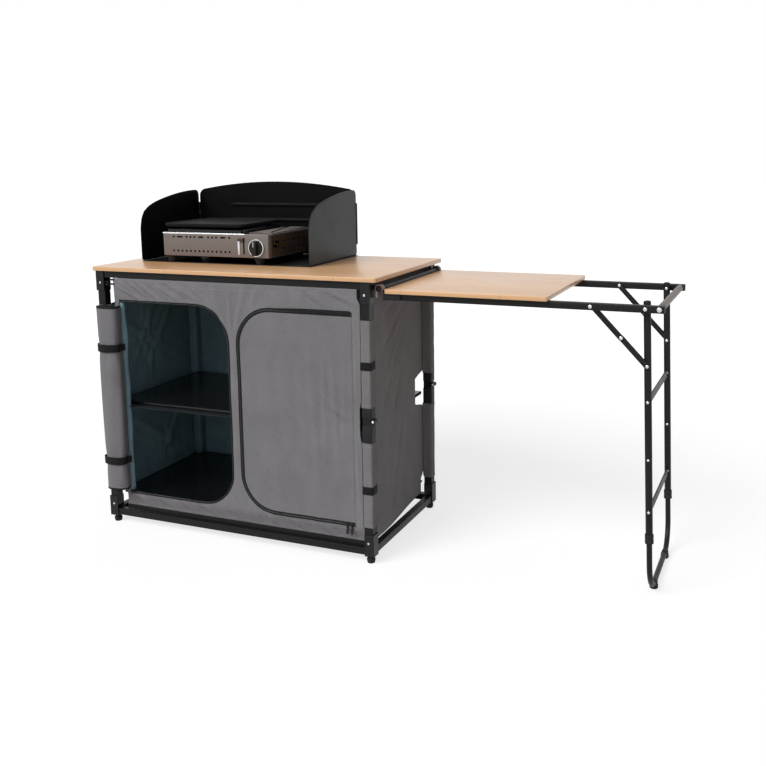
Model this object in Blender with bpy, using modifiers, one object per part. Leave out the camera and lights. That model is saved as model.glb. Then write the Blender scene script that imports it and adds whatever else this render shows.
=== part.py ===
"""Folding camp kitchen: a fabric cupboard with a bamboo worktop on a folding frame, a stove with its
windshield, and a side table that hooks on the right and stands on its own folding, extending leg.

Metres, +Z up. The pieces are placed in the cabinet's own frame: X runs right from the worktop's left
edge, Y runs back from its front edge and Z runs up from the floor. One empty carries them all, and
moves that frame so that the middle of the whole part's footprint is at the scene's origin.
"""

import math

import bmesh
import bpy
from mathutils import Matrix, Vector

# Clearances
GAP = 0.0003  # between faces that touch on the real thing
RUN = 0.0005  # beside a piece that turns
FOLD_CLEARANCE = 0.003  # from a leg's round end to the rail that it folds beside

# Worktop
WORKTOP_WIDTH = 0.930
WORKTOP_DEPTH = 0.500
WORKTOP_THICKNESS = 0.012
WORKTOP_HEIGHT = 0.800
WORKTOP_CORNER = 0.008
LEFT_OVERHANG = 0.012
RIGHT_OVERHANG = 0.025
DEPTH_OVERHANG = 0.010

# Folding frame
RAIL = 0.020
RAIL_WALL = 0.0015
LEG = 0.025
LEG_WALL = 0.0015
KNEE_OUTSET = 0.0035  # from a leg's outer face to its knee pivot
KNUCKLE_RADIUS = 0.0065
KNUCKLE_WIDTH = 0.0072
EAR_WIDTH = 0.006
KNEE_PIN_RADIUS = 0.0025
BRACKET_WALL = 0.003
BRACKET_REACH = 0.024  # from the corner pivot to the open end of the bracket's plates
CORNER_PIN_RADIUS = 0.0035
RIVET_RADIUS = 0.0048
RIVET_HEIGHT = 0.0015
FOOT_HEIGHT = 0.021
FOOT_RADIUS = 0.0115
FOOT_PAD_HEIGHT = 0.012
FOOT_NECK_RADIUS = 0.0055

# Fabric sleeves on the legs
SLEEVE_WALL = 0.0022
SLEEVE_KNEE_UPPER = 0.038  # from the knee up to the upper sleeve
SLEEVE_KNEE_LOWER = 0.060  # from the knee down to the lower sleeve
SLEEVE_END_UPPER = 0.068  # from the top pivot down to the upper sleeve
SLEEVE_END_LOWER = 0.045  # from the low pivot up to the lower sleeve

# Fabric cupboard
CLOTH = 0.0016
FLOOR_CLOTH_HEIGHT = 0.0880
FRONT_HEM_HEIGHT = 0.068
SHELF_BELOW_KNEE = 0.02015  # from the knees down to the top of the shelf board
SHELF_THICKNESS = 0.010
FLOOR_BOARD_THICKNESS = 0.006
BOARD_PLAY = 0.0027  # between a board's edge and the legs that fold past it
FOLD_DEPTH = 0.005
CLOTH_COLUMNS = {"front": 8, "right": 12, "back": 16, "left": 12}
KNEE_WINDOW_WIDTH = 0.024
DOOR_HEADER = 0.0694  # from the cloth's top down to the door openings
DOOR_SILL = 0.020  # from the floor cloth up to the door openings
DOOR_RADIUS = 0.105
LEFT_DOOR_MARGIN = 0.076  # from the frame's outer face
RIGHT_DOOR_MARGIN = 0.052
LEFT_DOOR_FROM_MIDDLE = 0.005
RIGHT_DOOR_FROM_MIDDLE = 0.030
ZIP_PLAY = 0.0008
ROLL_WIDTH = 0.068
ROLL_DEPTH = 0.042
ROLL_NEST = 0.0017  # how far the roll's round side nests in beside the sleeve
ROLL_OVERLAP = 0.019  # how much of the leg the roll covers
ROLL_TOP_DROP = 0.008  # below the top of the door opening
ROLL_BOTTOM_DROP = 0.002  # below the bottom of the door opening
UPPER_STRAP_DROP = 0.130  # below the roll's top
LOWER_STRAP_RISE = 0.106  # above the roll's bottom
STRAP_PINCH = 0.004

# Side table
SIDE_DROP = 0.032  # from the worktop's top down to the side board's top
SIDE_BOARD_START = 0.027  # from the hook tube to the board's left edge
SIDE_BOARD_LENGTH = 0.427
SIDE_BOARD_THICKNESS = 0.012
SIDE_BOARD_OVERHANG = 0.014
SIDE_RAIL_INSET = 0.041  # from the worktop's front edge to the front rail's outer face
SIDE_RAIL = 0.018
SIDE_RAIL_WALL = 0.0015
SIDE_RAIL_LENGTH = 0.710
RAIL_SETBACK = 0.021  # from the hook tube to the rails' left ends
BRACE_PIVOT_INSET = 0.175  # from the rails' right ends
LEG_PIVOT_INSET = 0.044
END_TUBE_INSET = 0.011
END_TUBE_RADIUS = 0.009
TUBE_WALL = 0.0015
HOOK_TUBE_SETBACK = 0.005  # from the worktop's right edge to the tube's axis
HOOK_TUBE_DROP = 0.020  # below the worktop's underside
HOOK_TUBE_RADIUS = 0.008
HOOK_TUBE_INSET = 0.008
HOOK_WALL = 0.005
HOOK_THICKNESS = 0.005
HOOK_TONGUE = 0.014
HOOK_SHANK = 0.045
TUBE_EAR = 0.008

# Side table's leg
LEG_TILT = math.radians(2.2)
LEG_TUBE_RADIUS = 0.010
LEG_TUBE_TOP = 0.0145  # above the pivot
LEG_MOUTH_HEIGHT = 0.149
COLLAR_RADIUS = 0.0125
COLLAR_LENGTH = 0.024
CROSS_BAR_HEIGHTS = (0.512, 0.231)
CROSS_BAR_DEPTH = 0.020
CROSS_BAR_THICKNESS = 0.004
LEG_PIN_RADIUS = 0.003
BRACE_ON_LEG = 0.1444  # from the leg's pivot to the brace's rivet on the leg
BRACE_THICKNESS = 0.0025
BRACE_WIDTH = 0.014
BRACE_PLANE_GAP = 0.002  # between a rail and the brace beside it
BRACE_PIN_RADIUS = 0.0025
EXTENSION_RADIUS = 0.008
EXTENSION_WALL = 0.0015
EXTENSION_OVERLAP = 0.235  # length hidden in the leg tubes
LOCK_BUTTON_HEIGHT = 0.366
LOCK_BUTTON_RADIUS = 0.003
EXTENSION_BEND = 0.075
PAD_RADIUS = 0.011
PAD_SPAN = 0.205
PAD_FLOOR = 0.006  # rubber under the tube

# Windshield
SHEET = 0.0015
SHIELD_LEFT = 0.056
SHIELD_FRONT = 0.168
SHIELD_WIDTH = 0.593
SHIELD_DEPTH = 0.328
SHIELD_CORNER = 0.005
WING_CREST = (  # distance behind the wing's front edge, and height above the base plate
    (0.0, 0.098), (0.005, 0.122), (0.015, 0.143), (0.036, 0.161), (0.066, 0.174), (0.099, 0.183),
    (0.145, 0.192), (0.190, 0.199), (0.235, 0.204), (0.275, 0.2065),
)
WING_LOW_CORNER = 0.010
WING_HIGH_CORNER = 0.018
BACK_HEIGHT_ENDS = 0.206
BACK_HEIGHT_MIDDLE = 0.233
BACK_CORNER = 0.020
HINGE_RADIUS = 0.003
HINGE_PLAY = 0.0005
HINGE_BANDS = (0.036, 0.070, 0.131, 0.165)  # heights that part the three knuckles
BACK_NOTCH = (0.020, 0.012)

# Stove
STOVE_LEFT = 0.145
STOVE_FRONT = 0.160
STOVE_WIDTH = 0.375
STOVE_DEPTH = 0.285
STOVE_BODY_HEIGHT = 0.070
STOVE_FOOT_HEIGHT = 0.020
STOVE_FOOT_RADIUS = 0.015
STOVE_FOOT_TIP = 0.009
STOVE_FOOT_INSET = (0.048, 0.030)
STOVE_WALL = 0.0012
STOVE_CORNER = 0.008
PLATE_WIDTH = 0.280
PLATE_DEPTH = 0.240
PLATE_SETBACK = 0.005  # behind the stove's front
PLATE_THICKNESS = 0.016
PLATE_LIFT = 0.012  # above the stove's top
PLATE_CORNER = 0.020
PLATE_RIM = 0.006
PLATE_RECESS = 0.003
SUPPORT_SIDE = 0.010
SUPPORT_INSET = 0.050  # from the plate's edges
BURNER_RADIUS = 0.030
BURNER_WELL_RADIUS = 0.058
BAY_MARGIN = 0.006
BAY_WIDTH = 0.073
BAY_LENGTH = 0.237
LID_THICKNESS = 0.004
LID_LAP = 0.003
KNOB_DROP = 0.040  # below the stove's top
KNOB_RADIUS = 0.024
KNOB_SKIRT = 0.006
KNOB_DEPTH = 0.020
KNOB_GRIP = 0.011
LEVER_SLOT_INSET = 0.086  # from the stove's right side
LEVER_SLOT_WIDTH = 0.005
LEVER_SLOT_DROP = 0.011  # below the stove's top
LEVER_SLOT_HEIGHT = 0.049
LEVER_WIDTH = 0.020
LEVER_HEIGHT = 0.009
LEVER_DEPTH = 0.008

ROUND_STEPS = 16
FINE_STEPS = 24

# Heights and edges that follow from the sizes above
FRAME_LEFT = LEFT_OVERHANG
FRAME_RIGHT = WORKTOP_WIDTH - RIGHT_OVERHANG
FRAME_FRONT = DEPTH_OVERHANG
FRAME_BACK = WORKTOP_DEPTH - DEPTH_OVERHANG
LOW_RAIL_BOTTOM = FOOT_HEIGHT + GAP + BRACKET_WALL + GAP
LOW_RAIL_TOP = LOW_RAIL_BOTTOM + RAIL
TOP_RAIL_TOP = WORKTOP_HEIGHT - WORKTOP_THICKNESS - GAP
TOP_RAIL_BOTTOM = TOP_RAIL_TOP - RAIL
LOW_PIVOT = LOW_RAIL_TOP + FOLD_CLEARANCE + LEG / 2
TOP_PIVOT = TOP_RAIL_BOTTOM - FOLD_CLEARANCE - LEG / 2
KNEE = (LOW_PIVOT + TOP_PIVOT) / 2
SLEEVE_PROUD = GAP + SLEEVE_WALL
SHELF_HEIGHT = KNEE - SHELF_BELOW_KNEE
SHELF_CLOTH_HEIGHT = SHELF_HEIGHT - SHELF_THICKNESS - GAP
FLOOR_BOARD_BOTTOM = FLOOR_CLOTH_HEIGHT + GAP
CLOTH_TOP = TOP_RAIL_BOTTOM - GAP
DOOR_TOP = CLOTH_TOP - DOOR_HEADER
DOOR_BOTTOM = FLOOR_CLOTH_HEIGHT + DOOR_SILL
LEFT_DOOR_OUTER = FRAME_LEFT + LEFT_DOOR_MARGIN
LEFT_DOOR_INNER = WORKTOP_WIDTH / 2 - LEFT_DOOR_FROM_MIDDLE
RIGHT_DOOR_INNER = WORKTOP_WIDTH / 2 + RIGHT_DOOR_FROM_MIDDLE
RIGHT_DOOR_OUTER = FRAME_RIGHT - RIGHT_DOOR_MARGIN
ROLL_TOP = DOOR_TOP - ROLL_TOP_DROP
ROLL_BOTTOM = DOOR_BOTTOM - ROLL_BOTTOM_DROP
ROLL_STRAPS = (ROLL_TOP - UPPER_STRAP_DROP, ROLL_BOTTOM + LOWER_STRAP_RISE)
CORNER_NOTCH = LEG + SLEEVE_PROUD + GAP + CLOTH / 2
SIDE_MIDDLE = WORKTOP_DEPTH / 2
SIDE_SPAN = WORKTOP_DEPTH - 2 * SIDE_RAIL_INSET
SIDE_HEIGHT = WORKTOP_HEIGHT - SIDE_DROP
HOOK_TUBE_X = WORKTOP_WIDTH - HOOK_TUBE_SETBACK
SIDE_LEFT = HOOK_TUBE_X + SIDE_BOARD_START
RAIL_START = HOOK_TUBE_X + RAIL_SETBACK
PART_RIGHT = RAIL_START + SIDE_RAIL_LENGTH
BRACE_PIVOT_X = PART_RIGHT - BRACE_PIVOT_INSET
LEG_PIVOT_X = PART_RIGHT - LEG_PIVOT_INSET
END_TUBE_X = PART_RIGHT - END_TUBE_INSET
SIDE_RAIL_TOP = SIDE_HEIGHT - SIDE_BOARD_THICKNESS - GAP
SIDE_RAIL_AXIS = SIDE_RAIL_TOP - SIDE_RAIL / 2
HOOK_TUBE_Z = WORKTOP_HEIGHT - WORKTOP_THICKNESS - HOOK_TUBE_DROP
INNER_RAIL_SPAN = SIDE_SPAN - 2 * SIDE_RAIL
UPPER_BRACE_PLANE = BRACE_PLANE_GAP
LOWER_BRACE_PLANE = UPPER_BRACE_PLANE + BRACE_THICKNESS + RUN
LEG_PLANE = LOWER_BRACE_PLANE + BRACE_THICKNESS + RUN + LEG_TUBE_RADIUS
SHIELD_BASE_BOTTOM = WORKTOP_HEIGHT + GAP
SHIELD_BASE_TOP = SHIELD_BASE_BOTTOM + SHEET
SHIELD_HINGE_Y = SHIELD_FRONT + SHIELD_DEPTH - HINGE_RADIUS
SHIELD_HINGES_X = (SHIELD_LEFT + HINGE_RADIUS, SHIELD_LEFT + SHIELD_WIDTH - HINGE_RADIUS)
STOVE_BOTTOM = SHIELD_BASE_TOP + GAP + STOVE_FOOT_HEIGHT
STOVE_TOP = STOVE_BOTTOM + STOVE_BODY_HEIGHT
STOVE_RIGHT = STOVE_LEFT + STOVE_WIDTH
STOVE_BACK = STOVE_FRONT + STOVE_DEPTH
PLATE_BOTTOM = STOVE_TOP + PLATE_LIFT
PLATE_X = (STOVE_LEFT, STOVE_LEFT + PLATE_WIDTH)
PLATE_Y = (STOVE_FRONT + PLATE_SETBACK, STOVE_FRONT + PLATE_SETBACK + PLATE_DEPTH)
BAY_X = (STOVE_RIGHT - BAY_MARGIN - BAY_WIDTH, STOVE_RIGHT - BAY_MARGIN)
BAY_Y = ((STOVE_FRONT + STOVE_BACK - BAY_LENGTH) / 2, (STOVE_FRONT + STOVE_BACK + BAY_LENGTH) / 2)
KNOB_X = (BAY_X[0] + BAY_X[1]) / 2
LEVER_X = STOVE_RIGHT - LEVER_SLOT_INSET
LEVER_SLOT_TOP = STOVE_TOP - LEVER_SLOT_DROP
ROLL_LEFT = FRAME_LEFT + LEG - ROLL_OVERLAP
ROLL_FRONT = FRAME_FRONT - SLEEVE_PROUD + ROLL_NEST - ROLL_DEPTH
PART_FRONT = ROLL_FRONT

parts = bpy.data.collections.new("camp_kitchen")
cutters = bpy.data.collections.new("cutters")


def clear_scene():
    """Take out what a new Blender file starts with, and add the two collections."""
    for leftover in list(bpy.data.objects):
        bpy.data.objects.remove(leftover, do_unlink=True)
    for collection in (parts, cutters):
        bpy.context.scene.collection.children.link(collection)
    cutters.hide_render = True


def make_material(name, colour, roughness, metallic=0.0):
    """A Principled material of one colour, given as linear red, green and blue."""
    material = bpy.data.materials.new(name)
    material.use_nodes = True
    shader = material.node_tree.nodes["Principled BSDF"]
    shader.inputs["Base Color"].default_value = (*colour, 1.0)
    shader.inputs["Roughness"].default_value = roughness
    shader.inputs["Metallic"].default_value = metallic
    material.diffuse_color = (*colour, 1.0)
    return material


def black_paint(name):
    return make_material(name + "_paint", (0.028, 0.029, 0.030), 0.42, 0.3)


def grey_cloth(name):
    return make_material(name + "_cloth", (0.175, 0.168, 0.162), 0.9)


def bamboo(name):
    return make_material(name + "_bamboo", (0.60, 0.40, 0.23), 0.4)


def stove_black(name):
    return make_material(name + "_black", (0.012, 0.012, 0.013), 0.35)


def smooth(mesh, angle=35):
    mesh.shade_smooth()
    mesh.set_sharp_from_angle(angle=math.radians(angle))


def mesh_object(name, build, collection=None):
    """An object whose mesh is filled by build(bm), in the cabinet's frame."""
    bm = bmesh.new()
    build(bm)
    bmesh.ops.recalc_face_normals(bm, faces=bm.faces)
    mesh = bpy.data.meshes.new(name)
    bm.to_mesh(mesh)
    bm.free()
    smooth(mesh)
    obj = bpy.data.objects.new(name, mesh)
    (collection or cutters).objects.link(obj)
    if collection is not parts:
        obj.hide_render = True
        obj.display_type = "WIRE"
    obj.parent = cabinet
    return obj


def box(name, x, y, z, bevel=0.0, edges="Z", collection=None):
    """A box from three (low, high) pairs. Its edges along the given axis are rounded by bevel."""
    def build(bm):
        bmesh.ops.create_cube(bm, size=1.0)
        size = [high - low for low, high in (x, y, z)]
        middle = [(high + low) / 2 for low, high in (x, y, z)]
        for vert in bm.verts:
            vert.co = [m + s * c for m, s, c in zip(middle, size, vert.co)]
        if bevel:
            along = "XYZ".index(edges)
            others = [axis for axis in range(3) if axis != along]
            round_edges = [
                edge for edge in bm.edges
                if all(abs(edge.verts[0].co[a] - edge.verts[1].co[a]) < 1e-7 for a in others)
            ]
            bmesh.ops.bevel(bm, geom=round_edges, offset=bevel, segments=3, profile=0.5, affect="EDGES")
    return mesh_object(name, build, collection)


def cylinder(name, axis, centre, span, radius, end_radius=None, steps=ROUND_STEPS, collection=None):
    """A rod along axis. centre gives the two other coordinates and span the (low, high) along it."""
    def build(bm):
        tip = radius if end_radius is None else end_radius
        bmesh.ops.create_cone(bm, cap_ends=True, segments=steps, radius1=radius, radius2=tip,
                              depth=span[1] - span[0])
        turn = {"X": Matrix.Rotation(math.pi / 2, 4, "Y"), "Y": Matrix.Rotation(-math.pi / 2, 4, "X"),
                "Z": Matrix.Identity(4)}[axis]
        middle = list(centre)
        middle.insert("XYZ".index(axis), (span[0] + span[1]) / 2)
        bmesh.ops.transform(bm, matrix=Matrix.Translation(middle) @ turn, verts=bm.verts)
    return mesh_object(name, build, collection)


def curve_to_mesh(name, curve, matrix, collection):
    """The mesh that a curve object makes, with its caps welded, in place of the curve.

    The triangles that fill a flat outline are merged into one face on each side of it.
    """
    flat = curve.dimensions == "2D"
    holder = bpy.data.objects.new(name + "_curve", curve)
    bpy.context.scene.collection.objects.link(holder)
    bpy.context.view_layer.update()
    graph = bpy.context.evaluated_depsgraph_get()
    mesh = bpy.data.meshes.new_from_object(holder.evaluated_get(graph))
    bpy.data.objects.remove(holder, do_unlink=True)

    def build(bm):
        bm.from_mesh(mesh)
        bmesh.ops.remove_doubles(bm, verts=bm.verts, dist=1e-6)
        for side in (-1, 1) if flat else ():
            filled = [face for face in bm.faces if all(vert.co.z * side > 0 for vert in face.verts)]
            bmesh.ops.dissolve_faces(bm, faces=filled)
        bmesh.ops.transform(bm, matrix=matrix, verts=bm.verts)
    obj = mesh_object(name, build, collection)
    bpy.data.meshes.remove(mesh)
    return obj


def flat_solid(name, axis, outline, span, collection=None):
    """A plate square to axis: outline gives the two other coordinates and span the (low, high)."""
    curve = bpy.data.curves.new(name + "_outline", "CURVE")
    curve.dimensions = "2D"
    curve.fill_mode = "BOTH"
    curve.extrude = (span[1] - span[0]) / 2
    spline = curve.splines.new("POLY")
    spline.points.add(len(outline) - 1)
    for point, (a, b) in zip(spline.points, outline):
        point.co = (a, b, 0, 1)
    spline.use_cyclic_u = True
    middle = (span[0] + span[1]) / 2
    matrix = {
        "X": Matrix(((0, 0, 1, middle), (1, 0, 0, 0), (0, 1, 0, 0), (0, 0, 0, 1))),
        "Y": Matrix(((1, 0, 0, 0), (0, 0, -1, middle), (0, 1, 0, 0), (0, 0, 0, 1))),
        "Z": Matrix.Translation((0, 0, middle)),
    }[axis]
    return curve_to_mesh(name, curve, matrix, collection)


def arc(centre, radius, start, end, steps):
    """Points on an arc, with its angles in degrees."""
    return [
        (centre[0] + radius * math.cos(math.radians(start + (end - start) * i / steps)),
         centre[1] + radius * math.sin(math.radians(start + (end - start) * i / steps)))
        for i in range(steps + 1)
    ]


def tube(name, points, radius, sides=2, collection=None):
    """A round bar along points: a polyline with a bevel and filled caps."""
    curve = bpy.data.curves.new(name + "_path", "CURVE")
    curve.dimensions = "3D"
    curve.bevel_depth = radius
    curve.bevel_resolution = sides
    curve.use_fill_caps = True
    spline = curve.splines.new("POLY")
    spline.points.add(len(points) - 1)
    for point, place in zip(spline.points, points):
        point.co = (*place, 1)
    return curve_to_mesh(name, curve, Matrix.Identity(4), collection)


def turned(name, profile, centre, collection=None):
    """A turned piece: profile holds (radius, height) pairs from the axis at the top, down and back."""
    def build(bm):
        verts = [bm.verts.new((radius, 0, height)) for radius, height in profile]
        for first, second in zip(verts, verts[1:]):
            bm.edges.new((first, second))
    obj = mesh_object(name, build, collection)
    obj.location = (*centre, 0)
    screw = obj.modifiers.new("turn", "SCREW")
    screw.steps = screw.render_steps = ROUND_STEPS
    screw.use_merge_vertices = True
    screw.merge_threshold = 0.00001
    return obj


def combine(obj, operation, *others):
    for other in others:
        modifier = obj.modifiers.new(other.name, "BOOLEAN")
        modifier.operation = operation
        modifier.solver = "EXACT"
        modifier.object = other
    return obj


def cut(obj, *others):
    return combine(obj, "DIFFERENCE", *others)


def join(obj, *others):
    return combine(obj, "UNION", *others)


def set_origin(obj, point):
    """Move the object's origin to a point of the cabinet's frame, and leave its shape where it is."""
    obj.data.transform(Matrix.Translation(-Vector(point)))
    obj.location = point
    return obj


def paint(material, *objects):
    for obj in objects:
        obj.data.materials.clear()
        obj.data.materials.append(material)


def ordered(a, b):
    return (min(a, b), max(a, b))


class Corner:
    """One corner of the folding frame. Distances count inwards from the frame's outer faces."""

    def __init__(self, side, end):
        self.side = side
        self.end = end
        self.name = f"{end}_{side}"

    def x(self, inward):
        return FRAME_LEFT + inward if self.side == "left" else FRAME_RIGHT - inward

    def y(self, inward):
        return FRAME_FRONT + inward if self.end == "front" else FRAME_BACK - inward

    def span_x(self, a, b):
        return ordered(self.x(a), self.x(b))

    def span_y(self, a, b):
        return ordered(self.y(a), self.y(b))

    def box(self, name, u, v, z, bevel=0.0, edges="Z", collection=None):
        return box(f"{name}_{self.name}", self.span_x(*u), self.span_y(*v), z, bevel, edges, collection)


CORNERS = [Corner(side, end) for side in ("left", "right") for end in ("front", "rear")]


def make_worktop():
    top = box("worktop", (0, WORKTOP_WIDTH), (0, WORKTOP_DEPTH),
              (WORKTOP_HEIGHT - WORKTOP_THICKNESS, WORKTOP_HEIGHT), WORKTOP_CORNER, "Z", parts)
    paint(bamboo("worktop"), top)


def make_rail_ring(name, bottom):
    """Four rails in one ring, of a channel section that opens to the middle."""
    ring = box(name, (FRAME_LEFT, FRAME_RIGHT), (FRAME_FRONT, FRAME_BACK), (bottom, bottom + RAIL),
               0, "Z", parts)
    middle = box(name + "_middle", (FRAME_LEFT + RAIL, FRAME_RIGHT - RAIL),
                 (FRAME_FRONT + RAIL, FRAME_BACK - RAIL), (bottom - RAIL, bottom + 2 * RAIL))
    channel = box(name + "_channel", (FRAME_LEFT + RAIL_WALL, FRAME_RIGHT - RAIL_WALL),
                  (FRAME_FRONT + RAIL_WALL, FRAME_BACK - RAIL_WALL),
                  (bottom + RAIL_WALL, bottom + RAIL - RAIL_WALL))
    cut(ring, middle, channel)
    paint(black_paint(name), ring)


def make_bracket(corner, level):
    """Clevis that holds a leg's end: a front plate, an outer plate and an inner plate round the leg."""
    low = level == "bottom"
    pivot = LOW_PIVOT if low else TOP_PIVOT
    open_end = pivot + BRACKET_REACH if low else pivot - BRACKET_REACH
    rail_end = LOW_RAIL_BOTTOM if low else TOP_RAIL_TOP
    over_rail = LOW_RAIL_TOP + GAP if low else TOP_RAIL_BOTTOM - GAP
    outside = -(GAP + BRACKET_WALL)
    inner = LEG + RUN
    name = f"{level}_bracket"
    body = corner.box(name, (outside, LEG), (outside, -GAP), ordered(rail_end, open_end), 0, "Z", parts)
    side = corner.box(name + "_side", (outside, -GAP), (outside, inner + BRACKET_WALL),
                      ordered(rail_end, open_end))
    plate = corner.box(name + "_plate", (outside, LEG), (inner, inner + BRACKET_WALL),
                       ordered(over_rail, open_end))
    pieces = [side, plate]
    if low:
        base = corner.box(name + "_base", (outside, LEG), (outside, inner + BRACKET_WALL),
                          (rail_end - GAP - BRACKET_WALL, rail_end - GAP))
        foot_wall = corner.box(name + "_wall", (outside, LEG), (outside, -GAP),
                               (rail_end - GAP - BRACKET_WALL, rail_end + RAIL))
        foot_side = corner.box(name + "_edge", (outside, -GAP), (outside, inner + BRACKET_WALL),
                               (rail_end - GAP - BRACKET_WALL, rail_end + RAIL))
        pieces += [base, foot_wall, foot_side]
    axis = (corner.x(LEG / 2), pivot)
    pin = cylinder(f"{name}_pin_{corner.name}", "Y", axis,
                   corner.span_y(outside / 2, inner + BRACKET_WALL / 2), CORNER_PIN_RADIUS)
    rivet = cylinder(f"{name}_rivet_{corner.name}", "Y", axis,
                     corner.span_y(outside - RIVET_HEIGHT, outside / 2), RIVET_RADIUS)
    join(body, *pieces, pin, rivet)
    paint(black_paint(body.name), body)


def make_foot(corner):
    """Round foot: a pad under a neck that goes up to the bracket."""
    chamfer = FOOT_PAD_HEIGHT / 6
    profile = [
        (0, FOOT_HEIGHT), (FOOT_NECK_RADIUS, FOOT_HEIGHT), (FOOT_NECK_RADIUS, FOOT_PAD_HEIGHT),
        (FOOT_RADIUS - chamfer, FOOT_PAD_HEIGHT), (FOOT_RADIUS, FOOT_PAD_HEIGHT - chamfer),
        (FOOT_RADIUS, chamfer), (FOOT_RADIUS - chamfer, 0), (0, 0),
    ]
    foot = turned(f"foot_{corner.name}", profile, (corner.x(LEG / 2), corner.y(LEG / 2)), parts)
    paint(make_material(foot.name + "_rubber", (0.02, 0.02, 0.02), 0.7), foot)


def make_leg(corner, half):
    """Half a leg: a square tube, round at its corner pivot, with a knuckle on its outer side at the knee."""
    low = half == "lower"
    name = f"{half}_leg_{corner.name}"
    pivot = LOW_PIVOT if low else TOP_PIVOT
    away = -1 if low else 1
    end = KNEE + away * GAP / 2
    x_axis = corner.x(LEG / 2)
    left, right = x_axis - LEG / 2, x_axis + LEG / 2
    round_end = arc((x_axis, pivot), LEG / 2, 180, 360 if low else 0, 8)
    outline = [(left, end)] + round_end + [(right, end)]
    leg = flat_solid(name, "Y", outline, corner.span_y(0, LEG), parts)
    hollow = corner.box(f"{name}_hollow", (LEG_WALL, LEG - LEG_WALL), (LEG_WALL, LEG - LEG_WALL),
                        ordered(pivot + away * LEG, KNEE - away * LEG))
    pin_hole = cylinder(f"{name}_pin_hole", "Y", (x_axis, pivot), corner.span_y(-LEG, 2 * LEG),
                        CORNER_PIN_RADIUS + RUN)
    knee_axis = (corner.x(-KNEE_OUTSET), KNEE)
    middle = corner.y(LEG / 2)
    knuckle_half = KNUCKLE_WIDTH / 2
    ear_outer = knuckle_half + RUN + EAR_WIDTH
    relief_radius = KNUCKLE_RADIUS + RUN
    if low:
        relief = cylinder(f"{name}_relief", "Y", knee_axis,
                          (middle - knuckle_half - RUN, middle + knuckle_half + RUN), relief_radius)
        cut(leg, hollow, pin_hole, relief)
        for direction in (-1, 1):
            span = ordered(middle + direction * (knuckle_half + RUN), middle + direction * ear_outer)
            join(leg, cylinder(f"{name}_ear_{direction}", "Y", knee_axis, span, KNUCKLE_RADIUS))
        join(leg, cylinder(f"{name}_knee_pin", "Y", knee_axis,
                           (middle - ear_outer - RIVET_HEIGHT, middle + ear_outer + RIVET_HEIGHT),
                           KNEE_PIN_RADIUS, steps=12))
    else:
        cut(leg, hollow, pin_hole)
        for direction in (-1, 1):
            span = ordered(middle + direction * knuckle_half, middle + direction * LEG)
            cut(leg, cylinder(f"{name}_relief_{direction}", "Y", knee_axis, span, relief_radius))
        join(leg, cylinder(f"{name}_knuckle", "Y", knee_axis,
                           (middle - knuckle_half, middle + knuckle_half), KNUCKLE_RADIUS))
        cut(leg, cylinder(f"{name}_knee_hole", "Y", knee_axis, corner.span_y(-LEG, 2 * LEG),
                          KNEE_PIN_RADIUS + RUN, steps=12))
    origin = (x_axis, middle, pivot)
    if low:
        origin = (knee_axis[0], middle, knee_axis[1])
    set_origin(leg, origin)
    paint(black_paint(name), leg)


def make_sleeve(corner, half):
    """Cloth sleeve wrapped round half a leg."""
    if half == "upper":
        span = (KNEE + SLEEVE_KNEE_UPPER, TOP_PIVOT - SLEEVE_END_UPPER)
    else:
        span = (LOW_PIVOT + SLEEVE_END_LOWER, KNEE - SLEEVE_KNEE_LOWER)
    outer = (-SLEEVE_PROUD, LEG + SLEEVE_PROUD)
    inner = (-GAP, LEG + GAP)
    sleeve = corner.box(f"{half}_sleeve", outer, outer, span, 0.003, "Z", parts)
    cut(sleeve, corner.box(f"{half}_sleeve_bore", inner, inner, (span[0] - LEG, span[1] + LEG)))
    paint(grey_cloth(sleeve.name), sleeve)


def cupboard_walls():
    """The cupboard's walls in plan: (name, start, end, way in), with the leg corners left out."""
    left, right = FRAME_LEFT, FRAME_RIGHT
    front, back = FRAME_FRONT, FRAME_BACK
    step = CORNER_NOTCH
    return [
        ("front", (left + step, front), (right - step, front), (0, 1)),
        ("right", (right, front + step), (right, back - step), (-1, 0)),
        ("back", (right - step, back), (left + step, back), (0, -1)),
        ("left", (left, back - step), (left, front + step), (1, 0)),
    ]


def hang(share, height_share, wall):
    """How far the cloth stands in from its plane: drag folds that lean, and a hollow between the legs."""
    if wall == "front":
        return 0.15 * FOLD_DEPTH * (1 - math.cos(6 * math.pi * share)) * (1 - height_share)
    fade = math.sin(math.pi * share)
    lean = {"right": 0.9, "left": -0.9, "back": 0.5}[wall]
    waves = 4 if wall == "back" else 3
    ripple = 0.5 + 0.5 * math.sin(2 * math.pi * (waves * share + lean * height_share))
    return FOLD_DEPTH * fade * (0.6 + ripple)


def cupboard_ring(z):
    """The middle of the cloth all round the cupboard at one height."""
    height_share = (z - FLOOR_CLOTH_HEIGHT) / (CLOTH_TOP - FLOOR_CLOTH_HEIGHT)
    ring = []
    walls = cupboard_walls()
    for index, (wall, start, end, way_in) in enumerate(walls):
        columns = CLOTH_COLUMNS[wall]
        for i in range(columns + 1):
            share = i / columns
            inset = CLOTH / 2 + hang(share, height_share, wall)
            ring.append((start[0] + (end[0] - start[0]) * share + way_in[0] * inset,
                         start[1] + (end[1] - start[1]) * share + way_in[1] * inset))
        following = walls[(index + 1) % 4][1]
        ring.append((end[0], following[1]) if index % 2 == 0 else (following[0], end[1]))
    return ring


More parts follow.
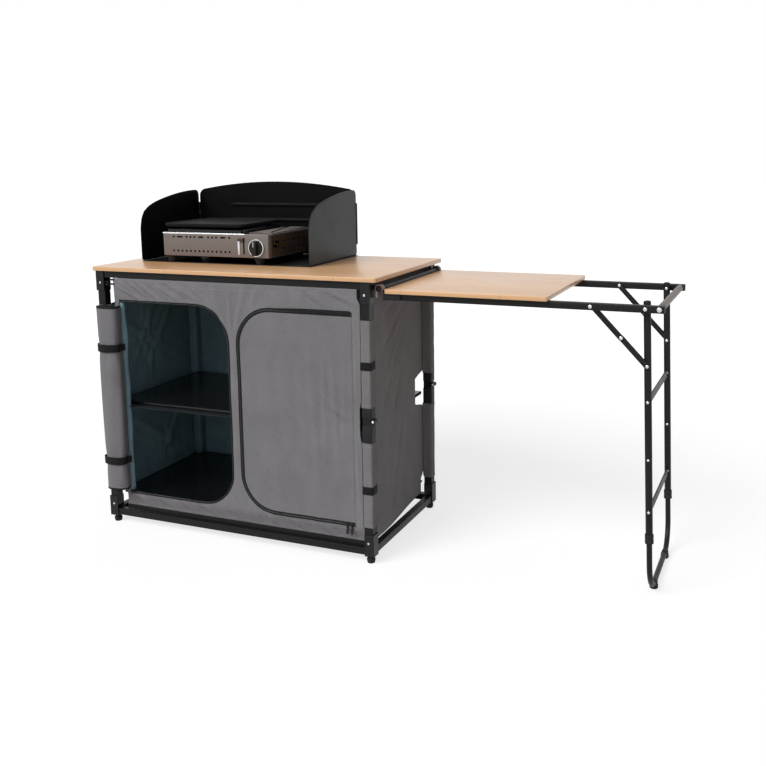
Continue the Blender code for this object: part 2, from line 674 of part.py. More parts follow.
def make_cupboard():
    """Cloth box between the legs: four walls in folds, a floor and a shelf cloth, and two door openings."""
    floor = FLOOR_CLOTH_HEIGHT - CLOTH / 2
    shelf = SHELF_CLOTH_HEIGHT - CLOTH / 2
    heights = [None, floor, (floor + shelf) / 2, shelf,
               shelf + (CLOTH_TOP - shelf) / 3, shelf + (CLOTH_TOP - shelf) * 2 / 3, CLOTH_TOP]

    def build(bm):
        rows = []
        for z in heights:
            ring = cupboard_ring(floor if z is None else z)
            low = floor - CLOTH / 2 - GAP
            front = CLOTH_COLUMNS["front"] + 1
            rows.append([
                bm.verts.new((x, y, z if z is not None else (FRONT_HEM_HEIGHT if i < front else low)))
                for i, (x, y) in enumerate(ring)
            ])
        for below, above in zip(rows, rows[1:]):
            for i in range(len(below)):
                j = (i + 1) % len(below)
                bm.faces.new((below[i], below[j], above[j], above[i]))

    cloth = mesh_object("fabric_cupboard", build, parts)
    wall = cloth.modifiers.new("wall", "SOLIDIFY")
    wall.thickness = CLOTH
    wall.offset = 0
    for name, z in (("floor_cloth", floor), ("shelf_cloth", shelf)):
        join(cloth, flat_solid(name, "Z", cupboard_ring(z), (z - CLOTH / 2, z + CLOTH / 2)))
    reach = CORNER_NOTCH + KNEE_WINDOW_WIDTH
    for corner in CORNERS:
        for index, span in enumerate((
            (0, FLOOR_CLOTH_HEIGHT - CLOTH),
            (KNEE - SLEEVE_KNEE_LOWER, KNEE + SLEEVE_KNEE_UPPER),
            (TOP_PIVOT - SLEEVE_END_UPPER, WORKTOP_HEIGHT),
        )):
            cut(cloth, corner.box(f"leg_window_{index}", (-LEG, reach), (-LEG, reach), span))
    paint(grey_cloth("fabric_cupboard"), cloth)
    return cloth


def door_outline(inner, outer, play=0.0):
    """Outline of a door in X and Z: straight beside its leg, with two large corners on the inner side."""
    side = 1 if outer > inner else -1
    top, bottom = DOOR_TOP - play, DOOR_BOTTOM + play
    inner, outer = inner + side * play, outer - side * play
    radius = DOOR_RADIUS - play
    centre_x = inner + side * radius
    if side > 0:
        upper = arc((centre_x, top - radius), radius, 90, 180, 6)
        lower = arc((centre_x, bottom + radius), radius, 180, 270, 6)
        return [(outer, top)] + upper + lower + [(outer, bottom)]
    upper = arc((centre_x, top - radius), radius, 90, 0, 6)
    lower = arc((centre_x, bottom + radius), radius, 0, -90, 6)
    return [(outer, bottom)] + lower[::-1] + upper[::-1] + [(outer, top)]


def make_doors(cloth):
    """Both door openings, the zipped right door, and the left door rolled up and strapped to its leg."""
    through = (FRAME_FRONT - CLOTH, FRAME_FRONT + CORNER_NOTCH / 2)
    cut(cloth,
        flat_solid("left_opening", "Y", door_outline(LEFT_DOOR_INNER, LEFT_DOOR_OUTER), through),
        flat_solid("right_opening", "Y", door_outline(RIGHT_DOOR_INNER, RIGHT_DOOR_OUTER), through))
    door = flat_solid("right_door", "Y", door_outline(RIGHT_DOOR_INNER, RIGHT_DOOR_OUTER, ZIP_PLAY),
                      (FRAME_FRONT, FRAME_FRONT + CLOTH), parts)
    set_origin(door, (RIGHT_DOOR_OUTER, FRAME_FRONT, (DOOR_TOP + DOOR_BOTTOM) / 2))
    paint(grey_cloth("right_door"), door)
    make_rolled_door()


def make_rolled_door():
    """Rolled cloth: an oval that the two straps draw in, made as rings up its height."""
    heights = [ROLL_BOTTOM]
    for strap in sorted(ROLL_STRAPS):
        heights += [strap - 0.05, strap - 0.015, strap + 0.015, strap + 0.05]
    heights.append(ROLL_TOP)
    centre = (ROLL_LEFT + ROLL_WIDTH / 2, ROLL_FRONT + ROLL_DEPTH / 2)

    def build(bm):
        rings = []
        for z in heights:
            pinch = STRAP_PINCH if any(abs(z - strap) < 0.02 for strap in ROLL_STRAPS) else 0.0
            ring = []
            for i in range(ROUND_STEPS):
                angle = 2 * math.pi * i / ROUND_STEPS
                x = centre[0] + (ROLL_WIDTH / 2 - pinch) * math.cos(angle)
                y = centre[1] + (ROLL_DEPTH / 2 - pinch / 4) * math.sin(angle)
                ring.append(bm.verts.new((x, y, z)))
            rings.append(ring)
        for low, high in zip(rings, rings[1:]):
            for i in range(ROUND_STEPS):
                j = (i + 1) % ROUND_STEPS
                bm.faces.new((low[i], low[j], high[j], high[i]))
        bm.faces.new(rings[0][::-1])
        bm.faces.new(rings[-1])
    roll = mesh_object("rolled_left_door", build, parts)
    paint(grey_cloth("rolled_left_door"), roll)


def make_boards():
    """Shelf board and floor board, lying on their cloths inside the folds."""
    inset = max(LEG + SLEEVE_PROUD + BOARD_PLAY, CORNER_NOTCH + CLOTH / 2 + GAP)
    x = (FRAME_LEFT + inset, FRAME_RIGHT - inset)
    y = (FRAME_FRONT + inset, FRAME_BACK - inset)
    shelf = box("shelf_board", x, y, (SHELF_HEIGHT - SHELF_THICKNESS, SHELF_HEIGHT), 0.004, "X", parts)
    floor = box("floor_board", x, y, (FLOOR_BOARD_BOTTOM, FLOOR_BOARD_BOTTOM + FLOOR_BOARD_THICKNESS),
                0, "Z", parts)
    for board in (shelf, floor):
        paint(make_material(board.name + "_laminate", (0.012, 0.012, 0.013), 0.25), board)


def side_y(end, inward):
    """A depth counted inwards from the side table's outer rail face."""
    half = SIDE_SPAN / 2 - inward
    return SIDE_MIDDLE - half if end == "front" else SIDE_MIDDLE + half


def side_span(end, a, b):
    return ordered(side_y(end, a), side_y(end, b))


def make_side_table():
    """Board, two hollow rails with their pivot pins, end tube, and the hooks that hold the tube."""
    half = SIDE_SPAN / 2 + SIDE_BOARD_OVERHANG
    board = box("side_board", (SIDE_LEFT, SIDE_LEFT + SIDE_BOARD_LENGTH),
                (SIDE_MIDDLE - half, SIDE_MIDDLE + half),
                (SIDE_HEIGHT - SIDE_BOARD_THICKNESS, SIDE_HEIGHT), 0.006, "Z", parts)
    paint(bamboo("side_board"), board)
    bottom = SIDE_RAIL_TOP - SIDE_RAIL
    for end in ("front", "rear"):
        name = f"side_rail_{end}"
        rail = box(name, (RAIL_START, PART_RIGHT), side_span(end, 0, SIDE_RAIL),
                   (bottom, SIDE_RAIL_TOP), 0.002, "X", parts)
        cut(rail, box(name + "_bore", (RAIL_START - RAIL, PART_RIGHT + RAIL),
                      side_span(end, SIDE_RAIL_WALL, SIDE_RAIL - SIDE_RAIL_WALL),
                      (bottom + SIDE_RAIL_WALL, SIDE_RAIL_TOP - SIDE_RAIL_WALL)))
        brace_end = SIDE_RAIL + UPPER_BRACE_PLANE + BRACE_THICKNESS
        leg_end = SIDE_RAIL + LEG_PLANE + LEG_TUBE_RADIUS
        for kind, x, radius, reach in (
            ("brace", BRACE_PIVOT_X, BRACE_PIN_RADIUS, brace_end),
            ("leg", LEG_PIVOT_X, LEG_PIN_RADIUS, leg_end),
        ):
            join(rail,
                 cylinder(f"{name}_{kind}_pin", "Y", (x, SIDE_RAIL_AXIS), side_span(end, -GAP, reach),
                          radius, steps=12),
                 cylinder(f"{name}_{kind}_rivet", "Y", (x, SIDE_RAIL_AXIS),
                          side_span(end, -RIVET_HEIGHT, SIDE_RAIL_WALL / 2), RIVET_RADIUS, steps=12))
        set_origin(rail, (HOOK_TUBE_X, side_y(end, SIDE_RAIL / 2), HOOK_TUBE_Z))
        paint(black_paint(name), rail)
        make_hook(end)
    end_tube = cylinder("end_tube", "Y", (END_TUBE_X, SIDE_RAIL_AXIS),
                        (side_y("front", SIDE_RAIL + GAP), side_y("rear", SIDE_RAIL + GAP)),
                        END_TUBE_RADIUS, collection=parts)
    cut(end_tube, cylinder("end_tube_bore", "Y", (END_TUBE_X, SIDE_RAIL_AXIS), (0, WORKTOP_DEPTH),
                           END_TUBE_RADIUS - TUBE_WALL))
    paint(make_material("end_tube_steel", (0.11, 0.09, 0.08), 0.35, 0.8), end_tube)


def make_hook(end):
    """Hook plate on a rail's outer face. It drops over the cabinet's tube from above."""
    outer = HOOK_TUBE_RADIUS + RUN + HOOK_WALL
    inner = HOOK_TUBE_RADIUS + RUN
    bottom = SIDE_RAIL_TOP - SIDE_RAIL
    shank_end = HOOK_TUBE_X + outer + HOOK_SHANK
    over = arc((HOOK_TUBE_X, HOOK_TUBE_Z), outer, 180, 0, 10)
    under = arc((HOOK_TUBE_X, HOOK_TUBE_Z), inner, 0, 180, 10)
    outline = (
        [(HOOK_TUBE_X - outer, HOOK_TUBE_Z - HOOK_TONGUE)] + over
        + [(HOOK_TUBE_X + outer, SIDE_RAIL_TOP), (shank_end, SIDE_RAIL_TOP), (shank_end, bottom),
           (HOOK_TUBE_X + inner, bottom)]
        + under + [(HOOK_TUBE_X - inner, HOOK_TUBE_Z - HOOK_TONGUE)]
    )
    hook = flat_solid(f"hook_{end}", "Y", outline, side_span(end, -GAP - HOOK_THICKNESS, -GAP), parts)
    set_origin(hook, (HOOK_TUBE_X, side_y(end, 0), HOOK_TUBE_Z))
    paint(make_material(hook.name + "_steel", (0.13, 0.10, 0.08), 0.4, 0.8), hook)


def make_hook_tube():
    """Tube under the worktop's right edge, on two ears that stand on the right-hand brackets."""
    tube_y = (HOOK_TUBE_INSET, WORKTOP_DEPTH - HOOK_TUBE_INSET)
    rod = cylinder("hook_tube", "Y", (HOOK_TUBE_X, HOOK_TUBE_Z), tube_y, HOOK_TUBE_RADIUS, collection=parts)
    cut(rod, cylinder("hook_tube_bore", "Y", (HOOK_TUBE_X, HOOK_TUBE_Z), (-RAIL, WORKTOP_DEPTH + RAIL),
                      HOOK_TUBE_RADIUS - TUBE_WALL))
    bracket_face = FRAME_RIGHT + GAP + BRACKET_WALL + GAP
    for start in (tube_y[0], tube_y[1] - TUBE_EAR):
        join(rod, box(f"hook_tube_ear_{start:.3f}", (bracket_face, HOOK_TUBE_X - HOOK_TUBE_RADIUS / 2),
                      (start, start + TUBE_EAR),
                      (HOOK_TUBE_Z - HOOK_TUBE_RADIUS / 2, HOOK_TUBE_Z + HOOK_TUBE_RADIUS / 2)))
    paint(black_paint("hook_tube"), rod)


def leg_point(height):
    """Distance down the tilted leg from its pivot to a height above the floor."""
    return (SIDE_RAIL_AXIS - height) / math.cos(LEG_TILT)


def tilt_with_leg(obj):
    """Hang a piece, modelled plumb under the leg's pivot, at the leg's tilt."""
    set_origin(obj, (LEG_PIVOT_X, SIDE_MIDDLE, SIDE_RAIL_AXIS))
    obj.rotation_euler.y = -LEG_TILT
    return obj


def make_side_leg():
    """Two tubes joined by flat cross bars and collars, open at the lower ends for the extension."""
    tops = SIDE_RAIL_AXIS + LEG_TUBE_TOP
    mouth = SIDE_RAIL_AXIS - leg_point(LEG_MOUTH_HEIGHT)
    depths = {end: side_y(end, SIDE_RAIL + LEG_PLANE) for end in ("front", "rear")}
    frame = cylinder("side_leg_frame", "Z", (LEG_PIVOT_X, depths["front"]), (mouth, tops),
                     LEG_TUBE_RADIUS, collection=parts)
    pieces = [cylinder("side_leg_rear_tube", "Z", (LEG_PIVOT_X, depths["rear"]), (mouth, tops),
                       LEG_TUBE_RADIUS)]
    for index, height in enumerate(CROSS_BAR_HEIGHTS):
        z = SIDE_RAIL_AXIS - leg_point(height)
        pieces.append(box(f"cross_bar_{index}",
                          (LEG_PIVOT_X - CROSS_BAR_THICKNESS / 2, LEG_PIVOT_X + CROSS_BAR_THICKNESS / 2),
                          (depths["front"], depths["rear"]),
                          (z - CROSS_BAR_DEPTH / 2, z + CROSS_BAR_DEPTH / 2)))
    cuts = []
    joins = []
    for end, depth in depths.items():
        pieces.append(cylinder(f"side_collar_{end}", "Z", (LEG_PIVOT_X, depth),
                               (mouth - GAP, mouth + COLLAR_LENGTH), COLLAR_RADIUS))
        cuts.append(cylinder(f"side_leg_bore_{end}", "Z", (LEG_PIVOT_X, depth),
                             (mouth - RAIL, tops - 2 * TUBE_WALL), LEG_TUBE_RADIUS - TUBE_WALL))
        cuts.append(cylinder(f"side_leg_pin_hole_{end}", "Y", (LEG_PIVOT_X, SIDE_RAIL_AXIS),
                             (depth - 2 * LEG_TUBE_RADIUS, depth + 2 * LEG_TUBE_RADIUS),
                             LEG_PIN_RADIUS + RUN, steps=12))
        inside = SIDE_RAIL + LEG_PLANE
        joins.append(cylinder(f"lock_button_{end}", "Y",
                              (LEG_PIVOT_X, SIDE_RAIL_AXIS - leg_point(LOCK_BUTTON_HEIGHT)),
                              (depth - LEG_TUBE_RADIUS - RIVET_HEIGHT,
                               depth - LEG_TUBE_RADIUS + TUBE_WALL / 2),
                              LOCK_BUTTON_RADIUS, steps=12))
        joins.append(cylinder(f"side_brace_pin_{end}", "Y", (LEG_PIVOT_X, SIDE_RAIL_AXIS - BRACE_ON_LEG),
                              side_span(end, SIDE_RAIL + LOWER_BRACE_PLANE, inside + LEG_TUBE_RADIUS),
                              BRACE_PIN_RADIUS, steps=12))
    join(frame, *pieces)
    cut(frame, *cuts)
    join(frame, *joins)
    tilt_with_leg(frame)
    for piece in pieces + cuts + joins:
        tilt_with_leg(piece)
    paint(black_paint("side_leg_frame"), frame)
    make_extension(depths, mouth)


def make_extension(depths, mouth):
    """U of thinner tube that slides in the leg tubes, and the two rubber pads under it."""
    tube_axis = PAD_FLOOR + GAP + EXTENSION_RADIUS
    low = SIDE_RAIL_AXIS - leg_point(tube_axis)
    top = mouth + EXTENSION_OVERLAP
    bend = EXTENSION_BEND

    def path(extra):
        first = [(y, z) for y, z in arc((depths["front"] + bend, low + bend), bend, 180, 270, 5)]
        second = [(y, z) for y, z in arc((depths["rear"] - bend, low + bend), bend, 270, 360, 5)]
        ends = [(depths["front"], top + extra)], [(depths["rear"], top + extra)]
        return [(LEG_PIVOT_X, y, z) for y, z in ends[0] + first + second + ends[1]]
    extension = tube("leg_extension", path(0), EXTENSION_RADIUS, 2, parts)
    bore = tube("leg_extension_bore", path(EXTENSION_RADIUS), EXTENSION_RADIUS - EXTENSION_WALL, 2)
    cut(extension, bore)
    tilt_with_leg(extension)
    tilt_with_leg(bore)
    paint(black_paint("leg_extension"), extension)
    foot_x = LEG_PIVOT_X + leg_point(tube_axis) * math.sin(LEG_TILT)
    for end, direction in (("front", -1), ("rear", 1)):
        y = SIDE_MIDDLE + direction * PAD_SPAN / 2
        pad = cylinder(f"leg_pad_{end}", "Z", (foot_x, y), (0, tube_axis), PAD_RADIUS, collection=parts)
        cut(pad, cylinder(f"leg_pad_seat_{end}", "Y", (foot_x, tube_axis),
                          (y - 2 * PAD_RADIUS, y + 2 * PAD_RADIUS), EXTENSION_RADIUS + GAP))
        paint(make_material(pad.name + "_rubber", (0.02, 0.02, 0.02), 0.7), pad)


def link(name, start, end, span, start_hole, collection):
    """Flat bar with round ends between two pivots in X and Z, with a pin hole at its start."""
    direction = math.degrees(math.atan2(end[1] - start[1], end[0] - start[0]))
    outline = (arc(start, BRACE_WIDTH / 2, direction + 90, direction + 270, 6)
               + arc(end, BRACE_WIDTH / 2, direction - 90, direction + 90, 6))
    bar = flat_solid(name, "Y", outline, span, collection)
    cut(bar, cylinder(name + "_hole", "Y", start, (span[0] - RAIL, span[1] + RAIL), start_hole, steps=12))
    return bar


def knee_of_brace():
    """Where the brace's halves meet: on the line of the straight brace, with halves that fold flat.

    The rail's pivot lies at distance a from the leg's pivot and the leg's rivet at distance b, and
    a + upper half = b + lower half brings all the pivots into one line when the leg is folded.
    """
    a = LEG_PIVOT_X - BRACE_PIVOT_X
    upper = (BRACE_PIVOT_X, SIDE_RAIL_AXIS)
    lower = (LEG_PIVOT_X + BRACE_ON_LEG * math.sin(LEG_TILT),
             SIDE_RAIL_AXIS - BRACE_ON_LEG * math.cos(LEG_TILT))
    length = math.dist(upper, lower)
    upper_half = (length + BRACE_ON_LEG - a) / 2
    share = upper_half / length
    knee = (upper[0] + (lower[0] - upper[0]) * share, upper[1] + (lower[1] - upper[1]) * share)
    return upper, knee, lower


def make_braces():
    upper, knee, lower = knee_of_brace()
    for end in ("front", "rear"):
        high = link(f"upper_brace_{end}", upper, knee,
                    side_span(end, SIDE_RAIL + UPPER_BRACE_PLANE,
                              SIDE_RAIL + UPPER_BRACE_PLANE + BRACE_THICKNESS),
                    BRACE_PIN_RADIUS + RUN, parts)
        join(high, cylinder(f"brace_rivet_{end}", "Y", knee,
                            side_span(end, SIDE_RAIL + UPPER_BRACE_PLANE - RIVET_HEIGHT,
                                      SIDE_RAIL + UPPER_BRACE_PLANE + BRACE_THICKNESS / 2),
                            RIVET_RADIUS, steps=12))
        set_origin(high, (upper[0], side_y(end, SIDE_RAIL + UPPER_BRACE_PLANE), upper[1]))
        low = link(f"lower_brace_{end}", lower, knee,
                   side_span(end, SIDE_RAIL + LOWER_BRACE_PLANE,
                             SIDE_RAIL + LOWER_BRACE_PLANE + BRACE_THICKNESS),
                   BRACE_PIN_RADIUS + RUN, parts)
        set_origin(low, (lower[0], side_y(end, SIDE_RAIL + LOWER_BRACE_PLANE), lower[1]))
        paint(black_paint(high.name), high)
        paint(black_paint(low.name), low)


def shield_height(above):
    return SHIELD_BASE_TOP + above


def tabs(edge, axis, bands):
    """Points up an upright edge that steps out to the hinge's axis, just inside each band of heights."""
    return [point for low, high in bands
            for point in ((edge, low + GAP), (axis, low + GAP), (axis, high - GAP), (edge, high - GAP))]


def make_windshield():
    """Base plate, arched back panel and two hinged wings of sheet."""
    right = SHIELD_LEFT + SHIELD_WIDTH
    base = box("windshield_base", (SHIELD_LEFT, right), (SHIELD_FRONT, SHIELD_FRONT + SHIELD_DEPTH),
               (SHIELD_BASE_BOTTOM, SHIELD_BASE_TOP), SHIELD_CORNER, "Z", parts)
    clear = HINGE_RADIUS + HINGE_PLAY
    x0, x1 = SHIELD_HINGES_X[0] + clear, SHIELD_HINGES_X[1] - clear
    notch_x, notch_z = BACK_NOTCH
    bottom = shield_height(GAP)
    middle, half = (x0 + x1) / 2, (x1 - x0) / 2
    rise = BACK_HEIGHT_MIDDLE - BACK_HEIGHT_ENDS

    def arch(x):
        return shield_height(BACK_HEIGHT_ENDS + rise * (1 - ((x - middle) / half) ** 2))

    shoulder = x1 - BACK_CORNER
    high_corner = arc((shoulder, arch(shoulder) - BACK_CORNER), BACK_CORNER, 0, 90, 4)
    crown = [(middle + (shoulder - middle) * share / 5, arch(middle + (shoulder - middle) * share / 5))
             for share in range(4, -5, -1)]
    top = high_corner + crown + [(2 * middle - x, z) for x, z in high_corner[::-1]]
    low, first, second, high = (shield_height(h) for h in HINGE_BANDS)
    bands = ((low, first - GAP), (second + GAP, high))
    outline = ([(x0 + notch_x, bottom), (x1 - notch_x, bottom), (x1 - notch_x, bottom + notch_z),
                (x1, bottom + notch_z)]
               + tabs(x1, SHIELD_HINGES_X[1], bands) + top
               + tabs(x0, SHIELD_HINGES_X[0], bands)[::-1]
               + [(x0, bottom + notch_z), (x0 + notch_x, bottom + notch_z)])
    sheet_y = (SHIELD_HINGE_Y - SHEET / 2, SHIELD_HINGE_Y + SHEET / 2)
    back = flat_solid("windshield_back", "Y", outline, sheet_y, parts)
    for side, axis_x in zip(("left", "right"), SHIELD_HINGES_X):
        join(back, *(
            cylinder(f"back_knuckle_{side}_{z[0]:.3f}", "Z", (axis_x, SHIELD_HINGE_Y), z, HINGE_RADIUS,
                     steps=12)
            for z in bands
        ))
        make_wing(side, axis_x, clear, (first, second))
    for piece in (base, back):
        paint(black_paint(piece.name), piece)


def make_wing(side, axis_x, clear, band):
    """Wing in Y and Z: upright at the front, curved up to the rear, with its hinge knuckle."""
    rear = SHIELD_HINGE_Y - clear
    front = SHIELD_FRONT
    bottom = shield_height(GAP)
    low, high = WING_LOW_CORNER, WING_HIGH_CORNER
    crest = [(front + back, shield_height(height)) for back, height in WING_CREST
             if front + back < rear - high]
    outline = (arc((rear - low, bottom + low), low, 270, 360, 3) + tabs(rear, SHIELD_HINGE_Y, (band,))
               + arc((rear - high, crest[-1][1] - high), high, 0, 90, 4) + crest[::-1]
               + arc((front + low, bottom + low), low, 180, 270, 3))
    sheet_x = (axis_x - SHEET / 2, axis_x + SHEET / 2)
    name = f"windshield_{side}_wing"
    wing = flat_solid(name, "X", outline, sheet_x, parts)
    join(wing, cylinder(name + "_knuckle", "Z", (axis_x, SHIELD_HINGE_Y), band, HINGE_RADIUS, steps=12))
    set_origin(wing, (axis_x, SHIELD_HINGE_Y, SHIELD_BASE_TOP))
    paint(black_paint(name), wing)


def make_stove():
    """Sheet-metal stove body with its burner, feet, cartridge bay and pan supports."""
    x = (STOVE_LEFT, STOVE_RIGHT)
    y = (STOVE_FRONT, STOVE_BACK)
    z = (STOVE_BOTTOM, STOVE_TOP)
    body = box("stove_body", x, y, z, STOVE_CORNER, "Z", parts)
    plate_middle = ((PLATE_X[0] + PLATE_X[1]) / 2, (PLATE_Y[0] + PLATE_Y[1]) / 2)
    inside = box("stove_inside", (x[0] + STOVE_WALL, x[1] - STOVE_WALL),
                 (y[0] + STOVE_WALL, y[1] - STOVE_WALL), (z[0] + STOVE_WALL, z[1] - STOVE_WALL))
    well = cylinder("burner_well", "Z", plate_middle, (z[1] - 2 * STOVE_WALL, z[1] + STOVE_WALL),
                    BURNER_WELL_RADIUS, steps=FINE_STEPS)
    bay = box("cartridge_bay", BAY_X, BAY_Y, (z[1] - 2 * STOVE_WALL, z[1] + STOVE_WALL))
    slot = box("lever_slot", (LEVER_X - LEVER_SLOT_WIDTH / 2, LEVER_X + LEVER_SLOT_WIDTH / 2),
               (y[0] - STOVE_WALL, y[0] + 2 * STOVE_WALL),
               (LEVER_SLOT_TOP - LEVER_SLOT_HEIGHT, LEVER_SLOT_TOP))
    cut(body, inside, well, bay, slot)
    burner = cylinder("burner", "Z", plate_middle, (z[0], STOVE_TOP + PLATE_LIFT / 3), BURNER_RADIUS)
    added = [burner]
    inset_x, inset_y = STOVE_FOOT_INSET
    for foot_x in (x[0] + inset_x, x[1] - inset_x):
        for foot_y in (y[0] + inset_y, y[1] - inset_y):
            added.append(cylinder(f"stove_foot_{foot_x:.3f}_{foot_y:.3f}", "Z", (foot_x, foot_y),
                                  (STOVE_BOTTOM - STOVE_FOOT_HEIGHT, STOVE_BOTTOM + STOVE_WALL / 2),
                                  STOVE_FOOT_TIP, STOVE_FOOT_RADIUS, steps=12))
    half = SUPPORT_SIDE / 2
    for post_x in (PLATE_X[0] + SUPPORT_INSET, PLATE_X[1] - SUPPORT_INSET):
        for post_y in (PLATE_Y[0] + SUPPORT_INSET, PLATE_Y[1] - SUPPORT_INSET):
            added.append(box(f"support_{post_x:.3f}_{post_y:.3f}", (post_x - half, post_x + half),
                             (post_y - half, post_y + half),
                             (STOVE_TOP - STOVE_WALL / 2, PLATE_BOTTOM - GAP)))
    join(body, *added)
    paint(make_material("stove_enamel", (0.16, 0.13, 0.11), 0.35, 0.6), body)
    make_hotplate()
    make_lid()
    make_knob()
    make_lever()


def make_hotplate():
    """Cast plate with a raised rim."""
    top = PLATE_BOTTOM + PLATE_THICKNESS
    plate = box("hotplate", PLATE_X, PLATE_Y, (PLATE_BOTTOM, top), PLATE_CORNER, "Z", parts)
    cut(plate, box("hotplate_recess", (PLATE_X[0] + PLATE_RIM, PLATE_X[1] - PLATE_RIM),
                   (PLATE_Y[0] + PLATE_RIM, PLATE_Y[1] - PLATE_RIM),
                   (top - PLATE_RECESS, top + PLATE_RECESS), PLATE_CORNER - PLATE_RIM, "Z"))
    paint(stove_black("hotplate"), plate)


def make_lid():
    """Lid of the cartridge bay, hinged beside the hotplate."""
    bottom = STOVE_TOP + GAP
    lid = box("cartridge_lid", (BAY_X[0] - LID_LAP, BAY_X[1] + LID_LAP),
              (BAY_Y[0] - LID_LAP, BAY_Y[1] + LID_LAP), (bottom, bottom + LID_THICKNESS),
              LID_LAP, "Z", parts)
    set_origin(lid, (BAY_X[0] - LID_LAP, (BAY_Y[0] + BAY_Y[1]) / 2, bottom))
    paint(stove_black("cartridge_lid"), lid)


def make_knob():
    """Control knob: a skirt with a grip bar across it."""
    z = STOVE_TOP - KNOB_DROP
    face = STOVE_FRONT - GAP
    knob = cylinder("stove_knob", "Y", (KNOB_X, z), (face - KNOB_SKIRT, face), KNOB_RADIUS,
                    steps=FINE_STEPS, collection=parts)
    join(knob, box("knob_grip", (KNOB_X - KNOB_GRIP / 2, KNOB_X + KNOB_GRIP / 2),
                   (face - KNOB_DEPTH, face - KNOB_SKIRT / 2),
                   (z - KNOB_RADIUS * 0.85, z + KNOB_RADIUS * 0.85), 0.002, "Y"))
    set_origin(knob, (KNOB_X, face, z))
    paint(stove_black("stove_knob"), knob)


def make_lever():
    """Lever that locks the cartridge: it stands at the top of its slot and slides down in it."""
    top = LEVER_SLOT_TOP - RUN
    face = STOVE_FRONT - GAP
    lever = box("cartridge_lever", (LEVER_X - LEVER_WIDTH + LEVER_SLOT_WIDTH / 2 - RUN,
                                    LEVER_X + LEVER_SLOT_WIDTH / 2 - RUN),
                (face - LEVER_DEPTH, face), (top - LEVER_HEIGHT, top), 0.001, "Y", parts)
    join(lever, box("lever_stem", (LEVER_X - LEVER_SLOT_WIDTH / 2 + RUN,
                                   LEVER_X + LEVER_SLOT_WIDTH / 2 - 2 * RUN),
                    (face - LEVER_DEPTH / 2, STOVE_FRONT + 3 * STOVE_WALL),
                    (top - LEVER_HEIGHT + RUN, top - RUN)))
    set_origin(lever, (LEVER_X, STOVE_FRONT, top))
    paint(stove_black("cartridge_lever"), lever)


def main():
    make_worktop()
    make_rail_ring("bottom_frame", LOW_RAIL_BOTTOM)
    make_rail_ring("top_frame", TOP_RAIL_BOTTOM)
    for corner in CORNERS:
        make_bracket(corner, "bottom")
        make_bracket(corner, "top")
        make_foot(corner)
        for half in ("lower", "upper"):
            make_leg(corner, half)
            make_sleeve(corner, half)
    make_doors(make_cupboard())
    make_boards()
    make_hook_tube()
    make_side_table()
    make_side_leg()
    make_braces()
    make_windshield()
    make_stove()


clear_scene()
cabinet = bpy.data.objects.new("cabinet_corner", None)
cabinet.location = (-PART_RIGHT / 2, -(PART_FRONT + WORKTOP_DEPTH) / 2, 0)
parts.objects.link(cabinet)
main()
bpy.context.view_layer.update()
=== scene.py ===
"""Looks of a folding camp kitchen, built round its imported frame.

Sizes are in metres and count from the cabinet's own corner: X runs right from the worktop's left edge, Y runs
back from its front edge, and Z is up from the floor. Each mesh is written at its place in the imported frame,
and its object stays at the origin.
"""

import logging
import math
from dataclasses import dataclass, field
from enum import Enum
from typing import Sequence

import bmesh
import bpy
import numpy as np
from mathutils import Matrix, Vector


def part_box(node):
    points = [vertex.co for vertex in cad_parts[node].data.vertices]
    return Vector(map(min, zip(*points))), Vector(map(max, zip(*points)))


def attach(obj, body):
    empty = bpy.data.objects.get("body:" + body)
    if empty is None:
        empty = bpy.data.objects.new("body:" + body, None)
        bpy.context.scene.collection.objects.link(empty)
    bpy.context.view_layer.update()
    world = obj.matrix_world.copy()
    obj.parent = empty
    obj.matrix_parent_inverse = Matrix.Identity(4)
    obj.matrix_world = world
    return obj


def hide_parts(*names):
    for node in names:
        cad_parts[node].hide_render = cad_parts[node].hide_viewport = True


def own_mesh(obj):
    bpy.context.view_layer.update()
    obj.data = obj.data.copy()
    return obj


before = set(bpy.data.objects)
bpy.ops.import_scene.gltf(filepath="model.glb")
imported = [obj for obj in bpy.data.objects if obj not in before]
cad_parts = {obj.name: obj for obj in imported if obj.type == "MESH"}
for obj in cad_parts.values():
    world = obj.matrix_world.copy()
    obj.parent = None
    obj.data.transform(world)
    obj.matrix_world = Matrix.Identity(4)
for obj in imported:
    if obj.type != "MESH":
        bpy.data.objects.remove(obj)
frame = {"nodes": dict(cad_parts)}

Array = np.ndarray
log = logging.getLogger("camp_kitchen")
CABINET_CORNER = np.array([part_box("worktop")[0].x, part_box("worktop")[0].y, 0.0])
SAME_POINT = 2e-6  # an outline's points closer than this are one point
WELD_DISTANCE = 4e-6  # a mesh's points closer than this are welded
TIE_HEIGHTS = (0.560, 0.212)  # the straps of the door ties


# Colours and nodes


def linear(hex_colour: str) -> tuple[float, float, float, float]:
    """Turns an sRGB hex colour into the linear one that a shader takes.

    Args:
        hex_colour: six hex digits, with or without a leading #.

    Returns:
        Red, green, blue and an alpha of 1.
    """
    digits = hex_colour.lstrip("#")
    srgb = np.array([int(digits[i:i + 2], 16) / 255 for i in (0, 2, 4)])
    rgb = np.where(srgb <= 0.04045, srgb / 12.92, ((srgb + 0.055) / 1.055) ** 2.4)
    return (float(rgb[0]), float(rgb[1]), float(rgb[2]), 1.0)


